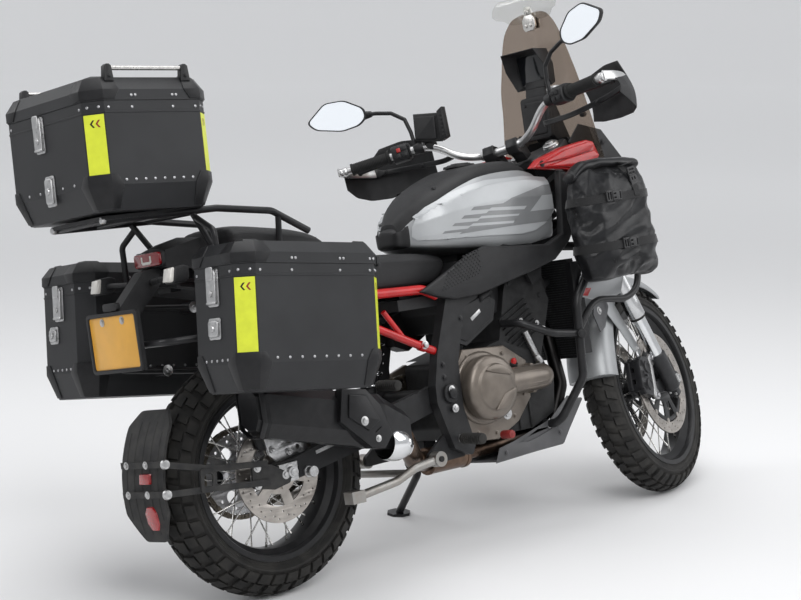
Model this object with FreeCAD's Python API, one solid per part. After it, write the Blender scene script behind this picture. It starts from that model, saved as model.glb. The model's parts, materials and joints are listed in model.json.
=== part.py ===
# Adventure motorcycle with three aluminium cases, leaning on its side stand
# Modelled upright with straight steering: x forward from the rear axle, y to the rider's left,
# z up from the floor, millimetres. The last section steers it, leans it and writes the STEP files.
import FreeCAD, Part
import math
import os
from FreeCAD import Placement, Rotation, Vector

# Driving sizes
WHEELBASE = 1505.0
REAR_R, REAR_W, REAR_SEAT = 321.0, 150.0, 222.0
FRONT_R, FRONT_W, FRONT_SEAT = 329.0, 110.0, 246.0
RAKE, TRAIL = 26.0, 108.0
LEG_Y, LEG_T = 105.0, 34.0
LEAN, STEER = 12.45, 20.0
WALL = 3.0
REAR_AXLE = (0.0, REAR_R)
FRONT_AXLE = (WHEELBASE, FRONT_R)
PIVOT = (553.0, 442.0)
GAP = 0.3

bike = {}


# Modelling helpers
def slab(x0, x1, y0, y1, z0, z1):
    return Part.makeBox(x1 - x0, y1 - y0, z1 - z0, Vector(x0, y0, z0))


def rod(a, b, radius, end_radius=None):
    start = Vector(*a)
    run = Vector(*b) - start
    if end_radius is None:
        return Part.makeCylinder(radius, run.Length, start, run)
    return Part.makeCone(radius, end_radius, run.Length, start, run)


def corner(before, at, after, bend):
    """The arc that rounds one corner, as its first, middle and last point."""
    a = (before - at).normalize()
    b = (after - at).normalize()
    half = a.getAngle(b) / 2
    reach = bend / math.tan(half)
    middle = (a + b).normalize()
    centre = at + middle * (bend / math.sin(half))
    return at + a * reach, centre - middle * bend, at + b * reach


def path(points, bend):
    pts = [Vector(*p) for p in points]
    edges = []
    start = pts[0]
    for before, at, after in zip(pts, pts[1:], pts[2:]):
        p, m, q = corner(before, at, after, bend)
        edges.append(Part.makeLine(start, p))
        edges.append(Part.Arc(p, m, q).toShape())
        start = q
    edges.append(Part.makeLine(start, pts[-1]))
    return Part.Wire(edges)


def tube(points, radius, bend=None):
    """A round bar bent along straight runs and tangent arcs."""
    if len(points) == 2:
        return rod(points[0], points[1], radius)
    wire = path(points, bend or 3 * radius)
    start = Vector(*points[0])
    ring = Part.Wire([Part.makeCircle(radius, start, Vector(*points[1]) - start)])
    return wire.makePipeShell([ring], True, False)


def hoop_tube(points, radius, bend):
    """A closed hoop of round bar."""
    wire = loop(points, bend)
    first = wire.Edges[0]
    start = first.valueAt(first.FirstParameter)
    ring = Part.Wire([Part.makeCircle(radius, start, first.tangentAt(first.FirstParameter))])
    return wire.makePipeShell([ring], True, False)


def loop(points, bend=0):
    """A closed outline, its corners rounded with the radius bend."""
    pts = [Vector(*p) for p in points]
    if not bend:
        return Part.makePolygon(pts + pts[:1])
    arcs = []
    for i in range(len(pts)):
        arcs.append(corner(pts[i - 1], pts[i], pts[(i + 1) % len(pts)], bend))
    edges = []
    for i, (p, m, q) in enumerate(arcs):
        edges.append(Part.makeLine(arcs[i - 1][2], p))
        edges.append(Part.Arc(p, m, q).toShape())
    return Part.Wire(edges)


def prism(outline, y0, y1, bend=0):
    """A plate seen from the side: an outline in x and z, pushed from y0 to y1."""
    wire = loop([(x, y0, z) for x, z in outline], bend)
    return Part.Face(wire).extrude(Vector(0, y1 - y0, 0))


def plan(outline, z0, z1, bend=0):
    """A plate seen from above: an outline in x and y, pushed from z0 to z1."""
    wire = loop([(x, y, z0) for x, y in outline], bend)
    return Part.Face(wire).extrude(Vector(0, 0, z1 - z0))


def front(outline, x0, x1, bend=0):
    """A plate seen from the front: an outline in y and z, pushed from x0 to x1."""
    wire = loop([(x0, y, z) for y, z in outline], bend)
    return Part.Face(wire).extrude(Vector(x1 - x0, 0, 0))


def lathe(axle, profile):
    """A turned piece about the y direction through axle, from (radius, y) points."""
    x, z = axle
    wire = loop([(x + r, y, z) for r, y in profile])
    return Part.Face(wire).revolve(Vector(x, 0, z), Vector(0, 1, 0), 360)


def disc(axle, y0, y1, radius, bore=0):
    x, z = axle
    shape = Part.makeCylinder(radius, y1 - y0, Vector(x, y0, z), Vector(0, 1, 0))
    if bore:
        shape = shape.cut(Part.makeCylinder(bore, y1 - y0, Vector(x, y0, z), Vector(0, 1, 0)))
    return shape


def body(sections):
    """A symmetrical body through sections (x, [(y, z), ...]) from top centre to bottom centre."""
    wires = []
    for x, half in sections:
        left = [(x, y, z) for y, z in half]
        right = [(x, -y, z) for y, z in reversed(half) if y]
        wires.append(loop(left + right))
    return Part.makeLoft(wires, True, True)


def beam(sections):
    """A box beam through sections (x, y, z, width, height) standing across x."""
    wires = []
    for x, y, z, w, h in sections:
        wires.append(loop([(x, y - w / 2, z - h / 2), (x, y + w / 2, z - h / 2),
                           (x, y + w / 2, z + h / 2), (x, y - w / 2, z + h / 2)]))
    return Part.makeLoft(wires, True, True)


def flip(shape):
    return shape.mirror(Vector(0, 0, 0), Vector(0, 1, 0))


def pair(*shapes):
    return list(shapes) + [flip(s) for s in shapes]


def join(*shapes):
    flat = []
    for s in shapes:
        flat += s if isinstance(s, list) else [s]
    if len(flat) == 1:
        return flat[0]
    return flat[0].multiFuse(flat[1:]).removeSplitter()


def group(*shapes):
    flat = []
    for s in shapes:
        for piece in (s if isinstance(s, list) else [s]):
            flat += piece.Solids
    return Part.makeCompound(flat)


def largest(shape):
    return max(shape.Solids, key=lambda solid: solid.Volume)


def cut(shape, *tools):
    flat = []
    for t in tools:
        flat += t if isinstance(t, list) else [t]
    return shape.cut(flat)


def turned(shape, centre, axis, angle):
    copy = shape.copy()
    copy.rotate(Vector(*centre), Vector(*axis), angle)
    return copy


# The steering axis: s is measured along it from the floor, t forward from it
AXIS_DIR = Vector(-math.sin(math.radians(RAKE)), 0, math.cos(math.radians(RAKE)))
AXIS_FOOT = Vector(WHEELBASE + TRAIL, 0, 0)
FORK_FRAME = Placement(AXIS_FOOT, Rotation(Vector(0, 1, 0), -RAKE))


def on_fork(shape):
    """Moves a piece modelled in t, y, s to its upright place."""
    copy = shape.copy()
    copy.Placement = FORK_FRAME.multiply(copy.Placement)
    return copy


# Wheels: tyre, spoked rim with hub, discs and sprocket
def tyre(axle, radius, width, seat, bead):
    w = width / 2
    x, z = axle
    shoulder = radius - 0.79 * w

    def at(r, y):
        return Vector(x + r, y, z)
    edges = [Part.makeLine(at(seat, bead), at(seat + 9, bead)),
             Part.makeLine(at(seat + 9, bead), at(shoulder, w)),
             Part.Arc(at(shoulder, w), at(radius, 0), at(shoulder, -w)).toShape(),
             Part.makeLine(at(shoulder, -w), at(seat + 9, -bead)),
             Part.makeLine(at(seat + 9, -bead), at(seat, -bead)),
             Part.makeLine(at(seat, -bead), at(seat, 14 - bead)),
             Part.makeLine(at(seat, 14 - bead), at(shoulder, 9 - w)),
             Part.Arc(at(shoulder, 9 - w), at(radius - 13, 0), at(shoulder, w - 9)).toShape(),
             Part.makeLine(at(shoulder, w - 9), at(seat, bead - 14)),
             Part.makeLine(at(seat, bead - 14), at(seat, bead))]
    return Part.Face(Part.Wire(edges)).revolve(Vector(x, 0, z), Vector(0, 1, 0), 360)


def spoked_rim(axle, seat, bead, hub_r, hub_w, bore, spokes):
    x, z = axle
    half = [(seat + 8, bead + 4), (seat + 8, bead), (seat, bead), (seat, bead - 15), (seat - 20, 22)]
    back = [(seat - 28, 20), (seat - 9, bead - 12), (seat - 7, bead + 4)]
    outline = half + [(r, -y) for r, y in reversed(half)]
    outline += [(r, -y) for r, y in reversed(back)] + back
    flange = hub_w / 2
    hub = lathe(axle, [(bore, flange + 6), (hub_r - 12, flange + 6), (hub_r - 6, flange + 4),
                       (hub_r + 8, flange + 1), (hub_r + 8, flange - 5), (hub_r - 10, flange - 12),
                       (hub_r - 10, 12 - flange), (hub_r + 8, 5 - flange), (hub_r + 8, -flange - 1),
                       (hub_r - 6, -flange - 4), (hub_r - 12, -flange - 6), (bore, -flange - 6)])
    pieces = [lathe(axle, outline), hub]
    for i in range(spokes):
        side = 1 if i % 2 else -1
        lead = 24 if i % 4 < 2 else -24
        rim_angle = math.radians(360.0 * i / spokes)
        hub_angle = rim_angle + math.radians(lead)
        inner = (x + hub_r * math.cos(hub_angle), side * (flange - 2), z + hub_r * math.sin(hub_angle))
        outer_r = seat - 22
        outer = (x + outer_r * math.cos(rim_angle), side * 6, z + outer_r * math.sin(rim_angle))
        pieces.append(rod(inner, outer, 2.2))
    return join(pieces)


def brake_disc(axle, y0, y1, radius, band, holes, hole_r, hole_at, bore):
    plate = disc(axle, y0, y1, radius, bore)
    x, z = axle
    tools = []
    for i in range(holes):
        a = math.radians(360.0 * i / holes + 15)
        tools.append(disc((x + hole_at * math.cos(a), z + hole_at * math.sin(a)), y0 - 1, y1 + 1, hole_r))
    return cut(plate, tools)


def sprocket(axle, y0, y1, teeth, pitch, bore, tip):
    x, z = axle
    root = pitch / 2 / math.sin(math.pi / teeth)
    points = []
    for i in range(teeth):
        for share, r in ((-0.30, root + tip - 6), (-0.12, root + tip), (0.12, root + tip), (0.30, root + tip - 6)):
            a = 2 * math.pi * (i + share) / teeth
            points.append((x + r * math.cos(a), z + r * math.sin(a)))
    return cut(prism(points, y0, y1), disc(axle, y0 - 1, y1 + 1, bore))


REAR_HUB_W, FRONT_HUB_W = 120.0, 108.0
bike["rear_tyre"] = tyre(REAR_AXLE, REAR_R, REAR_W, REAR_SEAT, 58)
bike["rear_wheel"] = spoked_rim(REAR_AXLE, REAR_SEAT, 58, 44, REAR_HUB_W, 10 + GAP, 32)
bike["rear_brake_disc"] = brake_disc(REAR_AXLE, -84, -79, 130, 42, 6, 19, 66, 32)
CHAIN_Y, CHAIN_PITCH = 91.0, 15.875
ROLLER, TOOTH_GAP = 7.2, 0.7
bike["rear_sprocket"] = cut(sprocket(REAR_AXLE, CHAIN_Y - 3, CHAIN_Y + 3, 46, CHAIN_PITCH, 33,
                                     -(ROLLER * math.sqrt(0.5) + TOOTH_GAP)),
                            [disc((66 * math.cos(a), REAR_R + 66 * math.sin(a)), 80, 100, 17)
                             for a in [math.pi / 3 * i for i in range(6)]])
sprocket_carrier = lathe(REAR_AXLE, [(32, 66.1), (50, 66.1), (50, 88), (33.1, 88), (32, 88)])
bike["rear_sprocket"] = join(bike["rear_sprocket"], sprocket_carrier)
disc_carrier = lathe(REAR_AXLE, [(32, -66.1), (32, -79), (48, -79), (48, -66.1)])
bike["rear_brake_disc"] = join(bike["rear_brake_disc"], disc_carrier)
bike["front_tyre"] = tyre(FRONT_AXLE, FRONT_R, FRONT_W, FRONT_SEAT, 47)
bike["front_wheel"] = spoked_rim(FRONT_AXLE, FRONT_SEAT, 47, 36, FRONT_HUB_W, 9 + GAP, 36)
front_disc = brake_disc(FRONT_AXLE, -70, -65, 160, 34, 10, 21, 96, 34)
front_carrier = lathe(FRONT_AXLE, [(24, -60.1), (40, -60.1), (40, -65), (24, -65)])
bike["front_brake_discs"] = group(pair(join(front_disc, front_carrier)))

# Rear suspension: swingarm, axle, chain, brake, shock
ARM_IN, ARM_OUT = 108.0, 132.0
arm = Part.makeLoft([loop([(x, -ARM_OUT, z - h), (x, -ARM_IN, z - h), (x, -ARM_IN, z + h), (x, -ARM_OUT, z + h)])
                     for x, z, h in ((-62, 314, 22), (40, 330, 28), (330, 392, 38), (520, 434, 34))], True, True)
arms = pair(arm, disc(PIVOT, -ARM_OUT, -ARM_IN, 36))
cross = slab(362, 420, -ARM_IN - 1, ARM_IN + 1, 380, 440)
swingarm = join(arms, cross)
swingarm = cut(swingarm, disc(PIVOT, -140, 140, 16))
slots = prism([(-30, 311), (34, 311), (34, 331), (-30, 331)], -140, 140)
bike["swingarm"] = cut(swingarm, slots)
axle_rod = disc(REAR_AXLE, -ARM_OUT - 4, ARM_OUT + 4, 10)
adjuster = cut(prism([(-33, 296), (24, 299), (26, 346), (-31, 343)], -ARM_OUT - 5, -ARM_OUT, 3))
nut = disc(REAR_AXLE, -ARM_OUT - 22, -ARM_OUT - 5, 15)
spacers = [disc(REAR_AXLE, -ARM_IN, -66.5, 15), disc(REAR_AXLE, 96, ARM_IN, 15), disc(REAR_AXLE, 66.5, 97, 15)]
spools = [rod((62, -ARM_OUT, 312), (62, -ARM_OUT - 26, 312), 12)]
bike["rear_axle"] = join(axle_rod, pair(adjuster, nut, spools[0]), spacers)
pivot_bolt = disc(PIVOT, -172, 172, 16)
bike["swingarm"] = cut(bike["swingarm"], bike["rear_axle"])

FRONT_SPROCKET = (640.0, 452.0)
def pin_line():
    """The chain's pins in order round both sprockets, one pitch apart, as x and z."""
    dx = FRONT_SPROCKET[0] - REAR_AXLE[0]
    dz = FRONT_SPROCKET[1] - REAR_AXLE[1]
    span = math.hypot(dx, dz)
    tilt = math.atan2(dz, dx)
    lean = math.acos((REAR_PIN_R - FRONT_PIN_R) / span)
    run = math.sqrt(span ** 2 - (REAR_PIN_R - FRONT_PIN_R) ** 2)
    front_arc = FRONT_PIN_R * 2 * lean
    rear_arc = REAR_PIN_R * 2 * (math.pi - lean)
    total = 2 * run + front_arc + rear_arc
    links = 2 * round(total / CHAIN_PITCH / 2)
    pins = []
    for i in range(links):
        s = total * i / links
        if s < front_arc:
            a = tilt + lean - s / FRONT_PIN_R
            pins.append((FRONT_SPROCKET[0] + FRONT_PIN_R * math.cos(a), FRONT_SPROCKET[1] + FRONT_PIN_R * math.sin(a)))
            continue
        s -= front_arc
        if s < run:
            a, share = tilt - lean, s / run
        elif s < run + rear_arc:
            a = tilt - lean - (s - run) / REAR_PIN_R
            pins.append((REAR_AXLE[0] + REAR_PIN_R * math.cos(a), REAR_AXLE[1] + REAR_PIN_R * math.sin(a)))
            continue
        else:
            a, share = tilt + lean, 1 - (s - run - rear_arc) / run
        near = (FRONT_SPROCKET[0] + FRONT_PIN_R * math.cos(a), FRONT_SPROCKET[1] + FRONT_PIN_R * math.sin(a))
        far = (REAR_AXLE[0] + REAR_PIN_R * math.cos(a), REAR_AXLE[1] + REAR_PIN_R * math.sin(a))
        pins.append((near[0] + (far[0] - near[0]) * share, near[1] + (far[1] - near[1]) * share))
    return pins


def link_plate(a, b, y0, y1):
    """One flat link plate between two pins, with pointed ends."""
    long = math.hypot(b[0] - a[0], b[1] - a[1])
    ux, uz = (b[0] - a[0]) / long, (b[1] - a[1]) / long
    outline = [(-7, 0), (-3, 6), (long + 3, 6), (long + 7, 0), (long + 3, -6), (-3, -6)]
    return prism([(a[0] + ux * u - uz * w, a[1] + uz * u + ux * w) for u, w in outline], y0, y1)


REAR_PIN_R, FRONT_PIN_R = 116.3, 43.2
front_sprocket = sprocket(FRONT_SPROCKET, CHAIN_Y - 3, CHAIN_Y + 3, 17, CHAIN_PITCH, 12, 2.5)
pins = pin_line()
links = []
for i, a in enumerate(pins):
    b = pins[(i + 1) % len(pins)]
    inside, outside = (4.5, 6.5) if i % 2 else (6.5, 8.5)
    for side in (-1, 1):
        y = sorted((CHAIN_Y + side * inside, CHAIN_Y + side * outside))
        links.append(link_plate(a, b, y[0], y[1]))
    links.append(slab(a[0] - ROLLER / 2, a[0] + ROLLER / 2, CHAIN_Y - 6.6, CHAIN_Y + 6.6,
                      a[1] - ROLLER / 2, a[1] + ROLLER / 2))
bike["drive_chain"] = join(links, front_sprocket)

caliper_plate = prism([(-36, 372), (40, 352), (92, 352), (40, 440), (-10, 470), (-52, 450)], -108, -100, 8)
caliper = prism([(-58, 392), (20, 380), (34, 420), (14, 468), (-40, 476), (-70, 440)], -100, -88, 12)
caliper_in = prism([(-50, 400), (14, 396), (24, 430), (8, 462), (-36, 468), (-58, 436)], -75, -58, 10)
caliper_bridge = prism([(-44, 456), (8, 460), (4, 476), (-38, 478)], -100, -58, 4)
bike["rear_caliper"] = join(caliper_plate, caliper, caliper_in, caliper_bridge)

shock_top, shock_low = (468, 0, 700), (392, 0, 430)
def on_shock(share):
    """A point on the shock's centre line, from its lower eye at 0 to its upper eye at 1."""
    return tuple(low + (top - low) * share for low, top in zip(shock_low, shock_top))


SPRING_TURNS, SPRING_R = 7, 35.0
coils = []
for i in range(SPRING_TURNS):
    share = 0.17 + 0.66 * i / (SPRING_TURNS - 1)
    coils.append(rod(on_shock(share - 0.018), on_shock(share + 0.018), SPRING_R))
shock = join(tube([shock_low, shock_top], 25), rod(on_shock(0.086), on_shock(0.15), 38),
             rod(on_shock(0.85), on_shock(0.895), 38), coils)
bike["rear_shock"] = join(shock, slab(376, 410, -26, 26, 441, 452), rod((466, -24, 694), (466, 24, 694), 13))

# Frame: head tube, spars, pivot plates and the red rear subframe
head = on_fork(Part.makeCylinder(34, 170, Vector(0, 0, 985)))
spars = pair(beam([(1150, 24, 940, 44, 96), (900, 128, 808, 34, 84), (620, 142, 694, 34, 80)]))
plate = prism([(648, 724), (596, 724), (530, 560), (506, 470), (504, 420), (544, 292), (606, 262),
               (622, 290), (596, 400), (600, 520), (640, 650)], -166, -134, 10)
plates = pair(plate)
shock_bridge = slab(440, 610, -134.5, 134.5, 684, 714)
hanger = pair(prism([(900, 800), (1000, 815), (985, 720), (945, 700)], -142, -128, 8))
main_frame = join(head, spars, plates, shock_bridge, hanger)
stay = on_fork(slab(20, 215, -20, 20, 1046, 1076))
main_frame = cut(join(main_frame, stay), on_fork(Part.makeCylinder(15 + GAP, 220, Vector(0, 0, 960))),
                 disc(PIVOT, -180, 180, 16))
bike["main_frame"] = join(main_frame, pivot_bolt)

upper_rail = tube([(566, -150, 712), (520, -150, 734), (300, -150, 742), (60, -142, 842), (-150, -120, 900)], 13, 60)
lower_rail = tube([(540, -150, 560), (477, -150, 587), (300, -150, 668), (90, -142, 838)], 11, 60)
tail_bar = rod((-140, -128, 897), (-140, 128, 897), 11)
subframe = join(pair(upper_rail, lower_rail), tail_bar)
bike["rear_subframe"] = cut(subframe, bike["main_frame"])
bike["swingarm"] = cut(bike["swingarm"], bike["main_frame"])
bike["rear_shock"] = cut(bike["rear_shock"], bike["main_frame"], bike["swingarm"])

# The space that the fork and its clamps need at full lock
fork_room = on_fork(Part.makeCylinder(168, 100, Vector(0, 0, 900)).fuse(
    [Part.makeCylinder(150, 640, Vector(0, 0, 600)), Part.makeCylinder(168, 90, Vector(0, 0, 1140)),
     Part.makeCylinder(70, 120, Vector(-50, 0, 1200))]))

# Engine: crankcase, forward leaning cylinders, covers on both sides
crankcase = prism([(612, 520), (606, 340), (650, 300), (880, 296), (975, 330), (990, 420), (950, 500),
                   (800, 560)], -128, 128, 18)
crankcase = cut(crankcase, slab(600, 704, 80, 130, 380, 530))
cylinders = prism([(800, 540), (955, 480), (1022, 650), (1000, 716), (880, 756), (850, 700)], -120, 120, 10)
head_cover = prism([(1022, 640), (1044, 690), (1024, 736), (890, 772), (880, 752), (1000, 712)], -96, 96, 8)
oil_filter = rod((960, -40, 392), (1016, -40, 376), 34)
bike["engine"] = join(crankcase, cylinders, head_cover, oil_filter)
bike["engine"] = cut(bike["engine"], bike["main_frame"])
clutch = (696.0, 432.0)
cover = join(disc(clutch, -196, -128, 104), disc(clutch, -210, -196, 94), disc(clutch, -216, -210, 72),
             prism([(760, 500), (905, 478), (930, 440), (900, 400), (760, 350)], -196, -128, 16),
             prism([(800, 470), (895, 462), (905, 440), (885, 420), (800, 400)], -206, -196, 10))
AIRBOX_COVER = [(601, 582), (611, 668), (641, 676), (737, 700), (783, 674), (764, 620), (652, 562)]
airbox = join(prism([(640, 660), (672, 600), (838, 640), (856, 762), (700, 800), (648, 740)], -100, 100, 12),
              pair(prism(AIRBOX_COVER, -152, -99, 6)))
airbox = join(airbox, rod((760, -70, 580), (760, 64, 580), 30), slab(690, 720, -60, 60, 548, 610))
bike["airbox"] = largest(cut(airbox, bike["main_frame"], bike["engine"]))
generator = join(disc((770, 400), 128, 176, 100), disc((770, 400), 176, 186, 78),
                 prism([(600, 500), (600, 420), (640, 395), (720, 400), (720, 500), (660, 520)], 128, 146, 14),
                 disc(FRONT_SPROCKET, CHAIN_Y + 3, 130, 11))
bike["engine_covers"] = group(cut(cover, bike["main_frame"]), cut(generator, bike["main_frame"]))

radiator = join(slab(1084, 1112, -150, 150, 470, 760), slab(1078, 1118, -172, -150, 480, 750),
                slab(1078, 1118, 150, 172, 480, 750), rod((1096, -60, 700), (1008, -60, 690), 16))
bike["radiator"] = cut(radiator, bike["engine"])

# Exhaust: two header pipes, collector, link pipe and silencer
headers = []
for port_y, side_y in ((-58, -96), (42, -40)):
    headers.append(tube([(996, port_y, 612), (1052, port_y, 566), (1046, side_y, 400), (985, side_y, 286),
                         (760, side_y, 266), (640, -72, 262)], 20, 55))
collector = rod((650, -72, 262), (510, -72, 262), 37)
link = tube([(520, -72, 262), (450, -100, 272), (352, -186, 352)], 27, 60)
bike["exhaust_pipes"] = cut(join(headers, collector, link), bike["engine"])
silencer_axis = [(356, -200, 350), (286, -200, 398), (-150, -205, 512)]
hexagon = [(-52, -34), (-52, 44), (-22, 72), (34, 72), (52, 44), (52, -50), (20, -72), (-26, -72)]


def across(x, y, z, size):
    return loop([(x, y + u * size, z + w * size) for u, w in hexagon])


silencer = Part.makeLoft([across(340, -198, 372, 0.72), across(250, -200, 410, 1.0), across(-120, -205, 494, 0.95),
                          across(-150, -205, 502, 0.72)], True, True)
bike["silencer"] = cut(silencer, bike["exhaust_pipes"])
SHIELD = [(84, 433), (103, 516), (182, 504), (221, 459), (250, 374), (220, 342), (174, 350)]
shield = join(prism(SHIELD, -262, -240, 8), prism([(110, 440), (122, 500), (178, 490), (212, 420), (172, 396)], -270, -262, 6))
shield = cut(shield, prism([(192, 384), (218, 398), (216, 404), (190, 390)], -263, -256))
bike["silencer"] = group(bike["silencer"], cut(shield, silencer))
elbow = join(rod((268, -210, 352), (318, -208, 338), 46, 40), rod((318, -208, 338), (342, -206, 330), 40, 27))
bike["exhaust_elbow"] = largest(cut(elbow, bike["silencer"], bike["exhaust_pipes"]))

guard_line = [(700, 226), (970, 234), (1072, 350), (1068, 355), (967, 240), (700, 232)]
skid = join(prism(guard_line, -150, 150), pair(prism([(700, 230), (968, 238), (1060, 340), (1010, 330), (930, 290),
                                                     (770, 268)], -150, -146)))
bike["skid_plate"] = skid

# Fuel tank, its cover, the knee panels and the wings
TANK = [(462, 92, 858, 930), (600, 138, 842, 992), (820, 160, 822, 1066), (960, 164, 818, 1070), (1130, 150, 840, 1020)]
sections = []
lids = []
for x, w, low, top in TANK:
    sections.append((x, [(0, top - 14), (w * 0.52, top - 18), (w * 0.8, top - 40), (w, (low + top) / 2 + 6),
                         (w * 0.94, low), (0, low)]))
    lids.append((x, [(0, top), (w * 0.44, top - 3), (w * 0.52, top - 18), (0, top - 14)]))
tank = body(sections)
front_room = slab(1060, 1200, -136, 136, 780, 1100)
bike["fuel_tank"] = largest(cut(tank, bike["main_frame"], fork_room, front_room))
bike["tank_cover"] = largest(cut(body(lids), fork_room, front_room))
FLANK = [(512, 729), (613, 700), (814, 727), (1010, 770), (1110, 860), (1128, 1000), (1080, 1010), (1058, 830),
         (820, 815), (640, 812)]
flank = cut(prism(FLANK, -186, -158, 6), bike["main_frame"], bike["fuel_tank"], bike["rear_subframe"])
bike["side_fairings"] = group(pair(largest(flank)))
WING = [(979, 1034), (1100, 1078), (1204, 1086), (1240, 1046), (1180, 1000), (1090, 1022)]
wing = cut(prism(WING, -200, -156, 6), bike["fuel_tank"], bike["side_fairings"])
bike["shroud_wings"] = group(pair(largest(wing)))

# Seat, side panels and tail
SEAT = [(-70, 128, 890, 972), (60, 142, 838, 962), (190, 150, 782, 934), (260, 152, 752, 868), (430, 148, 744, 850),
        (600, 112, 744, 838), (690, 70, 792, 822)]
bike["seat"] = body([(x, [(0, top), (w * 0.72, top - 3), (w, top - 26), (w * 0.96, low), (0, low)])
                     for x, w, low, top in SEAT])
bike["seat"] = largest(cut(bike["seat"], bike["fuel_tank"], bike["rear_subframe"], bike["main_frame"]))
TAIL = [(-232, 62, 886, 938), (-150, 104, 868, 958), (-74, 108, 850, 900)]
tail = body([(x, [(0, top), (w, top - 10), (w * 0.9, low), (0, low)]) for x, w, low, top in TAIL])
bike["tail_light"] = slab(-250, -232.1, -58, 58, 892, 926)
inner = pair(prism([(520, 700), (400, 560), (330, 560), (330, 640), (400, 728)], -134, -128, 8))
rear_fender = body([(x, [(0, top), (w, top - 12), (w, top - 18), (0, top - 6)]) for x, w, top in
                            ((-236, 98, 846), (-60, 104, 812), (180, 100, 742), (380, 92, 668))])
tail_post = slab(-210, -180, -30, 30, 820, 880)
bike["tail_cowl"] = cut(join(tail, rear_fender, tail_post), bike["rear_subframe"], bike["rear_shock"])

# Luggage rack, side racks and the number plate
rack_rail = tube([(150, -164, 930), (40, -164, 992), (-120, -150, 1014), (-430, -118, 1014)], 9, 50)
rack_cross = [rod((x, -120, 1014), (x, 120, 1014), 8) for x in (-150, -300, -420)]
rack_plate = plan([(-440, -130), (-440, 130), (-180, 150), (-120, 120), (-120, -120), (-180, -150)], 1014, 1024, 18)
struts = pair(rod((-120, -124, 900), (-190, -142, 1012), 8), rod((60, -140, 842), (60, -164, 985), 8))
bike["luggage_rack"] = largest(cut(join(pair(rack_rail), rack_cross, rack_plate, struts), bike["rear_subframe"],
                                   bike["seat"], bike["tail_cowl"]))


def side_rack(y, wall):
    """The hoop that carries one side case, its three pucks out to the case wall, and its two arms."""
    inward = -1 if y > 0 else 1
    hoop = hoop_tube([(40, y, 770), (-250, y, 798), (-270, y, 640), (20, y, 600)], 9, 30)
    pucks = [rod((x, y, z), (x, wall, z), 14) for x, z in ((-200, 793), (-10, 775), (-120, 619))]
    rear_arm = tube([(-180, -142 * inward, 996), (-200, y, 956), (-200, y, 794)], 8, 22)
    front_arm = tube([(60, -150 * inward, 890), (60, (y - 160 * inward) / 2, 880), (36, y, 760)], 8, 20)
    return join(hoop, pucks, rear_arm, front_arm)


RACK_RIGHT, RACK_LEFT = -240.0, 184.0
cross_bar = tube([(-264, RACK_RIGHT, 700), (-350, RACK_RIGHT + 48, 700), (-350, RACK_LEFT - 48, 700),
                  (-264, RACK_LEFT, 700)], 9, 40)
racks = [side_rack(RACK_RIGHT, -256), side_rack(RACK_LEFT, 226)]
bike["case_racks"] = cut(join(racks, cross_bar), bike["luggage_rack"], bike["rear_subframe"])
holder = join(prism([(-226, 890), (-230, 846), (-354, 730), (-364, 640), (-370, 640), (-368, 792), (-280, 880)], -20, 20),
              slab(-374, -366, -114, 114, 640, 790))
bike["plate_holder"] = cut(holder, bike["tail_light"], bike["tail_cowl"], bike["case_racks"])
bike["number_plate"] = slab(-377, -374, -110, 110, 645, 785)
stalk = rod((-262, 19, 850), (-282, 150, 860), 7)
lamp = prism([(-310, 842), (-270, 842), (-260, 878), (-302, 878)], 150, 190, 6)
bike["tail_light"] = group(bike["tail_light"], cut(join(pair(stalk, lamp)), bike["plate_holder"], bike["tail_light"],
                                                   bike["tail_cowl"]))

# Rear mudguard flap that follows the tyre, on two arms from the axle end
FLAP_R = 352.0


def flap_at(r, angle):
    a = math.radians(angle)
    return (REAR_AXLE[0] + r * math.cos(a), REAR_AXLE[1] + r * math.sin(a))


flap_outline = [(-58, 532), (58, 532), (95, 496), (95, 276), (44, 204), (-44, 204), (-95, 276), (-95, 496)]
flap_ring = disc(REAR_AXLE, -100, 100, FLAP_R + 7).cut(disc(REAR_AXLE, -101, 101, FLAP_R))
flap = flap_ring.common(front(flap_outline, -400, -200, 20))
# the two flat bars, each from the axle plate to the flap: height at the plate, at the flap, x at the flap
FLAP_BARS = [(357, 404, -368), (308, 330, -374)]
flap_arms = []
for z_arm, z_end, x_end in FLAP_BARS:
    bar = Part.makeLoft([loop([(x, y, z - 8), (x, y + 6, z - 8), (x, y + 6, z + 8), (x, y, z + 8)]) for x, y, z in
                         ((-76, -152, z_arm), (-240, -152, z_arm + 14), (x_end - 6, -134, z_end))], True, True)
    flap_arms += [bar, slab(x_end - 6, x_end, -134, 62, z_end - 8, z_end + 8)]
    flap_arms += [rod((x_end - 2, y, z_end), (x_end + 20, y, z_end), 7) for y in (-52, 36)]
web = cut(prism([(-232, 372), (-280, 376), (-286, 318), (-238, 314)], -151, -147, 6),
          prism([(-244, 360), (-270, 362), (-276, 330), (-250, 328)], -160, -140, 8))
arm_plate = prism([(-120, 366), (-60, 350), (0, 316), (-10, 296), (-60, 286), (-126, 300)], -146, -138, 8)
flap_arms.append(web)
bike["rear_mudguard"] = cut(join(flap, arm_plate, flap_arms), bike["rear_axle"], bike["swingarm"])

# Footrests
hanger_r = prism([(566, 470), (500, 470), (296, 516), (280, 486), (500, 372), (544, 296), (586, 296), (574, 420)],
                 -178, -166, 8)
hanger_r = cut(hanger_r, prism([(330, 484), (478, 462), (470, 412), (440, 418)], -180, -160, 4))
pegs = [rod((562, -170, 316), (562, -268, 310), 13), rod((306, -170, 499), (306, -252, 496), 12)]
pedal = [tube([(578, -182, 306), (650, -184, 292), (712, -184, 302)], 6, 20),
         rod((712, -180, 302), (712, -222, 302), 8)]
bike["footrests"] = cut(join(pair(hanger_r, *pegs, *pedal)), bike["main_frame"])

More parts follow.
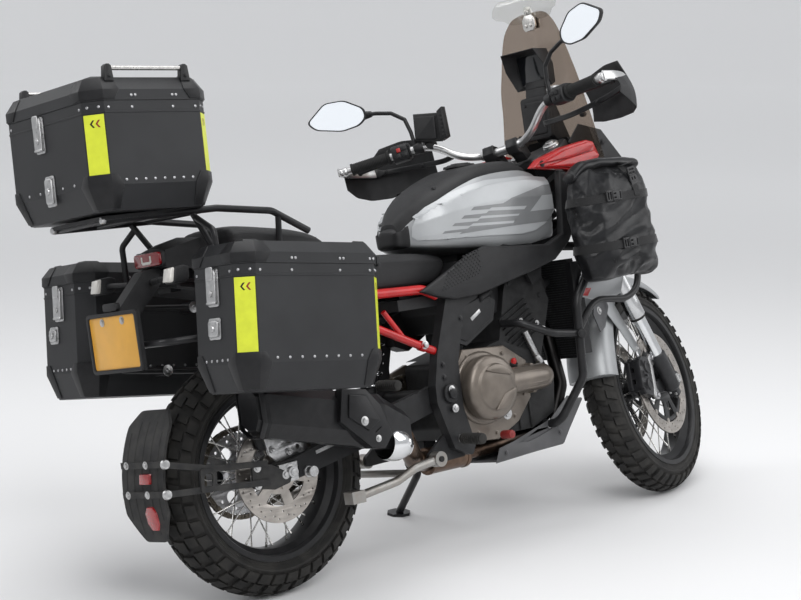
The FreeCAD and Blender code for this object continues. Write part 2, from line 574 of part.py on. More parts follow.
# Crash bars and the roll-top bags that hang on them
bar_pts = [(930, -128, 300), (930, -190, 300), (1000, -238, 420), (1010, -244, 640), (1120, -236, 760),
           (1140, -180, 790), (1060, -150, 800)]
lower_bar = tube(bar_pts, 12.5, 45)
brace = tube([(1005, -240, 545), (900, -236, 560), (830, -190, 600), (820, -128, 604)], 11, 40)
bike["crash_bars"] = cut(join(pair(lower_bar, brace)), bike["engine"], bike["engine_covers"], bike["radiator"],
                         bike["main_frame"], bike["skid_plate"])
BAG = [(1000, 690), (1268, 690), (1298, 740), (1298, 930), (1258, 1012), (1030, 1012), (984, 940), (984, 740)]
bag = prism(BAG, -350, -243, 30)
bike["crash_bar_bags"] = group(pair(largest(cut(bag, bike["crash_bars"]))))

# Nose: fairing, headlight, windscreen and display
nose = body([(x, [(0, top), (w * 0.6, top - 6), (w, top - 60), (w * 0.8, low), (0, low)]) for x, w, low, top in
             ((1180, 134, 1000, 1128), (1276, 134, 940, 1124), (1350, 118, 900, 1100), (1420, 70, 940, 1040))])
bike["nose_fairing"] = largest(cut(nose, fork_room, bike["main_frame"]))
cheek = beam([(1120, 158, 940, 12, 150), (1260, 152, 1000, 14, 170), (1360, 112, 1000, 12, 120)])
bike["nose_fairing"] = largest(cut(join(bike["nose_fairing"], pair(cut(cheek, fork_room))), bike["side_fairings"],
                                   bike["shroud_wings"], bike["fuel_tank"]))
lamp_cut = body([(1400, [(0, 1030), (80, 1020), (90, 970), (60, 950), (0, 950)]),
                 (1436, [(0, 1020), (66, 1012), (74, 976), (50, 956), (0, 956)])])
bike["headlight"] = cut(lamp_cut, bike["nose_fairing"])
dash_box = turned(slab(1160, 1186, -66, 66, 1278, 1392), (1172, 0, 1330), (0, 1, 0), -12)
stay = prism([(1170, 1288), (1214, 1330), (1290, 1110), (1260, 1090)], -40, 40)
bike["dash"] = join(dash_box, stay)
bike["dash"] = cut(bike["dash"], bike["nose_fairing"])


def bent_sheet(thickness):
    """A sheet rolled to one radius about a steep axis, its ends trimmed by the front outline."""
    arc = [Part.makeCylinder(r, 560, Vector(1040, 0, 1010), Vector(-0.22, 0, 1)) for r in (290 + thickness, 290)]
    return arc[0].cut(arc[1])


def mirrored(half):
    """A whole front outline from the points of its left half, listed upwards."""
    return half + [(-y, z) for y, z in reversed(half)]


# half outlines of the smoke screen and of the clear extension above it: y, z
SCREEN = [(180, 1040), (172, 1137), (146, 1290), (132, 1400), (106, 1472), (64, 1508)]
EXTENSION = [(58, 1496), (88, 1532), (80, 1560)]
screen = bent_sheet(4).common(front(mirrored(SCREEN), 1050, 1500, 14))
extension = turned(front(mirrored(EXTENSION), 1226, 1229, 6), (1227, 0, 1496), (0, 1, 0), -8)
clamp = join(slab(1208, 1226, -15, 15, 1462, 1520), slab(1226, 1262, -11, 11, 1466, 1486))
bike["windscreen"] = cut(join(screen, extension, clamp), bike["nose_fairing"], bike["dash"])

# Fork, triple clamps and front axle, in t, y, s
AXLE_S, AXLE_T = 343.1, 47.2
LEGS = []
for y in (-LEG_Y, LEG_Y):
    LEGS.append(Part.makeCylinder(27, 548, Vector(LEG_T, y, 640)))
    LEGS.append(Part.makeCylinder(21.5, 210, Vector(LEG_T, y, 431)))
    LEGS.append(Part.makeCylinder(27, 140, Vector(LEG_T, y, 320)))
    side = 1 if y > 0 else -1
    LEGS.append(Part.makeCylinder(25, 42, Vector(AXLE_T, y - 21, AXLE_S), Vector(0, 1, 0)))
clamp_low = Part.Face(loop([(-34, -70, 925), (-34, 70, 925), (10, 140, 925), (66, 140, 925), (66, 76, 925), (44, 40, 925),
                            (44, -40, 925), (66, -76, 925), (66, -140, 925), (10, -140, 925)], 9)).extrude(Vector(0, 0, 40))
clamp_top = clamp_low.copy()
clamp_top.translate(Vector(0, 0, 236))
stem = Part.makeCylinder(15, 240, Vector(0, 0, 940))
front_axle = Part.makeCylinder(9, 2 * LEG_Y + 50, Vector(AXLE_T, -LEG_Y - 25, AXLE_S), Vector(0, 1, 0))
spacer = [Part.makeCylinder(13, 24, Vector(AXLE_T, 60.5, AXLE_S), Vector(0, 1, 0)),
          Part.makeCylinder(13, 24, Vector(AXLE_T, -84.5, AXLE_S), Vector(0, 1, 0))]
bike["fork"] = on_fork(join(LEGS, clamp_low, clamp_top, stem, front_axle, spacer))

fender_in = FRONT_R + 16
fender_band = Part.Face(loop([(WHEELBASE + r, y, FRONT_R) for r, y in
                              ((fender_in + 14, 0), (fender_in + 10, 34), (fender_in - 20, 62), (fender_in - 46, 66),
                               (fender_in - 46, 63), (fender_in - 22, 59), (fender_in + 7, 32), (fender_in + 11, 0),
                               (fender_in + 7, -32), (fender_in - 22, -59), (fender_in - 46, -63), (fender_in - 46, -66),
                               (fender_in - 20, -62), (fender_in + 10, -34))]))
fender = fender_band.revolve(Vector(WHEELBASE, 0, FRONT_R), Vector(0, -1, 0), 114)
fender.rotate(Vector(WHEELBASE, 0, FRONT_R), Vector(0, 1, 0), -56)
stays = pair(on_fork(slab(4, 64, -84, -60, 642, 690)))
bike["front_mudguard"] = cut(join(fender, stays), bike["fork"])
lug = on_fork(slab(-40, LEG_T, -104, -86, 376, 452))


def beside_disc(r0, r1, half, y0, y1, angle):
    """A block that stands out from the front axle at an angle behind the fork, in t, y, s."""
    block = slab(-half, half, y0, y1, r0, r1)
    block.Placement = Placement(Vector(AXLE_T, 0, AXLE_S), Rotation(Vector(0, 1, 0), -angle))
    return on_fork(block)


CALIPER_ANGLE = 52
caliper_f = join(beside_disc(100, 180, 52, -94, -72, CALIPER_ANGLE), beside_disc(100, 180, 52, -63, -46, CALIPER_ANGLE),
                 beside_disc(164, 180, 44, -94, -46, CALIPER_ANGLE))
bike["front_calipers"] = cut(group(pair(join(lug, caliper_f))), bike["fork"])

# Handlebar, grips, levers, hand guards and mirrors
BAR = [(850, -442, 1171), (960, -200, 1182), (985, -125, 1118), (1022, -60, 1100), (1022, 60, 1100), (985, 125, 1118),
       (960, 200, 1182), (850, 442, 1171)]
risers = [rod((1060, y, 1064), (1024, y, 1100), 16) for y in (-40, 40)]
bike["handlebar"] = join(tube(BAR, 11, 38), risers)
bike["handlebar"] = cut(bike["handlebar"], bike["fork"])


def along(y):
    """A point on the straight right grip at the given y."""
    share = (y + 442) / 242.0
    return (850 + 110 * share, y, 1171 + 11 * share)


grip = rod(along(-432), along(-312), 17)
switch = rod(along(-308), along(-252), 23)
lever = tube([(968, -232, 1180), (972, -300, 1178), (925, -430, 1166)], 6, 30)
perch = rod(along(-246), along(-218), 17)
link_arm = rod((955, -232, 1180), (972, -236, 1180), 9)
bike["controls"] = cut(group(pair(grip, switch, join(lever, perch, link_arm))), bike["handlebar"])
guard_bar = tube([along(-446), (880, -462, 1165), (1000, -430, 1150), (1080, -300, 1144), (990, -150, 1130)], 8, 26)
shell = Part.makeLoft([loop([(x, y, z0), (x + 12, y - 4, z0), (x + 18, y - 6, z1), (x + 6, y - 2, z1)]) for x, y, z0, z1 in
                       ((900, -462, 1122, 1186), (1004, -432, 1096, 1210), (1078, -322, 1092, 1228),
                        (1082, -262, 1100, 1200))], True, True)
bike["hand_guards"] = group([cut(s, bike["handlebar"], bike["controls"]) for s in pair(join(guard_bar, shell))])
# outline of the mirror glass, outwards from its middle and up: u, z
MIRROR = [(-100, 1311), (-98, 1340), (-44, 1380), (16, 1387), (82, 1343), (61, 1316), (-18, 1290), (-74, 1293)]
MIRROR_Y, MIRROR_X, MIRROR_TOE = 433.0, 845.0, 20.5
stem_r = tube([(938, -236, 1184), (934, -236, 1270), (888, -338, 1316), (876, -350, 1318)], 6, 22)
head_r = turned(front([(-MIRROR_Y - u, z) for u, z in MIRROR], MIRROR_X, MIRROR_X + 22, 12),
                (MIRROR_X, -MIRROR_Y, 0), (0, 0, 1), -MIRROR_TOE)
bike["mirrors"] = cut(group(pair(join(stem_r, head_r))), bike["handlebar"], bike["controls"])
PHONE_BOX = [(150, 1180), (228, 1202), (214, 1276), (136, 1256)]
phone_box = join(front(PHONE_BOX, 936, 952, 8), front([(160, 1196), (216, 1212), (206, 1262), (150, 1246)], 926, 937, 6),
                 rod((945, 190, 1200), (960, 192, 1190), 9))
bike["controls"] = group(bike["controls"], cut(phone_box, bike["handlebar"], bike["controls"], bike["mirrors"]))

# Stands
STAND_PIVOT = (672.0, 152.0, 246.0)


# Cases: a tub with chamfered corners and sloping base, and a tray lid
def octagon(length, depth, chamfer, z, inset=0):
    a = length / 2 - inset
    b = depth / 2 - inset
    c = chamfer - inset * (2 - math.sqrt(2))
    return loop([(a - c, -b, z), (a, -b + c, z), (a, b - c, z), (a - c, b, z), (c - a, b, z), (-a, b - c, z),
                 (-a, c - b, z), (c - a, -b, z)])


def tub(length, depth, chamfer, base, height):
    outer = Part.makeLoft([octagon(length, depth, chamfer, 0, 26), octagon(length, depth, chamfer, base),
                           octagon(length, depth, chamfer, height)], True, True)
    inside = Part.makeLoft([octagon(length, depth, chamfer, WALL, 26 + WALL), octagon(length, depth, chamfer, base, WALL),
                            octagon(length, depth, chamfer, height + 1, WALL)], True, True)
    return outer.cut(inside)


def tray(length, depth, chamfer, height):
    outer = Part.makeLoft([octagon(length, depth, chamfer, 0, -2), octagon(length, depth, chamfer, SKIRT, -2),
                           octagon(length, depth, chamfer, height, 20)], True, True)
    inside = Part.makeLoft([octagon(length, depth, chamfer, -1, WALL - 2),
                            octagon(length, depth, chamfer, SKIRT - WALL, WALL - 2),
                            octagon(length, depth, chamfer, height - WALL, 20 + WALL)], True, True)
    return outer.cut(inside)


# name, length, depth, base, tub height, lid height, place of the base centre, pitch
CASES = [("top", 354.0, 430.0, 60.0, 262.0, 58.0, (-320.0, 0.0, 1026.0), 2.5),
         ("right", 435.0, 236.0, 66.0, 300.0, 54.0, (-129.5, -372.0, 540.0), 6.5),
         ("left", 435.0, 236.0, 66.0, 300.0, 54.0, (-129.5, 341.0, 558.0), 6.5)]
CHAMFER = 40.0
SKIRT = 26.0
LID_GAP = 0.6
case_place = {}
tubs = {}
for name, length, depth, base, height, lid, at, pitch in CASES:
    place = Placement(Vector(*at), Rotation(Vector(0, 1, 0), pitch))
    case_place[name] = place
    shape = tub(length, depth, CHAMFER, base, height)
    cover_shape = tray(length, depth, CHAMFER, lid)
    cover_shape.translate(Vector(0, 0, height + LID_GAP))
    shape.Placement = place
    cover_shape.Placement = place.multiply(cover_shape.Placement)
    tubs[name] = shape
    bike[name + "_lid"] = cover_shape
bike["top_case"] = tubs["top"]
bike["right_case"] = tubs["right"]
bike["left_case"] = tubs["left"]
bike["luggage_rack"] = largest(cut(bike["luggage_rack"], bike["top_case"]))
bike["case_racks"] = largest(cut(bike["case_racks"], bike["right_case"], bike["left_case"]))

# Latches and rack clamps on the rear walls, in the case's own frame: case, y, lowest, highest z, width, depth
LATCHES = [("top", 26, 168, 256, 40, 13), ("top", 0, 34, 108, 40, 15), ("right", 0, 206, 294, 42, 13),
           ("right", 0, 128, 178, 46, 15), ("left", 0, 206, 294, 42, 13), ("left", 30, 148, 192, 40, 15)]
latches = []
for name, y, low, high, width, deep in LATCHES:
    rear = -[case for case in CASES if case[0] == name][0][1] / 2
    block = join(slab(rear - deep, rear, y - width / 2, y + width / 2, low, high),
                 disc((rear - deep, (low + high) / 2), y - 5, y + 5, 5))
    block.Placement = case_place[name]
    latches.append(cut(block, tubs[name]))
bike["case_latches"] = group(latches)

# Bright grab bars along both sides of the top lid, on end brackets
length, depth, lid_top = CASES[0][1], CASES[0][2], CASES[0][4] + LID_GAP + CASES[0][5]
bars = []
for y in (-depth / 2 + 16, depth / 2 - 16):
    bars.append(rod((-110, y, lid_top + 22), (110, y, lid_top + 22), 5.5))
    for x in (-116, 104):
        bars.append(prism([(x, lid_top - 8), (x + 12, lid_top - 8), (x + 12, lid_top + 29), (x, lid_top + 29)], y - 9, y + 9))
grab_bars = join(bars)
grab_bars.Placement = case_place["top"]
bike["lid_grab_bars"] = group([bar for bar in cut(grab_bars, bike["top_lid"]).Solids if bar.Volume > 2000])

# Bodies, and the pieces each one holds; all the rest belongs to the chassis
STEERING = ["fork", "front_mudguard", "front_calipers", "handlebar", "controls", "hand_guards", "mirrors"]
FRONT_WHEEL = ["front_tyre", "front_wheel", "front_brake_discs"]
REAR_WHEEL = ["rear_tyre", "rear_wheel", "rear_brake_disc", "rear_sprocket"]


# Pose: steer to the left, then lean and pitch until both tyres touch the floor
def lowest(centre, spin_axis, radius, width):
    """Height of the lowest point of a tyre whose crown is an arc, for any spin axis."""
    rise = 0.79 * width / 2
    crown = ((width / 2) ** 2 + rise ** 2) / (2 * rise)
    return centre.z - (radius - crown) * math.sqrt(1 - spin_axis.z ** 2) - crown


def lean_pose():
    steer = Rotation(AXIS_DIR, STEER)
    front = AXIS_FOOT + steer.multVec(Vector(WHEELBASE, 0, FRONT_R) - AXIS_FOOT)
    front_spin = steer.multVec(Vector(0, 1, 0))
    rear = Vector(0, 0, REAR_R)
    pitch = 0.0
    for _ in range(8):
        turn = Rotation(Vector(1, 0, 0), -LEAN).multiply(Rotation(Vector(0, 1, 0), pitch))
        rear_low = lowest(turn.multVec(rear), turn.multVec(Vector(0, 1, 0)), REAR_R, REAR_W)
        front_low = lowest(turn.multVec(front), turn.multVec(front_spin), FRONT_R, FRONT_W)
        pitch += math.degrees((front_low - rear_low) / WHEELBASE)
    return Placement(Vector(0, 0, -rear_low), turn)


POSE = lean_pose()
FLOOR_FOOT = Vector(724, 343, 0)

# The side stand is modelled upright to reach the floor where the lean puts it. Its pin is tilted
# so that the leg folds back along the bike.
foot = POSE.inverse().multVec(FLOOR_FOOT)
pivot = Vector(*STAND_PIVOT)
FOLDED = Vector(-238, 72, -66)
down = foot - pivot
step = down - FOLDED.normalize() * down.Length
step.normalize()
pin_dir = (Vector(0, 1, 0) - step * step.y).normalize()
STAND_SWING = 100.0


def on_pin(distance):
    return tuple(pivot + pin_dir * distance)


toe = foot + (pivot - foot).normalize() * 12
leg = tube([tuple(pivot), tuple(pivot + Vector(2, 10, -44)), tuple(toe)], 11, 40)
pad_edge = [(36 * math.cos(a), 36 * math.sin(a)) for a in [math.pi / 4 * (i + 0.5) for i in range(8)]]
pad = plan(pad_edge, 0, 8)
pad.Placement = Placement(foot, POSE.Rotation.inverted())
knuckle = rod(on_pin(-13), on_pin(13), 19)
bike["side_stand"] = cut(join(leg, knuckle, pad), rod(on_pin(-60), on_pin(60), 7 + GAP),
                         rod(on_pin(13), on_pin(40), 24), rod(on_pin(-13), on_pin(-40), 24))
bracket = cut(slab(pivot.x - 12, pivot.x + 34, 100, 140, pivot.z - 8, pivot.z + 60), rod(on_pin(-13.4), on_pin(40), 26))
bracket = join(bracket, rod(on_pin(-30), on_pin(20), 7), rod(on_pin(-13.5), on_pin(-26), 20),
               rod(on_pin(13.5), on_pin(20), 12))
bike["stand_bracket"] = cut(bracket, bike["engine"], bike["main_frame"], bike["engine_covers"])

CENTRE_PIVOT = (484.0, 0.0, 272.0)
STAND_Y = 158.0
cx, cy, cz = CENTRE_PIVOT
legs = pair(tube([(cx, -STAND_Y, cz), (400, -STAND_Y, 262), (330, -STAND_Y, 238), (196, -STAND_Y, 222)], 12, 60),
            slab(160, 204, -STAND_Y - 18, -STAND_Y + 18, 206, 238), disc((cx, cz), -STAND_Y - 15, -STAND_Y + 15, 21))
cross_tube = rod((376, -STAND_Y, 252), (376, STAND_Y, 252), 10)
tang = tube([(300, STAND_Y, 234), (300, STAND_Y + 30, 246), (240, STAND_Y + 44, 256)], 7, 16)
bike["centre_stand"] = cut(join(legs, cross_tube, tang), rod((cx, -300, cz), (cx, 300, cz), 8 + GAP))
lugs = pair(join(rod((cx, -STAND_Y - 18, cz), (cx, -130, cz), 8),
                 prism([(cx - 16, 258), (cx - 16, 286), (530, 330), (600, 330), (600, 262)], -141, -130, 6)))
bike["stand_bracket"] = group(bike["stand_bracket"], cut(join(lugs), bike["engine"], bike["main_frame"]))

# Hinges of the lids: barrels on the tub, knuckles on the lid, one pin line along the front edge
lid_pins = {}
for name, length, depth, base, height, lid, at, pitch in CASES:
    line = (length / 2 + 9, height + 4)
    wall = length / 2
    barrels = []
    knuckles = []
    for y in (-depth / 4, depth / 4):
        barrels.append(disc(line, y - 14, y + 14, 6))
        barrels.append(slab(wall - 1, wall + 9, y - 14, y + 14, height - 16, height - 1))
        barrels.append(prism([(wall + 3, height - 2), (wall + 15, height - 2), (wall + 15, height + 4),
                              (wall + 5, height + 4)], y - 14, y + 14))
        barrels.append(disc(line, y - 25, y + 25, 3))
        for y0 in (y - 24, y + 14.5):
            knuckles.append(disc(line, y0, y0 + 9.5, 6))
            knuckles.append(slab(wall + 1, wall + 9, y0, y0 + 9.5, height + 5, height + 22))
    place = case_place[name]
    room = [disc(line, y - 26, y - 14, 6.6) for y in (-depth / 4, depth / 4)]
    room += [disc(line, y + 14, y + 26, 6.6) for y in (-depth / 4, depth / 4)]
    barrel = join(barrels[:])
    leaf = cut(join(knuckles[:2]), disc(line, -400, 400, 3 + GAP))
    leaves = [cut(join(knuckles[i:i + 2]), disc(line, -400, 400, 3 + GAP)) for i in range(0, len(knuckles), 2)]
    barrel.Placement = place
    for piece in leaves:
        piece.Placement = place
    if name == "top":
        bike["top_case"] = join(bike["top_case"], barrel)
    else:
        tubs[name] = join(tubs[name], barrel)
    bike[name + "_lid"] = join(bike[name + "_lid"], leaves)
    lid_pins[name] = (place.multVec(Vector(line[0], 0, line[1])), place.Rotation.multVec(Vector(0, 1, 0)))
bike["right_case"] = tubs["right"]
bike["left_case"] = tubs["left"]

# Joints: name, parent, child, a point on the axis, axis, lowest and highest turn in degrees
BODIES = {"steering": STEERING, "front_wheel": FRONT_WHEEL, "rear_wheel": REAR_WHEEL, "side_stand": ["side_stand"],
          "centre_stand": ["centre_stand"], "top_lid": ["top_lid", "lid_grab_bars"], "right_lid": ["right_lid"], "left_lid": ["left_lid"]}
steered = Rotation(AXIS_DIR, STEER)
hub_centre = AXIS_FOOT + steered.multVec(Vector(WHEELBASE, 0, FRONT_R) - AXIS_FOOT)
LOCK = 38.0
JOINTS = [("steering_turn", "chassis", "steering", AXIS_FOOT + AXIS_DIR * 1060, AXIS_DIR, -LOCK - STEER, LOCK - STEER),
          ("front_wheel_spin", "steering", "front_wheel", hub_centre, steered.multVec(Vector(0, 1, 0)), None, None),
          ("rear_wheel_spin", "chassis", "rear_wheel", Vector(0, 0, REAR_R), Vector(0, 1, 0), None, None),
          ("side_stand_fold", "chassis", "side_stand", pivot, pin_dir, 0.0, STAND_SWING),
          ("centre_stand_drop", "chassis", "centre_stand", Vector(*CENTRE_PIVOT), Vector(0, -1, 0), 0.0, 88.0)]
for name, (point, direction) in lid_pins.items():
    JOINTS.append((name + "_lid_open", "chassis", name + "_lid", point, direction, 0.0, 90.0))


def posed():
    """All pieces in their final place, and the placement that took them there."""
    shapes = {}
    for name, shape in bike.items():
        copy = shape.copy()
        if name in STEERING or name in FRONT_WHEEL:
            copy.rotate(AXIS_FOOT, AXIS_DIR, STEER)
        copy.Placement = POSE.multiply(copy.Placement)
        shapes[name] = copy
    box = FreeCAD.BoundBox()
    for shape in shapes.values():
        box.add(shape.optimalBoundingBox(False, False))
    shift = Vector(-(box.XMin + box.XMax) / 2, -(box.YMin + box.YMax) / 2, -box.ZMin)
    for shape in shapes.values():
        shape.translate(shift)
    return shapes, Placement(shift, Rotation()).multiply(POSE), box


SHAPES, TO_ROW, BOX = posed()

if __name__ == "__main__":
    os.makedirs("parts", exist_ok=True)
    for name, shape in SHAPES.items():
        shape.exportStep("parts/" + name + ".step")
    print(len(SHAPES), "pieces", [round(v) for v in (BOX.XLength, BOX.YLength, BOX.ZLength)], "mm")
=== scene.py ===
# An adventure motorcycle on its side stand, with three aluminium cases and two soft bags.
# Lengths are millimetres in the frame of the upright bike: x forward from the rear axle,
# y to the rider's left, z up from the floor.
import json
import math

import bmesh
import bpy
from mathutils import Matrix, Vector, noise
from mathutils.bvhtree import BVHTree

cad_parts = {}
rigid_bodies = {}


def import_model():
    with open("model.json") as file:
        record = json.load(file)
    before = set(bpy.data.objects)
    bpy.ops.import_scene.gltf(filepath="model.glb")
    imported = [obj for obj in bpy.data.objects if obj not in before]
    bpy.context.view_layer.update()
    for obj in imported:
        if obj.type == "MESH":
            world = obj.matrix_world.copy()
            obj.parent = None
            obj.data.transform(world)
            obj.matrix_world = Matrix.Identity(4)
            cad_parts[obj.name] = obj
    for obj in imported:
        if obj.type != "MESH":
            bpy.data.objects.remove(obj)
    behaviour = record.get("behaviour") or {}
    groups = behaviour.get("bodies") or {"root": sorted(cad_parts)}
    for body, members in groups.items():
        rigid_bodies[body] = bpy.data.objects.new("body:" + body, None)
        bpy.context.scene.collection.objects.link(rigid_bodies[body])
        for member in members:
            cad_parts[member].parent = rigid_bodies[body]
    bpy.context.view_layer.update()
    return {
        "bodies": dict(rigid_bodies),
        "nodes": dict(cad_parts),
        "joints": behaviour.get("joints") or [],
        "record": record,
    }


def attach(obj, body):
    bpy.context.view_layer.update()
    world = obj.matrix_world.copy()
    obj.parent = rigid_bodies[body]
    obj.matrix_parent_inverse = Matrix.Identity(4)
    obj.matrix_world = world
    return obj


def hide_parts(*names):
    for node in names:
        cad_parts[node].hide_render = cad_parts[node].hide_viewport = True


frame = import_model()
scene = bpy.context.scene
nodes = frame["nodes"]
joints = {joint["name"]: joint for joint in frame["joints"]}

# How the bike stands: it leans to its left on the stand, nose a little down, and its steering is turned to
# the left. UPRIGHT takes a point of the upright bike to its place, STEERED one of the fork with straight
# steering.
LEAN, DIP, STEER, RAKE = 12.45, 0.24919, 20.0, 26.0
REAR_AXLE, FRONT_AXLE = Vector((0, 0, 321)), Vector((1505, 0, 329))
AXIS_FOOT = Vector((1613, 0, 0))
AXIS_DIR = Vector((-math.sin(math.radians(RAKE)), 0, math.cos(math.radians(RAKE))))
UPRIGHT = (Matrix.Translation(Vector(joints["rear_wheel_spin"]["pos_m"]))
           @ Matrix.Rotation(math.radians(-LEAN), 4, "X") @ Matrix.Rotation(math.radians(DIP), 4, "Y")
           @ Matrix.Scale(0.001, 4) @ Matrix.Translation(-REAR_AXLE))
STEERED = (UPRIGHT @ Matrix.Translation(AXIS_FOOT) @ Matrix.Rotation(math.radians(STEER), 4, AXIS_DIR)
           @ Matrix.Translation(-AXIS_FOOT))
ON_FORK = STEERED @ Matrix.Translation(AXIS_FOOT) @ Matrix.Rotation(math.radians(-RAKE), 4, "Y")

# Camera at the photograph's place: behind the bike's right side, a little above the seat
AZIMUTH, ELEVATION, DISTANCE, ROLL = math.radians(-41.02), math.radians(10.57), 5.308, math.radians(-0.188)
ground = UPRIGHT @ REAR_AXLE
target = Vector((ground.x + 0.434, ground.y - math.sin(math.radians(LEAN)) * 0.321, 0.709))
back = Vector((math.sin(AZIMUTH) * math.cos(ELEVATION), -math.cos(AZIMUTH) * math.cos(ELEVATION),
               math.sin(ELEVATION)))
right = Vector((math.cos(AZIMUTH), math.sin(AZIMUTH), 0))
up = back.cross(right)
camera_data = bpy.data.cameras.new("camera")
camera_data.lens = 36 * 1966 / 801
camera_data.shift_y = 8.4 / 801
camera = bpy.data.objects.new("camera", camera_data)
camera.matrix_world = (Matrix.Translation(target + back * DISTANCE)
                       @ Matrix((right, up, back)).transposed().to_4x4() @ Matrix.Rotation(ROLL, 4, "Z"))
scene.collection.objects.link(camera)
scene.camera = camera

# Studio: a wide pale dish of floor with a turned-up rim, four soft lamps and an even pale world
scene.view_settings.view_transform = "Standard"
DISH = [(4.0, 0.0), (18.0, 0.0)]
DISH += [(18.0 + 4.0 * math.sin(a), 4.0 - 4.0 * math.cos(a))
         for a in [math.pi / 2 * k / 12 for k in range(1, 13)]] + [(22.0, 14.0)]
floor_paint = bpy.data.materials.new("pale floor")
floor_paint.use_nodes = True
floor_nodes, floor_links = floor_paint.node_tree.nodes, floor_paint.node_tree.links
floor_shader = floor_nodes["Principled BSDF"]
floor_shader.inputs["Roughness"].default_value = 0.9
floor_shader.inputs["Emission Color"].default_value = (0.98, 0.99, 1.0, 1)
grain = floor_nodes.new("ShaderNodeTexNoise")
grain.inputs["Scale"].default_value = 3.0
tint = floor_nodes.new("ShaderNodeMix")
tint.data_type = "RGBA"
tint.inputs["A"].default_value = (0.70, 0.70, 0.707, 1)
tint.inputs["B"].default_value = (0.76, 0.76, 0.76, 1)
floor_links.new(grain.outputs["Fac"], tint.inputs["Factor"])
floor_links.new(tint.outputs["Result"], floor_shader.inputs["Base Color"])
# the lamps fade with distance, so the far floor glows a little and stays pale
place_on_floor = floor_nodes.new("ShaderNodeTexCoord")
reach = floor_nodes.new("ShaderNodeVectorMath")
reach.operation = "LENGTH"
glow = floor_nodes.new("ShaderNodeMapRange")
glow.interpolation_type = "SMOOTHSTEP"
glow.inputs["From Min"].default_value = 2.0
glow.inputs["From Max"].default_value = 9.0
glow.inputs["To Max"].default_value = 0.24
floor_links.new(place_on_floor.outputs["Object"], reach.inputs[0])
floor_links.new(reach.outputs["Value"], glow.inputs["Value"])
floor_links.new(glow.outputs["Result"], floor_shader.inputs["Emission Strength"])
dish = bmesh.new()
rings = [[dish.verts.new((r * math.cos(i * math.pi / 36), r * math.sin(i * math.pi / 36), z))
          for i in range(72)] for r, z in DISH]
dish.faces.new(rings[0])
for low_ring, high_ring in zip(rings, rings[1:]):
    for i in range(72):
        dish.faces.new((low_ring[i], high_ring[i], high_ring[(i + 1) % 72],
                        low_ring[(i + 1) % 72])).smooth = True
floor_mesh = bpy.data.meshes.new("floor")
dish.to_mesh(floor_mesh)
dish.free()
floor = bpy.data.objects.new("floor", floor_mesh)
floor.data.materials.append(floor_paint)
scene.collection.objects.link(floor)

for name, place, size, power in (("lamp_key", (-1.6, -3.6, 4.2), 3.2, 150),
                                 ("lamp_fill", (3.6, -2.8, 3.0), 3.4, 80),
                                 ("lamp_top", (0.2, 0.4, 4.8), 3.6, 120),
                                 ("lamp_back", (-2.8, 3.2, 3.4), 2.8, 60)):
    lamp_data = bpy.data.lights.new(name, "AREA")
    lamp_data.shape = "SQUARE"
    lamp_data.size = size
    lamp_data.energy = power
    lamp = bpy.data.objects.new(name, lamp_data)
    lamp.location = place
    lamp.rotation_euler = (Vector((0, 0, 0.6)) - Vector(place)).to_track_quat("-Z", "Y").to_euler()
    scene.collection.objects.link(lamp)

world = bpy.data.worlds.new("studio")
world.use_nodes = True
scene.world = world
world_nodes = world.node_tree.nodes
world_nodes["Background"].inputs["Color"].default_value = (0.86, 0.88, 0.92, 1)
world_nodes["Background"].inputs["Strength"].default_value = 0.42


# Rear tyre: black rubber, block tread on a round crown, worn and dusty. The carcass is one turned shell and
# the blocks stand on it, cut by deep grooves. It sits on the rim by its two beads.
def finish(name, colour, rough, metal=0.0, vary=0.12, patch=60.0, grain=900.0, bump=0.15, second=None,
           share=0.5, coat=0.0, cells=False, sheen=0.0, rough_vary=0.08):
    """A procedural finish: blotches of colour, grain in the gloss, and a fine raised grain."""
    made = bpy.data.materials.new(name)
    made.use_nodes = True
    tree = made.node_tree
    shader = tree.nodes["Principled BSDF"]
    shader.inputs["Metallic"].default_value = metal
    shader.inputs["Coat Weight"].default_value = coat
    shader.inputs["Coat Roughness"].default_value = 0.08
    shader.inputs["Sheen Weight"].default_value = sheen
    shader.inputs["Specular IOR Level"].default_value = 0.5 if metal or max(colour) > 0.05 else 0.27
    where = tree.nodes.new("ShaderNodeTexCoord")
    blotch = tree.nodes.new("ShaderNodeTexNoise")
    blotch.inputs["Scale"].default_value = patch
    blotch.inputs["Detail"].default_value = 5.0
    ramp = tree.nodes.new("ShaderNodeValToRGB")
    dark = [c * (1 - vary) for c in colour]
    pale = second or [min(1, c * (1 + vary)) for c in colour]
    ramp.color_ramp.elements[0].position = 0.35
    ramp.color_ramp.elements[0].color = (*dark, 1)
    ramp.color_ramp.elements[1].position = 0.35 + 0.65 * share
    ramp.color_ramp.elements[1].color = (*pale, 1)
    fine = tree.nodes.new("ShaderNodeTexVoronoi" if cells else "ShaderNodeTexNoise")
    fine.inputs["Scale"].default_value = grain
    gloss = tree.nodes.new("ShaderNodeMapRange")
    gloss.inputs["To Min"].default_value = max(0.02, rough - rough_vary)
    gloss.inputs["To Max"].default_value = min(1.0, rough + rough_vary)
    raised = tree.nodes.new("ShaderNodeBump")
    raised.inputs["Strength"].default_value = bump
    raised.inputs["Distance"].default_value = 0.0006
    link = tree.links.new
    link(where.outputs["Object"], blotch.inputs["Vector"])
    link(where.outputs["Object"], fine.inputs["Vector"])
    link(blotch.outputs["Fac"], ramp.inputs["Fac"])
    link(ramp.outputs["Color"], shader.inputs["Base Color"])
    link(blotch.outputs["Fac"], gloss.inputs["Value"])
    link(gloss.outputs["Result"], shader.inputs["Roughness"])
    link(fine.outputs["Distance" if cells else "Fac"], raised.inputs["Height"])
    link(raised.outputs["Normal"], shader.inputs["Normal"])
    return made


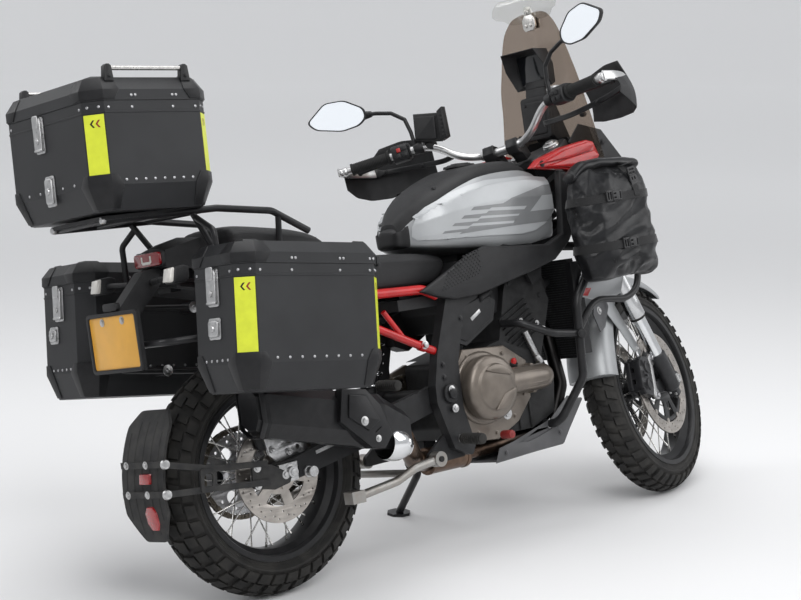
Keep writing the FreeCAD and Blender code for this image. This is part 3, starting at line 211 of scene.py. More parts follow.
def turns(count):
    """Angles spaced evenly round one turn."""
    return [2 * math.pi * i / count for i in range(count)]


def polar(x, z, radius, angle):
    """A point in x and z at an angle round a centre."""
    return x + radius * math.cos(angle), z + radius * math.sin(angle)


def skin(bm, sections, closed=False, ends=True):
    """Adds a skin through a row of cross sections with equal counts of points."""
    rows = [[bm.verts.new(p) for p in section] for section in sections]
    count = len(rows[0])
    for near, far in zip(rows, rows[1:]):
        for i in range(count if closed else count - 1):
            bm.faces.new((near[i], near[(i + 1) % count], far[(i + 1) % count], far[i]))
    if ends:
        bm.faces.new(rows[0][::-1])
        bm.faces.new(rows[-1])


def turned(bm, axle, profile, sides=96, closed=False):
    """Adds a turned shape about a cross axle, from (radius, y) points."""
    rings = []
    for radius, y in profile + (profile[:1] if closed else []):
        ring = [polar(axle[0], axle[2], radius, a) for a in turns(sides)]
        rings.append([(x, axle[1] + y, z) for x, z in ring])
    skin(bm, rings, closed=True, ends=False)


def piece(bm, name, stance, material, body, replaces=(), sharp=35, bevel=0.0, smooth=0):
    """Closes a mesh into a piece of the bike: sets it in place, gives it its finish and its body."""
    bmesh.ops.remove_doubles(bm, verts=bm.verts, dist=1e-4)
    bmesh.ops.recalc_face_normals(bm, faces=bm.faces)
    mesh = bpy.data.meshes.new(name)
    bm.to_mesh(mesh)
    bm.free()
    mesh.transform(stance)
    made = bpy.data.objects.new(name, mesh)
    scene.collection.objects.link(made)
    mesh.materials.append(material)
    mesh.shade_smooth()
    if bevel:
        rounded = made.modifiers.new("rounded edges", "BEVEL")
        rounded.width = bevel / 1000
        rounded.segments = 2
        rounded.limit_method = "ANGLE"
        rounded.angle_limit = math.radians(30)
    if smooth:
        finer = made.modifiers.new("smooth skin", "SUBSURF")
        finer.levels = smooth
        finer.render_levels = smooth
    if bevel or smooth:
        bpy.context.view_layer.update()
        graph = bpy.context.evaluated_depsgraph_get()
        final = bpy.data.meshes.new_from_object(made.evaluated_get(graph))
        made.modifiers.clear()
        made.data = final
        bpy.data.meshes.remove(mesh)
        mesh = final
        mesh.name = name
        mesh.shade_smooth()
    mesh.set_sharp_from_angle(angle=math.radians(sharp))
    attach(made, body)
    if replaces:
        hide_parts(*replaces)
    return made


rubber = finish("tyre rubber", (0.016, 0.0155, 0.015), 0.72, vary=0.25, patch=26, grain=1500, bump=0.25,
                second=(0.036, 0.034, 0.031), share=0.75)


def tyre(name, stance, body, axle, radius, width, seat, bead, pitches, pattern, node):
    """A tyre: turned carcass with ribs on its side walls, and tread blocks given as corners in a pitch."""
    half = width / 2
    rise = 0.79 * half
    crown = (half ** 2 + rise ** 2) / (2 * rise)
    edge = math.asin(min(1, half / crown))
    depth = 8.0
    bm = bmesh.new()
    right_side = [(seat, bead - 14), (seat, bead), (seat + 9, bead + 2)]
    shoulder = radius - rise
    right_side += [(seat + 12, bead + 1), (seat + 16, bead + 5.5), (seat + 19, bead + 4.6),
                   (shoulder - 13, half - 3.4), (shoulder - 11, half - 1.6), (shoulder - 7, half - 1.4),
                   (shoulder - 5, half - 2.6)]
    over = []
    for k in range(23):
        a = edge * 0.97 * (1 - 2 * k / 22)
        over.append((radius - crown + (crown - depth) * math.cos(a), (crown - depth) * math.sin(a)))
    inner = [(seat, 14 - bead), (shoulder - 6, 10 - half), (radius - 19, 0), (shoulder - 6, half - 10)]
    turned(bm, axle, right_side + over + [(r, -y) for r, y in reversed(right_side)] + inner, 144, closed=True)
    for i in range(pitches):
        for outline in pattern:
            corners = []
            for along, across in outline:
                corners.append(((i + along) * 2 * math.pi / pitches, across * edge))
            (a0, s0), (a1, s1), (a2, s2), (a3, s3) = corners
            cuts = 3
            grid = []
            for lift in (-depth - 1, 0):
                sheet = []
                for m in range(cuts + 1):
                    t = m / cuts
                    row = []
                    for (ax, sx), (bx, tx) in (((a0, s0), (a1, s1)), ((a3, s3), (a2, s2))):
                        angle = ax + (bx - ax) * t
                        slant = sx + (tx - sx) * t
                        r = radius - crown + (crown + lift) * math.cos(slant)
                        row.append(bm.verts.new((axle[0] + r * math.cos(angle),
                                                 axle[1] + (crown + lift) * math.sin(slant),
                                                 axle[2] + r * math.sin(angle))))
                    sheet.append(row)
                grid.append(sheet)
            low, top = grid
            for m in range(cuts):
                bm.faces.new((top[m][0], top[m + 1][0], top[m + 1][1], top[m][1]))
                bm.faces.new((low[m][0], top[m][0], top[m + 1][0], low[m + 1][0]))
                bm.faces.new((low[m][1], low[m + 1][1], top[m + 1][1], top[m][1]))
            bm.faces.new((low[0][0], low[0][1], top[0][1], top[0][0]))
            bm.faces.new((low[cuts][0], top[cuts][0], top[cuts][1], low[cuts][1]))
    return piece(bm, name, stance, rubber, body, [node], sharp=32)


# each block: four corners as (share of a pitch along the tread, share of the half width across it)
REAR_BLOCKS = [[(0.06, 0.05), (0.22, 0.34), (0.86, 0.34), (0.72, 0.05)],
               [(0.56, -0.05), (0.72, -0.34), (1.36, -0.34), (1.22, -0.05)],
               [(0.02, 0.40), (0.14, 0.66), (0.70, 0.66), (0.64, 0.40)],
               [(0.52, -0.40), (0.64, -0.66), (1.20, -0.66), (1.14, -0.40)],
               [(0.30, 0.71), (0.42, 0.97), (1.16, 0.97), (1.10, 0.71)],
               [(0.80, -0.71), (0.92, -0.97), (1.66, -0.97), (1.60, -0.71)]]
tyre("rear_tyre_rubber", UPRIGHT, "rear_wheel", REAR_AXLE, 321, 150, 222, 58, 40, REAR_BLOCKS, "rear_tyre")

# Front tyre: the same rubber, narrower, with diamond blocks that cross the crown
FRONT_BLOCKS = [[(0.02, 0.03), (0.30, 0.42), (0.84, 0.42), (0.60, 0.03)],
                [(0.52, -0.03), (0.80, -0.42), (1.34, -0.42), (1.10, -0.03)],
                [(0.10, 0.49), (0.42, 0.94), (0.98, 0.94), (0.66, 0.49)],
                [(0.60, -0.49), (0.92, -0.94), (1.48, -0.94), (1.16, -0.49)]]
tyre("front_tyre_rubber", STEERED, "front_wheel", FRONT_AXLE, 329, 110, 246, 47, 46, FRONT_BLOCKS,
     "front_tyre")


# Rear wheel: black spoked rim, cast hub, and stainless spokes laced in crossed pairs, each with a nipple
# screwed in at the rim. The spokes sit in the two hub flanges.
def lathe_on(bm, base, way, profile, sides=48):
    """A turned piece on any line: profile rows are (distance along it, radius)."""
    base, way = Vector(base), Vector(way).normalized()
    across = way.orthogonal().normalized()
    other = way.cross(across)
    rings = []
    for s, r in profile:
        rings.append([base + way * s + (across * math.cos(a) + other * math.sin(a)) * r
                      for a in turns(sides)])
    skin(bm, rings, closed=True)


def rod(bm, a, b, radius, end_radius=None, sides=14):
    """Adds a round bar between two points, straight or tapered."""
    way = Vector(b) - Vector(a)
    lathe_on(bm, a, way, [(0, radius), (way.length, radius if end_radius is None else end_radius)], sides)


satin_black = finish("satin black coat", (0.014, 0.014, 0.015), 0.34, vary=0.2, patch=40, grain=1600,
                     bump=0.06)
stainless = finish("stainless steel", (0.58, 0.57, 0.55), 0.26, metal=1.0, vary=0.1, patch=90, grain=2200,
                   bump=0.05)
cast_grey = finish("cast alloy", (0.30, 0.30, 0.31), 0.45, metal=0.9, vary=0.12, patch=70, grain=1400,
                   bump=0.2)


def spoked_wheel(label, stance, body, axle, seat, bead, hub_r, hub_w, count, cross, node, hub_finish):
    """Rim, hub and spokes of one wheel, in the three metals that they are made of."""
    rim = bmesh.new()
    half = [(seat + 8.5, bead + 4), (seat + 9, bead + 1.5), (seat + 7.5, bead - 0.5), (seat, bead - 2),
            (seat, bead - 15), (seat - 12, bead - 26), (seat - 20, 22)]
    under = [(seat - 28, 20), (seat - 24, bead - 24), (seat - 9, bead - 11), (seat - 7, bead + 1),
             (seat - 5, bead + 4)]
    turned(rim, axle, half + [(r, -y) for r, y in reversed(half)] + [(r, -y) for r, y in reversed(under)]
           + under, 144, closed=True)
    piece(rim, label + "_rim", stance, satin_black, body, [node], sharp=30)
    hub = bmesh.new()
    flange = hub_w / 2
    side = [(10.3, flange + 6), (hub_r - 13, flange + 6), (hub_r - 11, flange + 5), (hub_r - 6, flange + 3.6),
            (hub_r + 7, flange + 1), (hub_r + 8, flange - 1), (hub_r + 8, flange - 4),
            (hub_r + 6, flange - 6), (hub_r - 7, flange - 10), (hub_r - 11, flange - 20), (hub_r - 13, 0)]
    turned(hub, axle, side + [(r, -y) for r, y in reversed(side[:-1])], 64, closed=True)
    for a in turns(8):
        x, z = polar(axle[0], axle[2], hub_r - 14, a)
        for y in (flange - 26, 26 - flange):
            rod(hub, (x, y - 4, z), (x, y + 4, z), 6, sides=8)
    piece(hub, label + "_hub", stance, hub_finish, body, [node], sharp=30)
    lacing = bmesh.new()
    for i in range(count):
        out = 1 if i % 2 else -1
        lead = cross if i % 4 < 2 else -cross
        at_rim = math.radians(360.0 * (i + 0.5) / count)
        at_hub = at_rim + math.radians(lead)
        y_hub = out * (flange - 2 + (2.2 if i % 4 < 2 else -2.6))
        (x, z), (x_rim, z_rim) = polar(axle[0], axle[2], hub_r,
                                       at_hub), polar(axle[0], axle[2], seat - 25, at_rim)
        inner, outer = Vector((x, y_hub, z)), Vector((x_rim, out * 9, z_rim))
        run = (outer - inner).normalized()
        rod(lacing, inner, outer, 2.0, sides=8)
        rod(lacing, outer - run * 16, outer + run * 3, 3.4, sides=6)
        rod(lacing, inner - Vector((0, out * 3.6, 0)), inner + Vector((0, out * 3.6, 0)), 3.4, sides=8)
    piece(lacing, label + "_spokes", stance, stainless, body, [node], sharp=40)


spoked_wheel("rear_wheel", UPRIGHT, "rear_wheel", REAR_AXLE, 222, 58, 44, 120, 36, 24, "rear_wheel",
             cast_grey)

# Front wheel: the same make, larger and narrower
spoked_wheel("front_wheel", STEERED, "front_wheel", FRONT_AXLE, 246, 47, 36, 108, 36, 22, "front_wheel",
             satin_black)


# Rear brake disc: ground steel with a heat-browned track, two rows of drilled holes and six large windows,
# bolted to its carrier on the hub
def cut_sheet(bm, outlines, low, high, frame_of=None, edge=0.0):
    """Adds a flat plate with holes from closed outlines in x and z, between two depths in y."""
    drawing = bpy.data.curves.new("outline", "CURVE")
    drawing.dimensions = "2D"
    drawing.fill_mode = "BOTH"
    drawing.extrude = (high - low) / 2 - edge
    drawing.bevel_depth = edge
    drawing.bevel_resolution = 1
    for outline in outlines:
        spline = drawing.splines.new("POLY")
        spline.points.add(len(outline) - 1)
        for point, (x, z) in zip(spline.points, outline):
            point.co = (x, z, 0, 1)
        spline.use_cyclic_u = True
    holder = bpy.data.objects.new("outline", drawing)
    flat = bpy.data.meshes.new_from_object(holder)
    bpy.data.objects.remove(holder)
    bpy.data.curves.remove(drawing)
    flat.transform(Matrix.Translation((0, (low + high) / 2, 0)) @ Matrix.Rotation(math.pi / 2, 4, "X"))
    if frame_of is not None:
        flat.transform(frame_of)
    bm.from_mesh(flat)
    bpy.data.meshes.remove(flat)


def circle(x, z, radius, count=32):
    """A circle as a closed outline in x and z."""
    return [polar(x, z, radius, a) for a in turns(count)]


def window(x, z, r_in, r_out, middle, spread, count=7):
    """A rounded window between two radii of a disc."""
    points = []
    for k in range(count):
        a = middle - spread + 2 * spread * k / (count - 1)
        points.append(polar(x, z, r_out, a))
    for k in range(count):
        a = middle + spread * 0.8 - 1.6 * spread * k / (count - 1)
        points.append(polar(x, z, r_in, a))
    return points


disc_steel = finish("ground disc steel", (0.42, 0.39, 0.36), 0.32, metal=1.0, vary=0.14, patch=30, grain=2600,
                    bump=0.08)
dark_bolt = finish("bolt steel", (0.46, 0.46, 0.47), 0.3, metal=1.0, vary=0.12, patch=200, grain=2000,
                   bump=0.05)


def drilled(x, z, radii, count, hole):
    """A ring of small holes whose radii step round and round."""
    return [circle(*polar(x, z, radii[k % 3], 2 * math.pi * k / count), hole, 10) for k in range(count)]


def pegs(bm, x, z, reach, start, count, y0, y1, radius, sides):
    """Short bars across the wheel, spaced evenly round its centre from a start angle in degrees."""
    for a in turns(count):
        at_x, at_z = polar(x, z, reach, a + math.radians(start))
        rod(bm, (at_x, y0, at_z), (at_x, y1, at_z), radius, sides=sides)


bm = bmesh.new()
outlines = [circle(0, 321, 130, 120), circle(0, 321, 33, 48)]
outlines += [window(0, 321, 56, 88, math.radians(60 * k + 15), math.radians(20)) for k in range(6)]
cut_sheet(bm, outlines + drilled(0, 321, (102, 114, 121), 48, 3.1), -84, -79, edge=0.5)
turned(bm, REAR_AXLE, [(33, -79), (48, -79), (48, -66.3), (33, -66.3)], 48, closed=True)
pegs(bm, 0, 321, 42, -15, 6, -84, -88, 6, 6)
piece(bm, "rear_disc", UPRIGHT, disc_steel, "rear_wheel", ["rear_brake_disc"], sharp=30)

# Front brake discs: a braking ring with three rows of holes on a black carrier of ten arms, held by bobbins
for y_low, label in ((-70, "right"), (65, "left")):
    x, z = FRONT_AXLE.x, FRONT_AXLE.z
    bm = bmesh.new()
    cut_sheet(bm, [circle(x, z, 160, 140), circle(x, z, 126, 120)] + drilled(x, z, (133, 143, 152), 60, 3.0),
              y_low, y_low + 5, edge=0.4)
    pegs(bm, x, z, 121, 8, 10, y_low - 1, y_low + 6, 8, 16)
    piece(bm, "front_disc_" + label, STEERED, disc_steel, "front_wheel", ["front_brake_discs"],
          sharp=30)
    bm = bmesh.new()
    outlines = [circle(x, z, 121, 120), circle(x, z, 24, 32)]
    outlines += [window(x, z, 62, 110, math.radians(36 * k + 26), math.radians(11.5)) for k in range(10)]
    cut_sheet(bm, outlines, y_low + 0.4, y_low + 4.6, edge=0.4)
    inner = sorted((y_low + 2.5, math.copysign(60.2, y_low)))
    turned(bm, FRONT_AXLE, [(26, inner[0]), (40, inner[0]), (40, inner[1]), (26, inner[1])], 40, closed=True)
    piece(bm, "front_disc_carrier_" + label, STEERED, satin_black, "front_wheel",
          ["front_brake_discs"], sharp=30)

# Rear sprocket: a toothed steel ring with lightening holes, bolted to its carrier. The teeth stop just short
# of the chain's rollers, which keep their places when the wheel turns.
CHAIN_PITCH, TEETH = 15.875, 46
root = CHAIN_PITCH / 2 / math.sin(math.pi / TEETH)
teeth = []
for i in range(TEETH):
    for share, depth in ((-0.34, 10.4), (-0.2, 8), (-0.1, 5.9), (0.1, 5.9), (0.2, 8), (0.34, 10.4)):
        teeth.append(polar(0, 321, root - depth, 2 * math.pi * (i + share) / TEETH))
outlines = [teeth, circle(0, 321, 33, 40)] + [circle(*polar(0, 321, 66, a), 17) for a in turns(6)]
outlines += [circle(*polar(0, 321, 92, a + math.pi / 12), 5, 14) for a in turns(12)]
bm = bmesh.new()
cut_sheet(bm, outlines, 88, 94, edge=0.5)
turned(bm, REAR_AXLE, [(33, 66.3), (50, 66.3), (50, 88), (33, 88)], 48, closed=True)
pegs(bm, 0, 321, 44, 30, 6, 94, 99, 7, 6)
piece(bm, "rear_sprocket_ring", UPRIGHT, dark_bolt, "rear_wheel", ["rear_sprocket"], sharp=30)


# Swingarm: a black box-section arm on each side of the wheel, with a bright grip-tape like wear strip and
# weld beads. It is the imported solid, given its coat, with its fittings set on it.
def dress(material, *names):
    """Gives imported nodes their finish."""
    for name in names:
        for slot_of in nodes[name].material_slots:
            slot_of.material = material


def bolt(bm, at, axis, radius=6.0, head=4.5, sides=6, washer=True):
    """Adds a bolt head with a washer and a hollow socket on a surface, standing along axis."""
    at, axis = Vector(at), Vector(axis).normalized()
    if washer:
        rod(bm, at - axis * 0.5, at + axis * 1.0, radius * 1.55, sides=20)
    rod(bm, at, at + axis * head, radius * 1.08, radius, sides=sides)
    rod(bm, at + axis * head, at + axis * (head + 0.5), radius * 0.8, radius * 0.6, sides=sides)


def box(bm, low, high, taper=0.0, frame_of=None):
    """Adds a box between two corners; taper draws its outer y face in by that much."""
    (x0, y0, z0), (x1, y1, z1) = low, high
    corners = [(x0, y0, z0), (x1, y0, z0), (x1, y0, z1), (x0, y0, z1), (x0 + taper, y1, z0 + taper),
               (x1 - taper, y1, z0 + taper), (x1 - taper, y1, z1 - taper), (x0 + taper, y1, z1 - taper)]
    made = [bm.verts.new(frame_of @ Vector(c) if frame_of is not None else c) for c in corners]
    for face in ((0, 1, 2, 3), (7, 6, 5, 4), (0, 4, 5, 1), (1, 5, 6, 2), (2, 6, 7, 3), (3, 7, 4, 0)):
        bm.faces.new([made[i] for i in face])


def side_sheet(bm, outlines, side, near, far, **more):
    """A flat plate on one side of the bike, between two distances from its middle."""
    cut_sheet(bm, outlines, *sorted((side * near, side * far)), **more)


def tipped(point, degrees):
    """A turn about a cross line through a point, front end down."""
    there, back = Matrix.Translation(point), Matrix.Translation(-Vector(point))
    return there @ Matrix.Rotation(math.radians(degrees), 4, "Y") @ back


rough_black = finish("textured black coat", (0.017, 0.017, 0.018), 0.5, vary=0.25, patch=30, grain=1900,
                     bump=0.25)
dress(rough_black, "swingarm")
worn_alloy = finish("worn alloy", (0.50, 0.50, 0.50), 0.34, metal=0.95, vary=0.18, patch=120, grain=1800,
                    bump=0.12)
bm = bmesh.new()
for side in (-1, 1):
    # adjuster block with its edge scale and bolt, axle nut and washer, and the spool for a paddock stand
    side_sheet(bm, [[(-33, 296), (24, 299), (26, 346), (-31, 343)], circle(0, 321, 9, 24)], side, 132.2,
               138.4, edge=0.7)
    for x, z, y0, y1, r0, r1, sides in ((0, 321, 138, 141, 21, 21, 32), (0, 321, 141, 153, 15.5, 15.5, 6),
                                        (0, 321, 153, 156, 10, 9, 24), (62, 312, 132, 137, 15, 15, 32),
                                        (62, 312, 137, 152, 10.5, 10.5, 32), (62, 312, 152, 158, 15, 14, 32)):
        rod(bm, (x, side * y0, z), (x, side * y1, z), r0, r1, sides=sides)
    for x0, z0, x1, z1, r, sides in ((26, 324, 62, 327, 4.2, 12), (40, 325, 47, 325.6, 8, 6),
                                     (56, 326.4, 64, 327, 7, 6)):
        rod(bm, (x0, side * 122, z0), (x1, side * 122, z1), r, sides=sides)
    for k in range(9):
        x = -26 + 5.5 * k
        y = sorted((side * 138.2, side * 138.9))
        box(bm, (x, y[0], 339), (x + 1, y[1], 343))
piece(bm, "axle_blocks", UPRIGHT, worn_alloy, "chassis", sharp=30, bevel=0.5)
dress(worn_alloy, "rear_axle")
bm = bmesh.new()
box(bm, (96, -133.4, 352), (262, -132.2, 361), frame_of=tipped((96, 0, 352), -11))
piece(bm, "arm_wear_strip", UPRIGHT, worn_alloy, "chassis", sharp=30)

# Drive chain: steel plates and rollers, dark with oil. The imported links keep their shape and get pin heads.
oily_steel = finish("oiled chain steel", (0.17, 0.15, 0.125), 0.34, metal=0.95, vary=0.35, patch=160,
                    grain=1500, bump=0.2, second=(0.30, 0.27, 0.22), share=0.8)
dress(oily_steel, "drive_chain")
FRONT_SPROCKET = Vector((640, 0, 452))
REAR_PIN_R, FRONT_PIN_R, CHAIN_Y = 116.3, 43.2, 91.0
gap = FRONT_SPROCKET - REAR_AXLE
tilt = math.atan2(gap.z, gap.x)
splay = math.acos((REAR_PIN_R - FRONT_PIN_R) / gap.length)
run = math.sqrt(gap.length ** 2 - (REAR_PIN_R - FRONT_PIN_R) ** 2)
turn_front, turn_rear = FRONT_PIN_R * 2 * splay, REAR_PIN_R * 2 * (math.pi - splay)
whole = 2 * run + turn_front + turn_rear
link_count = 2 * round(whole / CHAIN_PITCH / 2)


def chain_pin(i):
    """Centre of one chain pin in x and z, counted round both sprockets."""
    s = whole * i / link_count
    if s < turn_front:
        a = tilt + splay - s / FRONT_PIN_R
        return polar(FRONT_SPROCKET.x, FRONT_SPROCKET.z, FRONT_PIN_R, a)
    s -= turn_front
    if run <= s < run + turn_rear:
        a = tilt - splay - (s - run) / REAR_PIN_R
        return polar(REAR_AXLE.x, REAR_AXLE.z, REAR_PIN_R, a)
    a, share = (tilt - splay, s / run) if s < run else (tilt + splay, 1 - (s - run - turn_rear) / run)
    near = FRONT_SPROCKET + FRONT_PIN_R * Vector((math.cos(a), 0, math.sin(a)))
    far = REAR_AXLE + REAR_PIN_R * Vector((math.cos(a), 0, math.sin(a)))
    at = near.lerp(far, share)
    return at.x, at.z


bm = bmesh.new()
for i in range(link_count):
    x, z = chain_pin(i)
    rod(bm, (x, CHAIN_Y - 10.4, z), (x, CHAIN_Y + 10.4, z), 2.6, sides=10)
piece(bm, "chain_pins", UPRIGHT, oily_steel, "chassis", sharp=40)

# Rear brake caliper: black two-part casting on a bright bracket that hangs from the axle, with slide pins
black_cast = finish("black casting", (0.016, 0.016, 0.017), 0.46, vary=0.25, patch=60, grain=1200, bump=0.35)
bm = bmesh.new()
cut_sheet(bm, [[(-36, 372), (-14, 352), (40, 352), (92, 352), (96, 362), (52, 438), (-6, 470), (-30, 470),
                (-52, 450)], circle(34, 402, 11, 20), circle(58, 380, 7, 16)], -108, -100, edge=1.2)
for x, z in ((-26, 384), (26, 370), (70, 362)):
    rod(bm, (x, -113, z), (x, -100, z), 9, 10.5, sides=24)
    bolt(bm, (x, -113, z), (0, -1, 0), 5.5)
piece(bm, "rear_caliper_bracket", UPRIGHT, worn_alloy, "chassis", ["rear_caliper"],
      sharp=30, bevel=0.6)
bm = bmesh.new()
cut_sheet(bm, [[(-58, 392), (-30, 384), (20, 382), (34, 420), (24, 458), (8, 470), (-40, 474), (-66, 456),
                (-70, 440)]], -100, -88, edge=3)
cut_sheet(bm, [[(-50, 400), (14, 396), (24, 430), (8, 462), (-36, 468), (-58, 436)]], -75, -58, edge=3)
box(bm, (-40, -99, 457), (6, -58, 474))
rod(bm, (-20, -106, 424), (-20, -98, 424), 21, 22, sides=32)
for x, z in ((-52, 452), (14, 452)):
    rod(bm, (x, -104, z), (x, -58, z), 7, sides=16)
    bolt(bm, (x, -104, z), (0, -1, 0), 5)
rod(bm, (-44, -96, 470), (-52, -96, 484), 4.5, 3.2, sides=12)
piece(bm, "rear_caliper_body", UPRIGHT, black_cast, "chassis", ["rear_caliper"], sharp=35,
      bevel=1.6)

# Rear shock: black damper body and a chromed coil spring between two seats, with its eyes at both ends
SHOCK_LOW, SHOCK_TOP = Vector((392, 0, 430)), Vector((468, 0, 700))


def coil(bm, low, top, radius, wire, count, sides=12, steps=26):
    """Adds a helical spring between two points."""
    along = (top - low).normalized()
    across = along.orthogonal().normalized()
    other = along.cross(across)
    rings = []
    for k in range(int(count * steps) + 1):
        a = 2 * math.pi * k / steps
        share = k / int(count * steps)
        share += 0.02 * math.sin(2 * math.pi * share)
        out = across * math.cos(a) + other * math.sin(a)
        at = low.lerp(top, share) + out * radius
        rings.append([at + out * wire * math.cos(t) + along * wire * math.sin(t) for t in turns(sides)])
    skin(bm, rings, closed=True)


def on_shock(share):
    """A point on the shock's own line."""
    return SHOCK_LOW.lerp(SHOCK_TOP, share)


chrome = finish("chrome plate", (0.72, 0.73, 0.74), 0.12, metal=1.0, vary=0.05, patch=20, grain=500,
                bump=0.02, rough_vary=0.03)
bm = bmesh.new()
coil(bm, on_shock(0.15), on_shock(0.86), 29.5, 5.5, 6.5)
piece(bm, "shock_spring", UPRIGHT, chrome, "chassis", ["rear_shock"], sharp=60)
bm = bmesh.new()
for low, high, r0, r1, sides in ((0.04, 0.60, 22, 22, 32), (0.60, 0.93, 9, 9, 24), (0.086, 0.12, 38, 38, 40),
                                 (0.12, 0.15, 38, 27, 40), (0.86, 0.895, 30, 38, 40),
                                 (0.78, 0.86, 20, 24, 32)):
    rod(bm, on_shock(low), on_shock(high), r0, r1, sides=sides)
rod(bm, (466, -24, 694), (466, 24, 694), 14, sides=28)
box(bm, (376, -26, 441), (410, 26, 452))
piece(bm, "shock_body", UPRIGHT, satin_black, "chassis", ["rear_shock"], sharp=30, bevel=0.8)


# Frame: black steel spars and pivot plates, with their bolts, and the red tubes that carry the seat
red_enamel = finish("red enamel", (0.40, 0.004, 0.005), 0.34, vary=0.15, patch=35, grain=700, bump=0.03,
                    coat=0.2)
dress(rough_black, "main_frame", "stand_bracket")
dress(red_enamel, "rear_subframe")
bm = bmesh.new()
for side in (-1, 1):
    rod(bm, (553, side * 172, 442), (553, side * 176, 442), 27, 25, sides=40)
    bolt(bm, (553, side * 176, 442), (0, side, 0), 15, 8, washer=False)
    for x, z, r in ((542, 522, 6.5), (541, 487, 6.5), (557, 396, 7)):
        bolt(bm, (x, side * 165.6, z), (0, side, 0), r, 5)
    for x, z in ((606, 700), (630, 640)):
        bolt(bm, (x, side * 165.6, z), (0, side, 0), 6, 4)
piece(bm, "frame_bolts", UPRIGHT, satin_black, "chassis", sharp=30, bevel=0.5)
bm = bmesh.new()
for side in (-1, 1):
    rod(bm, (493, side * 160, 584), (493, side * 163, 584), 12, sides=28)
    bolt(bm, (493, side * 162, 584), (0, side, 0), 8.5, 7, washer=False)
    bolt(bm, (545, side * 161, 728), (0, side, 0), 7, 6)
piece(bm, "subframe_bolts", UPRIGHT, worn_alloy, "chassis", sharp=30, bevel=0.5)
bm = bmesh.new()
for side in (-1, 1):
    rod(bm, (430, side * 150, 612), (372, side * 150, 690), 7.5, sides=20)
    rod(bm, (482, side * 150, 585), (500, side * 150, 578), 14, 14, sides=28)
    rod(bm, (300, side * 150, 668), (304, side * 150, 742), 7, sides=20)
piece(bm, "subframe_braces", UPRIGHT, red_enamel, "chassis", sharp=35)

# Engine: cast black crankcase and cylinders, with ribs, head bolts and spark plug caps
black_case = finish("sand-cast black", (0.018, 0.018, 0.0185), 0.55, vary=0.3, patch=45, grain=1100, bump=0.5)
dress(black_case, "engine")
bm = bmesh.new()
lean_of_bores = math.atan2(200, -90)
up_bore = Vector((math.cos(lean_of_bores), 0, math.sin(lean_of_bores)))
along_bore = Vector((up_bore.z, 0, -up_bore.x))
for side in (-1, 1):
    for k in range(7):
        at = Vector((905, 0, 560)) + up_bore * (-12 + 17 * k)
        a = at - along_bore * 62
        b = at + along_bore * 58
        y = side * 121
        spine = [bm.verts.new(p + Vector((0, side * w, 0)) + up_bore * h) for p, w,
                 h in ((a, 119, -2), (a, 119, 2), (b, 119, 2), (b, 119, -2), (a, 128, -1), (a, 128, 1),
                       (b, 128, 1), (b, 128, -1))]
        for face in ((4, 5, 6, 7), (0, 4, 7, 3), (1, 2, 6, 5), (0, 1, 5, 4), (3, 7, 6, 2)):
            bm.faces.new([spine[i] for i in face])
    for x, z in ((872, 716), (986, 668), (842, 548), (948, 500), (826, 610)):
        bolt(bm, (x, side * 119.5, z), (0, side, 0), 6.5, 5)
for y in (-52, 52):
    rod(bm, (930, y, 742), (912, y, 786), 17, 15, sides=28)
    rod(bm, (912, y, 786), (900, y, 800), 12, 8, sides=24)
for y in range(-80, 81, 20):
    bolt(bm, (1034, y, 700), (0.85, 0, 0.5), 4.5, 4)
for k in range(5):
    rod(bm, (700 + 44 * k, -132, 300), (700 + 44 * k, -128, 540 - 9 * k), 3, sides=8)
rod(bm, (821, -140, 478), (821, -150, 492), 15, 13, sides=28)
piece(bm, "engine_ribs", UPRIGHT, black_case, "chassis", sharp=35, bevel=0.6)
bm = bmesh.new()
rod(bm, (820, -146, 484), (822, -152, 500), 9.5, 8.5, sides=12)
rod(bm, (822, -152, 500), (822, -153, 504), 6, 4, sides=12)
piece(bm, "oil_cap", UPRIGHT, red_enamel, "chassis", sharp=30, bevel=0.7)
bm = bmesh.new()
rod(bm, (898, -132, 572), (926, -134, 500), 9, 10, sides=24)
rod(bm, (926, -134, 500), (938, -132, 478), 10, 14, sides=24)
bolt(bm, (753, -168, 356), (0, -1, 0), 11, 6)
for x, z in ((900, 604), (962, 590)):
    bolt(bm, (x, -121, z), (0, -1, 0), 5, 5)
piece(bm, "engine_fittings", UPRIGHT, worn_alloy, "chassis", sharp=30, bevel=0.6)

# Engine side covers: die castings painted bronze grey. Right, the clutch cover with its domed cap and the
# starter housing in front of it; left, the generator cover. Each is screwed on round its edge.
bronze = finish("bronze grey paint", (0.150, 0.128, 0.108), 0.36, metal=0.55, vary=0.12, patch=30, grain=2400,
                bump=0.1, coat=0.15)
CLUTCH = Vector((690, 0, 438))
bm = bmesh.new()
turned(bm, CLUTCH, [(0.1, -215.5), (30, -215), (54, -213.5), (62, -211), (66, -206), (70, -204.6), (79, -203),
                    (86, -199), (90, -193), (91, -186), (91, -166), (88, -163), (84, -163), (84, -157),
                    (97, -157), (101, -154), (103, -150), (103, -128)], 128)
case_edge = [(598, 486), (603, 372), (636, 300), (728, 292), (812, 330), (868, 388), (868, 490), (792, 540),
             (640, 548)]
cut_sheet(bm, [case_edge], -148, -128, edge=5)
for x, z in ((612, 500), (616, 380), (652, 316), (722, 306), (800, 342), (846, 398), (782, 524), (700, 536),
             (648, 530)):
    bolt(bm, (x, -147.5, z), (0, -1, 0), 5.2, 5)


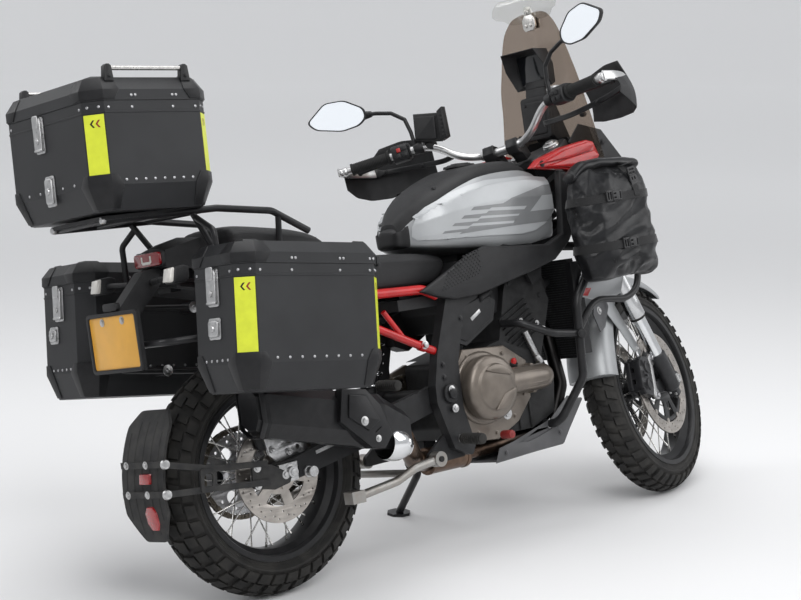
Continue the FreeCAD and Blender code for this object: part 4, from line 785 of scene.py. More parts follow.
# two raised fields on the cap, each bounded by the cap's edge
for start, sweep, rest, low in ((28, 96, [(672, 483), (706, 474)], -218.5), (-104, 92, [(712, 416)], -217.5)):
    edge_line = [polar(CLUTCH.x, CLUTCH.z, 62, math.radians(start + sweep * k / 14)) for k in range(15)]
    cut_sheet(bm, [edge_line + rest], low, -212, edge=1.4)
piece(bm, "clutch_cover", UPRIGHT, bronze, "chassis", ["engine_covers"], sharp=28, bevel=0.7)
bm = bmesh.new()
BARREL = [(742, 37), (770, 39), (900, 37), (922, 33), (934, 24), (939, 12), (940, 0.2)]
skin(bm, [[(x, -164 + r * 1.02 * math.cos(a), 441 + r * math.sin(a)) for a in turns(56)] for x, r in BARREL],
     closed=True, ends=False)
for z in (462, 428, 416):
    rod(bm, (776, -164 - math.sqrt(38 ** 2 - (z - 441) ** 2) + 1, z),
        (898, -164 - math.sqrt(37 ** 2 - (z - 441) ** 2) + 1, z), 2.6, sides=12)
box(bm, (776, -150, 402), (876, -128, 476))
for x, z in ((872, 472), (872, 408)):
    bolt(bm, (x, -168, z), (0, -1, 0), 5.5, 5)
    rod(bm, (x, -168, z), (x, -128, z), 10, 13, sides=28)
piece(bm, "starter_housing", UPRIGHT, bronze, "chassis", ["engine_covers"], sharp=28,
      bevel=0.8)
bm = bmesh.new()
turned(bm, Vector((770, 0, 400)), [(0.1, 186), (40, 186), (56, 184), (62, 180), (76, 179), (90, 175),
                                   (97, 168), (100, 158), (100, 128)], 112)
for a in turns(9):
    x, z = polar(770, 400, 103, a + math.radians(10))
    bolt(bm, (x, 146, z), (0, 1, 0), 5, 5)
    rod(bm, (x, 128, z), (x, 146, z), 9, sides=20)
cut_sheet(bm, [[(600, 500), (600, 420), (640, 395), (700, 400), (700, 500), (660, 520)]], 128, 146, edge=3)
for x, z in ((614, 432), (614, 490), (660, 505)):
    bolt(bm, (x, 146, z), (0, 1, 0), 5, 4)
rod(bm, (640, 94, 452), (640, 130, 452), 11, sides=24)
piece(bm, "generator_cover", UPRIGHT, bronze, "chassis", ["engine_covers"], sharp=28,
      bevel=0.7)

# Airbox: black moulded covers above the engine, each with a blank bright strip and one screw
moulded_black = finish("moulded black plastic", (0.017, 0.017, 0.018), 0.52, vary=0.2, patch=30, grain=2200,
                       bump=0.3)
dress(moulded_black, "airbox")
SIDES = ((-1, "right"), (1, "left"))
for side, label in SIDES:
    bm = bmesh.new()
    side_sheet(bm, [[(614, 590), (622, 660), (650, 668), (732, 690), (766, 670), (752, 626), (652, 576)]],
               side, 151.6, 156, edge=1.8)
    for k in range(4):
        rod(bm, (752 - 7 * k, side * 148, 700 - 3 * k), (757 - 7 * k, side * 157, 690 - 3 * k), 15, 15,
            sides=28)
    bolt(bm, (633, side * 155.6, 621), (0, side, 0), 7, 4)
    piece(bm, "airbox_cover_" + label, UPRIGHT, moulded_black, "chassis", sharp=30,
          bevel=0.8)
    bm = bmesh.new()
    side_sheet(bm, [[(676, 636), (681, 628), (717, 648), (713, 657)]], side, 155.6, 157, edge=0.5)
    piece(bm, "airbox_strip_" + label, UPRIGHT, worn_alloy, "chassis", sharp=30)

# Radiator: aluminium core with tight fins between black side tanks
dress(satin_black, "radiator")
fin_alloy = finish("radiator fins", (0.05, 0.05, 0.052), 0.5, metal=0.6, vary=0.3, patch=80, grain=1200,
                   bump=0.3)
bm = bmesh.new()
for k in range(40):
    z = 478 + 7 * k
    for x in (1111.5, 1081.5):
        box(bm, (x, -149, z), (x + 3, 149, z + 2.6))
piece(bm, "radiator_fins", UPRIGHT, fin_alloy, "chassis", sharp=30)

# Exhaust: two black header pipes that turn brown with heat towards the collector, and bright clamps
heat_steel = finish("heat-tinted steel", (0.014, 0.013, 0.013), 0.3, metal=0.9, vary=0.3, patch=28,
                    grain=1500, bump=0.12, second=(0.16, 0.105, 0.075), share=0.4)
dress(heat_steel, "exhaust_pipes")
tree = heat_steel.node_tree
place = tree.nodes.new("ShaderNodeSeparateXYZ")
along_pipe = tree.nodes.new("ShaderNodeMapRange")
front_of_bike = (UPRIGHT @ Vector((900, -90, 280))).x
along_pipe.inputs["From Min"].default_value = front_of_bike
along_pipe.inputs["From Max"].default_value = front_of_bike - 0.22
warm = tree.nodes.new("ShaderNodeMath")
warm.operation = "MULTIPLY_ADD"
warm.inputs[2].default_value = 0.0
coords = [n for n in tree.nodes if n.type == "TEX_COORD"][0]
blotches = [n for n in tree.nodes if n.type == "TEX_NOISE" and n.inputs["Detail"].default_value == 5.0][0]
ramp = [n for n in tree.nodes if n.type == "VALTORGB"][0]
tree.links.new(coords.outputs["Object"], place.inputs[0])
tree.links.new(place.outputs["X"], along_pipe.inputs["Value"])
tree.links.new(along_pipe.outputs["Result"], warm.inputs[0])
tree.links.new(blotches.outputs["Fac"], warm.inputs[1])
tree.links.new(warm.outputs["Value"], ramp.inputs["Fac"])
ramp.color_ramp.elements[0].position = 0.08
ramp.color_ramp.elements[1].position = 0.62
bm = bmesh.new()
for a, b, r in (((512, -72, 262), (520, -72, 262), 38.5), ((640, -72, 262), (652, -72, 262), 39),
                ((455, -98, 271), (446, -103, 274), 29.5)):
    rod(bm, a, b, r, sides=48)
for y in (-58, 42):
    rod(bm, (1000, y, 608), (1012, y, 598), 30, 28, sides=40)
piece(bm, "exhaust_clamps", UPRIGHT, heat_steel, "chassis", sharp=30, bevel=0.8)

# Exhaust elbow: polished steel cone between the link pipe and the silencer, with one screw
bm = bmesh.new()
elbow = [((262, -212, 352), 44), ((275, -211, 350), 47), ((296, -209, 344), 46.5), ((312, -208, 339), 43),
         ((326, -207, 335), 37), ((336, -206, 332), 30), ((343, -205, 330), 27.5)]
rings = []
for k, (at, r) in enumerate(elbow):
    at = Vector(at)
    ahead = (Vector(elbow[min(k + 1, 6)][0]) - Vector(elbow[max(k - 1, 0)][0])).normalized()
    across = ahead.cross(Vector((0, 1, 0))).normalized()
    rings.append([at + (across * math.cos(a) + Vector((0, 1, 0)) * math.sin(a)) * r for a in turns(64)])
skin(bm, rings, closed=True, ends=False)
bolt(bm, (318, -246, 344), (0.1, -1, 0.05), 6, 4)
piece(bm, "elbow_cone", UPRIGHT, chrome, "chassis", ["exhaust_elbow"], sharp=50, bevel=0.5)

# Skid plate: bent aluminium sheet painted grey, with a long cut-out and a folded edge on each side
skid_grey = finish("grey plate paint", (0.055, 0.055, 0.058), 0.45, vary=0.2, patch=18, grain=1300, bump=0.12)
dress(skid_grey, "skid_plate")
bm = bmesh.new()
for side in (-1, 1):
    side_sheet(bm, [[(700, 224), (720, 262), (775, 272), (932, 312), (1010, 368), (1064, 352), (972, 238)],
                    [(800, 266), (830, 262), (868, 268), (930, 284), (934, 292), (900, 304), (872, 292)]],
               side, 150.2, 153.2, edge=1.0)
    for x, z in ((742, 246), (962, 270), (1018, 344)):
        bolt(bm, (x, side * 153, z), (0, side, 0), 6, 4)
piece(bm, "skid_sides", UPRIGHT, skid_grey, "chassis", sharp=30, bevel=0.5)


# Fuel tank: one pressed steel shell, painted metallic silver over a smooth crown. Its side panels are raised
# a little and carry plain grey speed stripes, which are cut from film and laid on the paint.
def full_section(half):
    """A closed section from one half of it, which runs from its middle top round to its middle bottom."""
    return half + [Vector((p.x, -p.y, p.z)) for p in reversed(half[1:-1])] + [half[0]]


def between(stations, x):
    """The values of a table at x, running smoothly from row to row."""
    for k in range(len(stations) - 1):
        if stations[k][0] <= x <= stations[k + 1][0]:
            break
    a, b = stations[k], stations[k + 1]
    before, after = stations[max(k - 1, 0)], stations[min(k + 2, len(stations) - 1)]
    t = (x - a[0]) / (b[0] - a[0])
    found = []
    for i in range(1, len(a)):
        slope_a = (b[i] - before[i]) / (b[0] - before[0]) * (b[0] - a[0])
        slope_b = (after[i] - a[i]) / (after[0] - a[0]) * (b[0] - a[0])
        found.append((2 * t ** 3 - 3 * t ** 2 + 1) * a[i] + (t ** 3 - 2 * t ** 2 + t) * slope_a
                     + (3 * t ** 2 - 2 * t ** 3) * b[i] + (t ** 3 - t ** 2) * slope_b)
    return found


silver = finish("silver metallic paint", (0.30, 0.308, 0.315), 0.42, metal=0.45, vary=0.05, patch=14,
                grain=5200, bump=0.05, coat=0.12)
stripe_grey = finish("grey stripe film", (0.20, 0.205, 0.21), 0.36, metal=0.2, vary=0.06, patch=20,
                     grain=3000, bump=0.04, coat=0.3)
# rows: x, half width, bottom, top
TANK = [(556, 50, 858, 926), (575, 68, 854, 948), (612, 102, 846, 978), (660, 130, 838, 1008),
        (740, 149, 829, 1042), (820, 158, 822, 1064), (960, 164, 818, 1070), (1058, 158, 829, 1050)]


def tank_half(x):
    """Half of the tank's section at x, from the middle of its top round to its bottom edge."""
    w, low, top = between(TANK, x)
    mid = (low + top) / 2
    half = [(0, top - 14), (w * 0.30, top - 15), (w * 0.52, top - 18), (w * 0.70, top - 27),
            (w * 0.83, top - 43), (w * 0.945, (mid + top) / 2 - 6), (w * 0.995, mid + 8),
            (w * 0.985, (mid + low) / 2), (w * 0.945, low + 3), (w * 0.90, low), (0, low)]
    return [Vector((x, y, z)) for y, z in half]


bm = bmesh.new()
stations = [556 + (1058 - 556) * (k / 34) ** 1.2 for k in range(35)]
skin(bm, [full_section(tank_half(x)) for x in stations])
bmesh.ops.remove_doubles(bm, verts=bm.verts, dist=0.01)


def stem_point(s):
    """A point of the steering axis, s up along it from the ground line."""
    return Vector((1613 - math.sin(math.radians(26)) * s, 0, math.cos(math.radians(26)) * s))


def room_for_fork(bm):
    """Cuts the space that the fork and its yokes sweep from a closed body, and returns what is left."""
    for low, high, radius in ((600, 1240, 150), (900, 1000, 163), (1140, 1230, 163)):
        made = []
        cutter = bmesh.new()
        rod(cutter, stem_point(low), stem_point(high), radius, sides=96)
        for part in (bm, cutter):
            bmesh.ops.recalc_face_normals(part, faces=part.faces)
            mesh = bpy.data.meshes.new("carving")
            part.to_mesh(mesh)
            part.free()
            made.append(bpy.data.objects.new("carving", mesh))
            scene.collection.objects.link(made[-1])
        cut = made[0].modifiers.new("room", "BOOLEAN")
        cut.operation = "DIFFERENCE"
        cut.solver = "EXACT"
        cut.object = made[1]
        bpy.context.view_layer.update()
        mesh = bpy.data.meshes.new_from_object(made[0].evaluated_get(bpy.context.evaluated_depsgraph_get()))
        bm = bmesh.new()
        bm.from_mesh(mesh)
        for holder in made:
            spare = holder.data
            bpy.data.objects.remove(holder)
            bpy.data.meshes.remove(spare)
        bpy.data.meshes.remove(mesh)
    return bm


shell = bm.copy()
bm = room_for_fork(bm)
piece(bm, "tank_shell", UPRIGHT, silver, "chassis", ["fuel_tank"], sharp=50, smooth=1)

tank_surface = BVHTree.FromBMesh(shell)


def laid_on_tank(outline, side, lift, thickness, name, material):
    """A thin sheet cut to an outline in x and z and laid on the side of the tank."""
    made = bmesh.new()
    cut_sheet(made, [outline], -0.5, 0.5)
    flat = [f for f in made.faces if abs(f.normal.y) > 0.9 and f.calc_center_median().y < 0]
    bmesh.ops.delete(made, geom=[f for f in made.faces if f not in set(flat)], context="FACES")
    bmesh.ops.remove_doubles(made, verts=made.verts, dist=0.01)
    for _ in range(9):
        long_edges = [e for e in made.edges if e.calc_length() > 9]
        if not long_edges:
            break
        bmesh.ops.subdivide_edges(made, edges=long_edges, cuts=1, use_grid_fill=False)
        bmesh.ops.triangulate(made, faces=[f for f in made.faces if len(f.verts) > 3])
    gone = []
    for vert in made.verts:
        hit = tank_surface.ray_cast(Vector((vert.co.x, side * 420, vert.co.z)), Vector((0, -side, 0)))
        if hit[0] is None:
            gone.append(vert)
            continue
        normal = hit[1] if hit[1].y * side > 0 else -hit[1]
        vert.co = hit[0] + normal * lift
    bmesh.ops.delete(made, geom=gone, context="VERTS")
    bmesh.ops.recalc_face_normals(made, faces=made.faces)
    for face in made.faces:
        if face.normal.y * side < 0:
            face.normal_flip()
    bmesh.ops.solidify(made, geom=list(made.faces), thickness=thickness)
    piece(made, name, UPRIGHT, material, "chassis", sharp=40)


PANEL = [(579, 882), (582, 908), (596, 934), (630, 958), (702, 988), (760, 1003), (817, 1012), (960, 1012),
         (1056, 1003), (1056, 905), (1024, 876), (969, 855), (916, 850), (724, 861), (640, 864), (590, 870)]
STRIPES = [[(944, 927), (856, 942), (890, 954), (1025, 981), (1056, 981), (1056, 951), (1010, 951),
            (954, 910), (1056, 910), (1024, 876), (900, 876), (884, 882), (891, 890), (913, 907), (932, 918)],
           [(740, 933), (752, 942), (856, 942), (944, 927), (812, 934), (803, 930)],
           [(706, 913), (717, 921), (791, 920), (801, 926), (933, 918), (914, 907), (774, 914), (764, 909)],
           [(675, 896), (685, 903), (757, 901), (766, 907), (912, 902), (894, 889), (742, 896), (730, 891)],
           [(646, 879), (654, 885), (722, 884), (732, 889), (886, 883), (898, 876), (695, 872), (703, 877)]]
# the panel gets a paler copy of the tank's silver: the shell's darker silver in the band above the panel is
# painted shade
lit_panel_silver = finish("silver panel paint", (0.40, 0.412, 0.422), 0.36, metal=0.2, vary=0.04, patch=12,
                     grain=5200, bump=0.04, coat=0.15)
for side, label in SIDES:
    laid_on_tank(PANEL, side, -0.8, -4.0, "tank_panel_" + label, lit_panel_silver)
    for k, stripe in enumerate(STRIPES):
        laid_on_tank(stripe, side, 3.3, -0.4, f"tank_stripe_{label}_{k}", stripe_grey)
shell.free()

# Tank cover: grained black moulding down the middle of the tank, from the filler to the seat, with a rolled
# edge
bm = bmesh.new()
sections = []
for x in [556 + (1056 - 556) * k / 26 for k in range(27)]:
    w, low, top = between(TANK, x)
    half = [(0, top), (w * 0.24, top - 0.8), (w * 0.44, top - 3), (w * 0.58, top - 8), (w * 0.69, top - 17),
            (w * 0.755, top - 28), (w * 0.775, top - 37), (w * 0.74, top - 37), (w * 0.6, top - 25),
            (w * 0.3, top - 18), (0, top - 17)]
    sections.append(full_section([Vector((x, y, z)) for y, z in half]))
skin(bm, sections)
bmesh.ops.remove_doubles(bm, verts=bm.verts, dist=0.01)
bm = room_for_fork(bm)
w, low, top = between(TANK, 680)
for y in (-1, 1):
    bolt(bm, (680, y * w * 0.56, top - 7.4), (0, y * 0.5, 1), 5.5, 2.5)
w, low, top = between(TANK, 856)
rod(bm, (856, 0, top - 2), (856, 0, top + 4), 47, 45, sides=64)
rod(bm, (856, 0, top + 4), (856, 0, top + 7), 36, 34, sides=64)
box(bm, (834, -10, top + 6), (886, 10, top + 10))
piece(bm, "tank_cover_shell", UPRIGHT, moulded_black, "chassis", ["tank_cover"], sharp=45,
      bevel=0.6)
bm = bmesh.new()
# the end of the cover, which wraps the rear of the tank down to the seat
sections = []
for x, grow in ((540, 0.5), (541, 0.74), (544, 0.9), (549, 1.0), (556, 1.05), (563, 1.055), (570, 1.045),
                (575, 1.035), (575, 0.99)):
    half = tank_half(max(556, x))
    middle = sum((p.z for p in half), 0) / len(half)
    half = [Vector((x, p.y * grow, middle + (p.z - middle) * grow)) for p in half]
    sections.append(full_section(half))
skin(bm, sections)
piece(bm, "tank_cover_end", UPRIGHT, moulded_black, "chassis", ["tank_cover"], sharp=45,
      smooth=1)

# Knee panels: black moulded flanks below the tank, with a field of small raised squares for grip
FLANK = [(512, 729), (560, 712), (613, 701), (700, 704), (814, 727), (920, 748), (1010, 770), (1070, 812),
         (1110, 860), (1128, 1000), (1080, 1010), (1058, 830), (989, 804), (820, 814), (750, 822), (690, 806),
         (600, 766)]
for side, label in SIDES:
    bm = bmesh.new()
    side_sheet(bm, [FLANK], side, 159, 186, edge=7)
    piece(bm, "knee_panel_" + label, UPRIGHT, moulded_black, "chassis", ["side_fairings"],
          sharp=40, bevel=2.2)
    bm = bmesh.new()
    for i in range(13):
        for j in range(9):
            x = 566 + 11.5 * i + 5.5 * j
            z = 724 + 9.2 * j + 2.6 * i
            if z < 722 + 0.62 * (x - 556) + 26 and z > 712 + 0.1 * (x - 560) and x < 716:
                box(bm, (x - 3.2, side * 184.6, z - 2.6), (x + 3.2, side * 187.2, z + 2.6), taper=0.8)
    piece(bm, "knee_grip_" + label, UPRIGHT, moulded_black, "chassis", sharp=30)

# Wings: red painted blades above the knee panels, each with a hollow along its middle and one black screw
WING = [(979, 1034), (1004, 1052), (1100, 1080), (1196, 1094), (1222, 1088), (1240, 1050), (1222, 1026),
        (1180, 1004), (1090, 1022)]
WING_FIELDS = [[(1010, 1044), (1100, 1072), (1196, 1088), (1216, 1082), (1200, 1068), (1110, 1052)],
               [(1030, 1032), (1110, 1046), (1214, 1062), (1232, 1050), (1218, 1032), (1178, 1012),
                (1092, 1028)]]
for side, label in SIDES:
    bm = bmesh.new()
    side_sheet(bm, [WING], side, 157, 192, edge=3)
    for field in WING_FIELDS:
        side_sheet(bm, [field], side, 190, 200, edge=3)
    piece(bm, "wing_" + label, UPRIGHT, red_enamel, "chassis", ["shroud_wings"], sharp=35,
          bevel=1.4)
    bm = bmesh.new()
    bolt(bm, (1002, side * 191, 1040), (0, side, 0), 6.5, 4)
    piece(bm, "wing_screw_" + label, UPRIGHT, satin_black, "chassis", sharp=30)

# Seat: foam on a moulded base under a grained black cover, sewn along both edges and across the step. The
# foam is crowned, its sides pull in under the edge seam, and it lies on the frame tubes.
seat_cover = finish("seat cover", (0.017, 0.017, 0.018), 0.56, vary=0.12, patch=22, grain=1500, bump=0.45,
                    cells=True)
# rows: x, half width, bottom, top, crown
SEAT = [(-70, 122, 893, 968, 5), (-30, 132, 876, 971, 8), (60, 140, 840, 960, 10), (150, 148, 802, 944, 10),
        (205, 149, 782, 922, 8), (238, 150, 766, 884, 5), (275, 150, 752, 862, 4), (340, 149, 748, 851, 7),
        (430, 146, 746, 848, 9), (520, 130, 745, 843, 9), (600, 108, 746, 836, 7), (655, 86, 766, 828, 5),
        (690, 68, 794, 820, 3)]


def seat_half(x):
    """Half of the seat's section at x, from the middle of its top round to its underside, as (y, z)."""
    w, low, top, crown = between(SEAT, x)
    return [(0, top), (w * 0.35, top - 0.5), (w * 0.66, top - crown * 0.45), (w * 0.86, top - crown - 4),
            (w * 0.965, top - crown - 15), (w * 0.985, top - crown - 24), (w * 0.972, top - crown - 29),
            (w * 0.985, (top + low) / 2 - 8), (w * 0.965, low + 9), (w * 0.94, low), (0, low)]


bm = bmesh.new()
skin(bm, [full_section([Vector((x, y, z)) for y, z in seat_half(x)])
          for x in [-70 + 760 * k / 44 for k in range(45)]])
seat = piece(bm, "seat_cushion", UPRIGHT, seat_cover, "chassis", ["seat"], sharp=60, smooth=1)
thread = finish("black thread", (0.03, 0.03, 0.032), 0.7, vary=0.2, patch=300, grain=3000, bump=0.2)
bm = bmesh.new()
for side in (-1, 1):
    for k in range(190):
        x = -60 + 3.9 * k
        if x > 676:
            break
        w, low, top, crown = between(SEAT, x)
        w2, _, top2, crown2 = between(SEAT, x + 2.4)
        rod(bm, (x, side * (w * 0.983 + 0.5), top - crown - 20),
            (x + 2.4, side * (w2 * 0.983 + 0.5), top2 - crown2 - 20), 0.55, sides=6)
w, low, top, crown = between(SEAT, 214)
for k in range(58):
    y = -112 + 4 * k
    rod(bm, (214, y, top + 0.3 - 4 * (y / w) ** 4), (214, y + 2.4, top + 0.3 - 4 * ((y + 2.4) / w) ** 4),
        0.55, sides=6)
piece(bm, "seat_stitches", UPRIGHT, thread, "chassis", sharp=60)


# Tail: black moulded cowl and inner fender, with the red tail lamp and two indicators on stalks
dress(moulded_black, "tail_cowl", "plate_holder")
red_lens = finish("red lamp lens", (0.20, 0.006, 0.010), 0.14, vary=0.1, patch=30, grain=400, bump=0.05,
                  coat=0.6)
clear_lens = finish("clear lamp lens", (0.62, 0.60, 0.56), 0.12, vary=0.08, patch=60, grain=350, bump=0.2,
                    coat=0.7)
reflex_red = finish("red reflector", (0.34, 0.010, 0.012), 0.2, vary=0.2, patch=200, grain=330, bump=0.6,
                    coat=0.8, cells=True)
QUARTER = Matrix.Rotation(math.pi / 2, 4, "Z")


def facing_back(bm, outlines, x_rear, x_front, edge=0.6):
    """A plate across the bike from outlines in y and z."""
    cut_sheet(bm, outlines, -x_front, -x_rear, frame_of=QUARTER, edge=edge)


def round_box(u0, u1, v0, v1, radius, steps=5):
    """A rectangle with rounded corners, as a closed outline."""
    points = []
    for cu, cv, start in ((u1 - radius, v1 - radius, 0), (u0 + radius, v1 - radius, 90),
                          (u0 + radius, v0 + radius, 180), (u1 - radius, v0 + radius, 270)):
        for k in range(steps + 1):
            a = math.radians(start + 90 * k / steps)
            points.append(polar(cu, cv, radius, a))
    return points


bm = bmesh.new()
facing_back(bm, [round_box(-60, 60, 890, 928, 8)], -243, -232.3, edge=1.5)
piece(bm, "tail_lamp_case", UPRIGHT, moulded_black, "chassis", ["tail_light"], sharp=35,
      bevel=1.0)
bm = bmesh.new()
facing_back(bm, [round_box(-56, 56, 894, 924, 7)], -251, -242, edge=2.5)
piece(bm, "tail_lamp_lens", UPRIGHT, red_lens, "chassis", ["tail_light"], sharp=40)
bm = bmesh.new()
facing_back(bm, [[(-22, 918), (-22, 902), (-16, 898), (16, 898), (22, 902), (22, 918), (17, 918), (17, 904),
                  (-17, 904), (-17, 918)]], -252.4, -250.5, edge=0.4)
piece(bm, "tail_lamp_guide", UPRIGHT, clear_lens, "chassis", ["tail_light"], sharp=35)
for side, label in SIDES:
    bm = bmesh.new()
    rod(bm, (-258, side * 19, 851), (-282, side * 150, 860), 7, 6.5, sides=24)
    for k in range(6):
        at = Vector((-262 - 1.2 * k, side * (34 + 7 * k), 852 + 0.5 * k))
        rod(bm, at, at + Vector((-0.6, side * 3.2, 0.2)), 8.4, sides=24)
    side_sheet(bm, [[(-300, 844), (-272, 844), (-260, 852), (-258, 874), (-268, 878), (-292, 876)]], side,
               150, 190, edge=5)
    piece(bm, "indicator_case_" + label, UPRIGHT, moulded_black, "chassis", ["tail_light"],
          sharp=35, bevel=1.4)
    bm = bmesh.new()
    side_sheet(bm, [[(-310, 848), (-297, 845), (-290, 850), (-288, 872), (-294, 876), (-303, 874)]], side,
               153, 187, edge=4)
    piece(bm, "indicator_lens_" + label, UPRIGHT, clear_lens, "chassis", ["tail_light"],
          sharp=40, bevel=1.2)

# Number plate: a blank stamped sheet in a black frame, held by two bolts
plate_paint = finish("plate paint", (0.70, 0.36, 0.045), 0.42, vary=0.06, patch=16, grain=900, bump=0.06,
                     coat=0.2)
bm = bmesh.new()
facing_back(bm, [round_box(-110, 110, 645, 785, 9)], -377, -374.2, edge=0.5)
facing_back(bm, [round_box(-105, 105, 650, 780, 7), round_box(-103, 103, 652, 778, 6)], -377.8, -376.5,
            edge=0.3)
piece(bm, "plate_sheet", UPRIGHT, plate_paint, "chassis", ["number_plate"], sharp=35)
bm = bmesh.new()
facing_back(bm, [round_box(-115, 115, 640, 790, 11), round_box(-107.5, 107.5, 647.5, 782.5, 8)], -381, -374,
            edge=1.2)
piece(bm, "plate_frame", UPRIGHT, moulded_black, "chassis", sharp=35)
bm = bmesh.new()
for y in (-46, 46):
    bolt(bm, (-377.4, y, 768), (-1, 0, 0), 6.5, 3.5)
piece(bm, "plate_bolts", UPRIGHT, worn_alloy, "chassis", sharp=30)
bm = bmesh.new()
facing_back(bm, [round_box(-30, 30, 795, 812, 5)], -380, -366, edge=1.5)
piece(bm, "plate_lamp", UPRIGHT, moulded_black, "chassis", sharp=35, bevel=0.8)

# Racks: bent black steel tube with welded cross bars, bolt-on pucks and plastic end caps
dress(satin_black, "luggage_rack", "case_racks")
bm = bmesh.new()
for y in (-104, -36, 36, 104):
    for x in (-412, -160):
        bolt(bm, (x, y, 1023.5), (0, 0, 1), 6, 2.5)
for y, wall in ((-240, -256), (184, 226)):
    for x, z in ((-200, 793), (-10, 775), (-120, 619)):
        out = 1 if wall > y else -1
        rod(bm, (x, y - out * 12, z), (x, y - out * 9, z), 15, sides=28)
        bolt(bm, (x, y - out * 12, z), (0, -out, 0), 7, 5)
for side in (-1, 1):
    rod(bm, (-430, side * 118, 1014), (-441, side * 117, 1014), 9.6, 8, sides=28)
    bolt(bm, (-121, side * 133, 905), (0, side, 0), 7, 5)
piece(bm, "rack_bolts", UPRIGHT, worn_alloy, "chassis", sharp=30, bevel=0.4)

# Cases: folded aluminium sheet, powder coated black with a fine texture, riveted along every seam. Each has a
# lift-up lid, black plastic corner guards, a lockable latch, and bright reflective strips on its corners.
case_black = finish("case powder coat", (0.021, 0.0215, 0.023), 0.46, vary=0.14, patch=10, grain=1500,
                    bump=0.35)
guard_black = finish("corner guard plastic", (0.013, 0.013, 0.014), 0.4, vary=0.15, patch=60, grain=1700,
                     bump=0.12)
strip_yellow = finish("reflective strip", (0.62, 0.68, 0.035), 0.36, vary=0.05, patch=40, grain=420,
                      bump=0.35, cells=True)
strip_black = finish("strip print black", (0.012, 0.012, 0.012), 0.4, vary=0.1, patch=80, grain=900,
                     bump=0.05)
strip_red = finish("strip print red", (0.25, 0.015, 0.012), 0.4, vary=0.1, patch=80, grain=900, bump=0.05)
rivet_alloy = finish("rivet alloy", (0.40, 0.40, 0.41), 0.34, metal=0.9, vary=0.2, patch=300, grain=2000,
                     bump=0.1)
dress(case_black, "top_case", "right_case", "left_case", "top_lid", "right_lid", "left_lid")
# name, length, depth, base, tub, lid, place, pitch
CASES = [("top", 354, 430, 60, 262, 58, (-320, 0, 1026), 2.5),
         ("right", 435, 236, 66, 300, 54, (-129.5, -372, 540), 6.5),
         ("left", 435, 236, 66, 300, 54, (-129.5, 341, 558), 6.5)]
CHAMFER, SKIRT, LID_GAP = 40, 26, 0.6


def raised(bm, low, high):
    """A low field with sloping sides: its foot and its top are rings with equal counts of points."""
    skin(bm, [low, high], closed=True, ends=False)
    bm.verts.ensure_lookup_table()
    bm.faces.new(bm.verts[-len(high):])


def corner_line(length, depth, z, inset, sx, sy, reach):
    """Four points round one chamfered corner of a case at height z."""
    a, b = length / 2 - inset, depth / 2 - inset
    c = CHAMFER - inset * (2 - math.sqrt(2))
    return [Vector((sx * (a - c - reach), sy * b, z)), Vector((sx * (a - c), sy * b, z)),
            Vector((sx * a, sy * (b - c), z)), Vector((sx * a, sy * (b - c - reach), z))]


def guard(bm, length, depth, levels, sx, sy):
    """A corner guard: a folded sheet round a chamfered corner, through (height, inset, reach)."""
    rows = [corner_line(length, depth, z, inset - 0.3, sx, sy, reach) for z, inset, reach in levels]
    outer = [corner_line(length, depth, z, inset - 2.8, sx, sy, reach) for z, inset, reach in levels]
    under = [[bm.verts.new(p) for p in row] for row in rows]
    over = [[bm.verts.new(p) for p in row] for row in outer]
    for sheet in (under, over):
        for low, high in zip(sheet, sheet[1:]):
            for i in range(3):
                bm.faces.new((low[i], low[i + 1], high[i + 1], high[i]))
    rims = []
    for sheet in (under, over):
        down = [row[0] for row in sheet[1:-1][::-1]]
        rims.append(sheet[0] + [row[3] for row in sheet[1:]] + sheet[-1][:3][::-1] + down)
    for i in range(len(rims[0])):
        j = (i + 1) % len(rims[0])
        bm.faces.new((rims[0][i], rims[0][j], rims[1][j], rims[1][i]))


def rivet(bm, at, out, radius=3.6):
    """A round rivet head that points out from a sheet."""
    at, out = Vector(at), Vector(out).normalized()
    rod(bm, at - out * 0.3, at + out * 0.9, radius, radius * 0.92, sides=14)
    rod(bm, at + out * 0.9, at + out * 1.9, radius * 0.92, radius * 0.45, sides=14)


def case_place(at, pitch):
    """Where a case stands: the middle of its bottom and how far it tips."""
    return UPRIGHT @ Matrix.Translation(at) @ Matrix.Rotation(math.radians(pitch), 4, "Y")


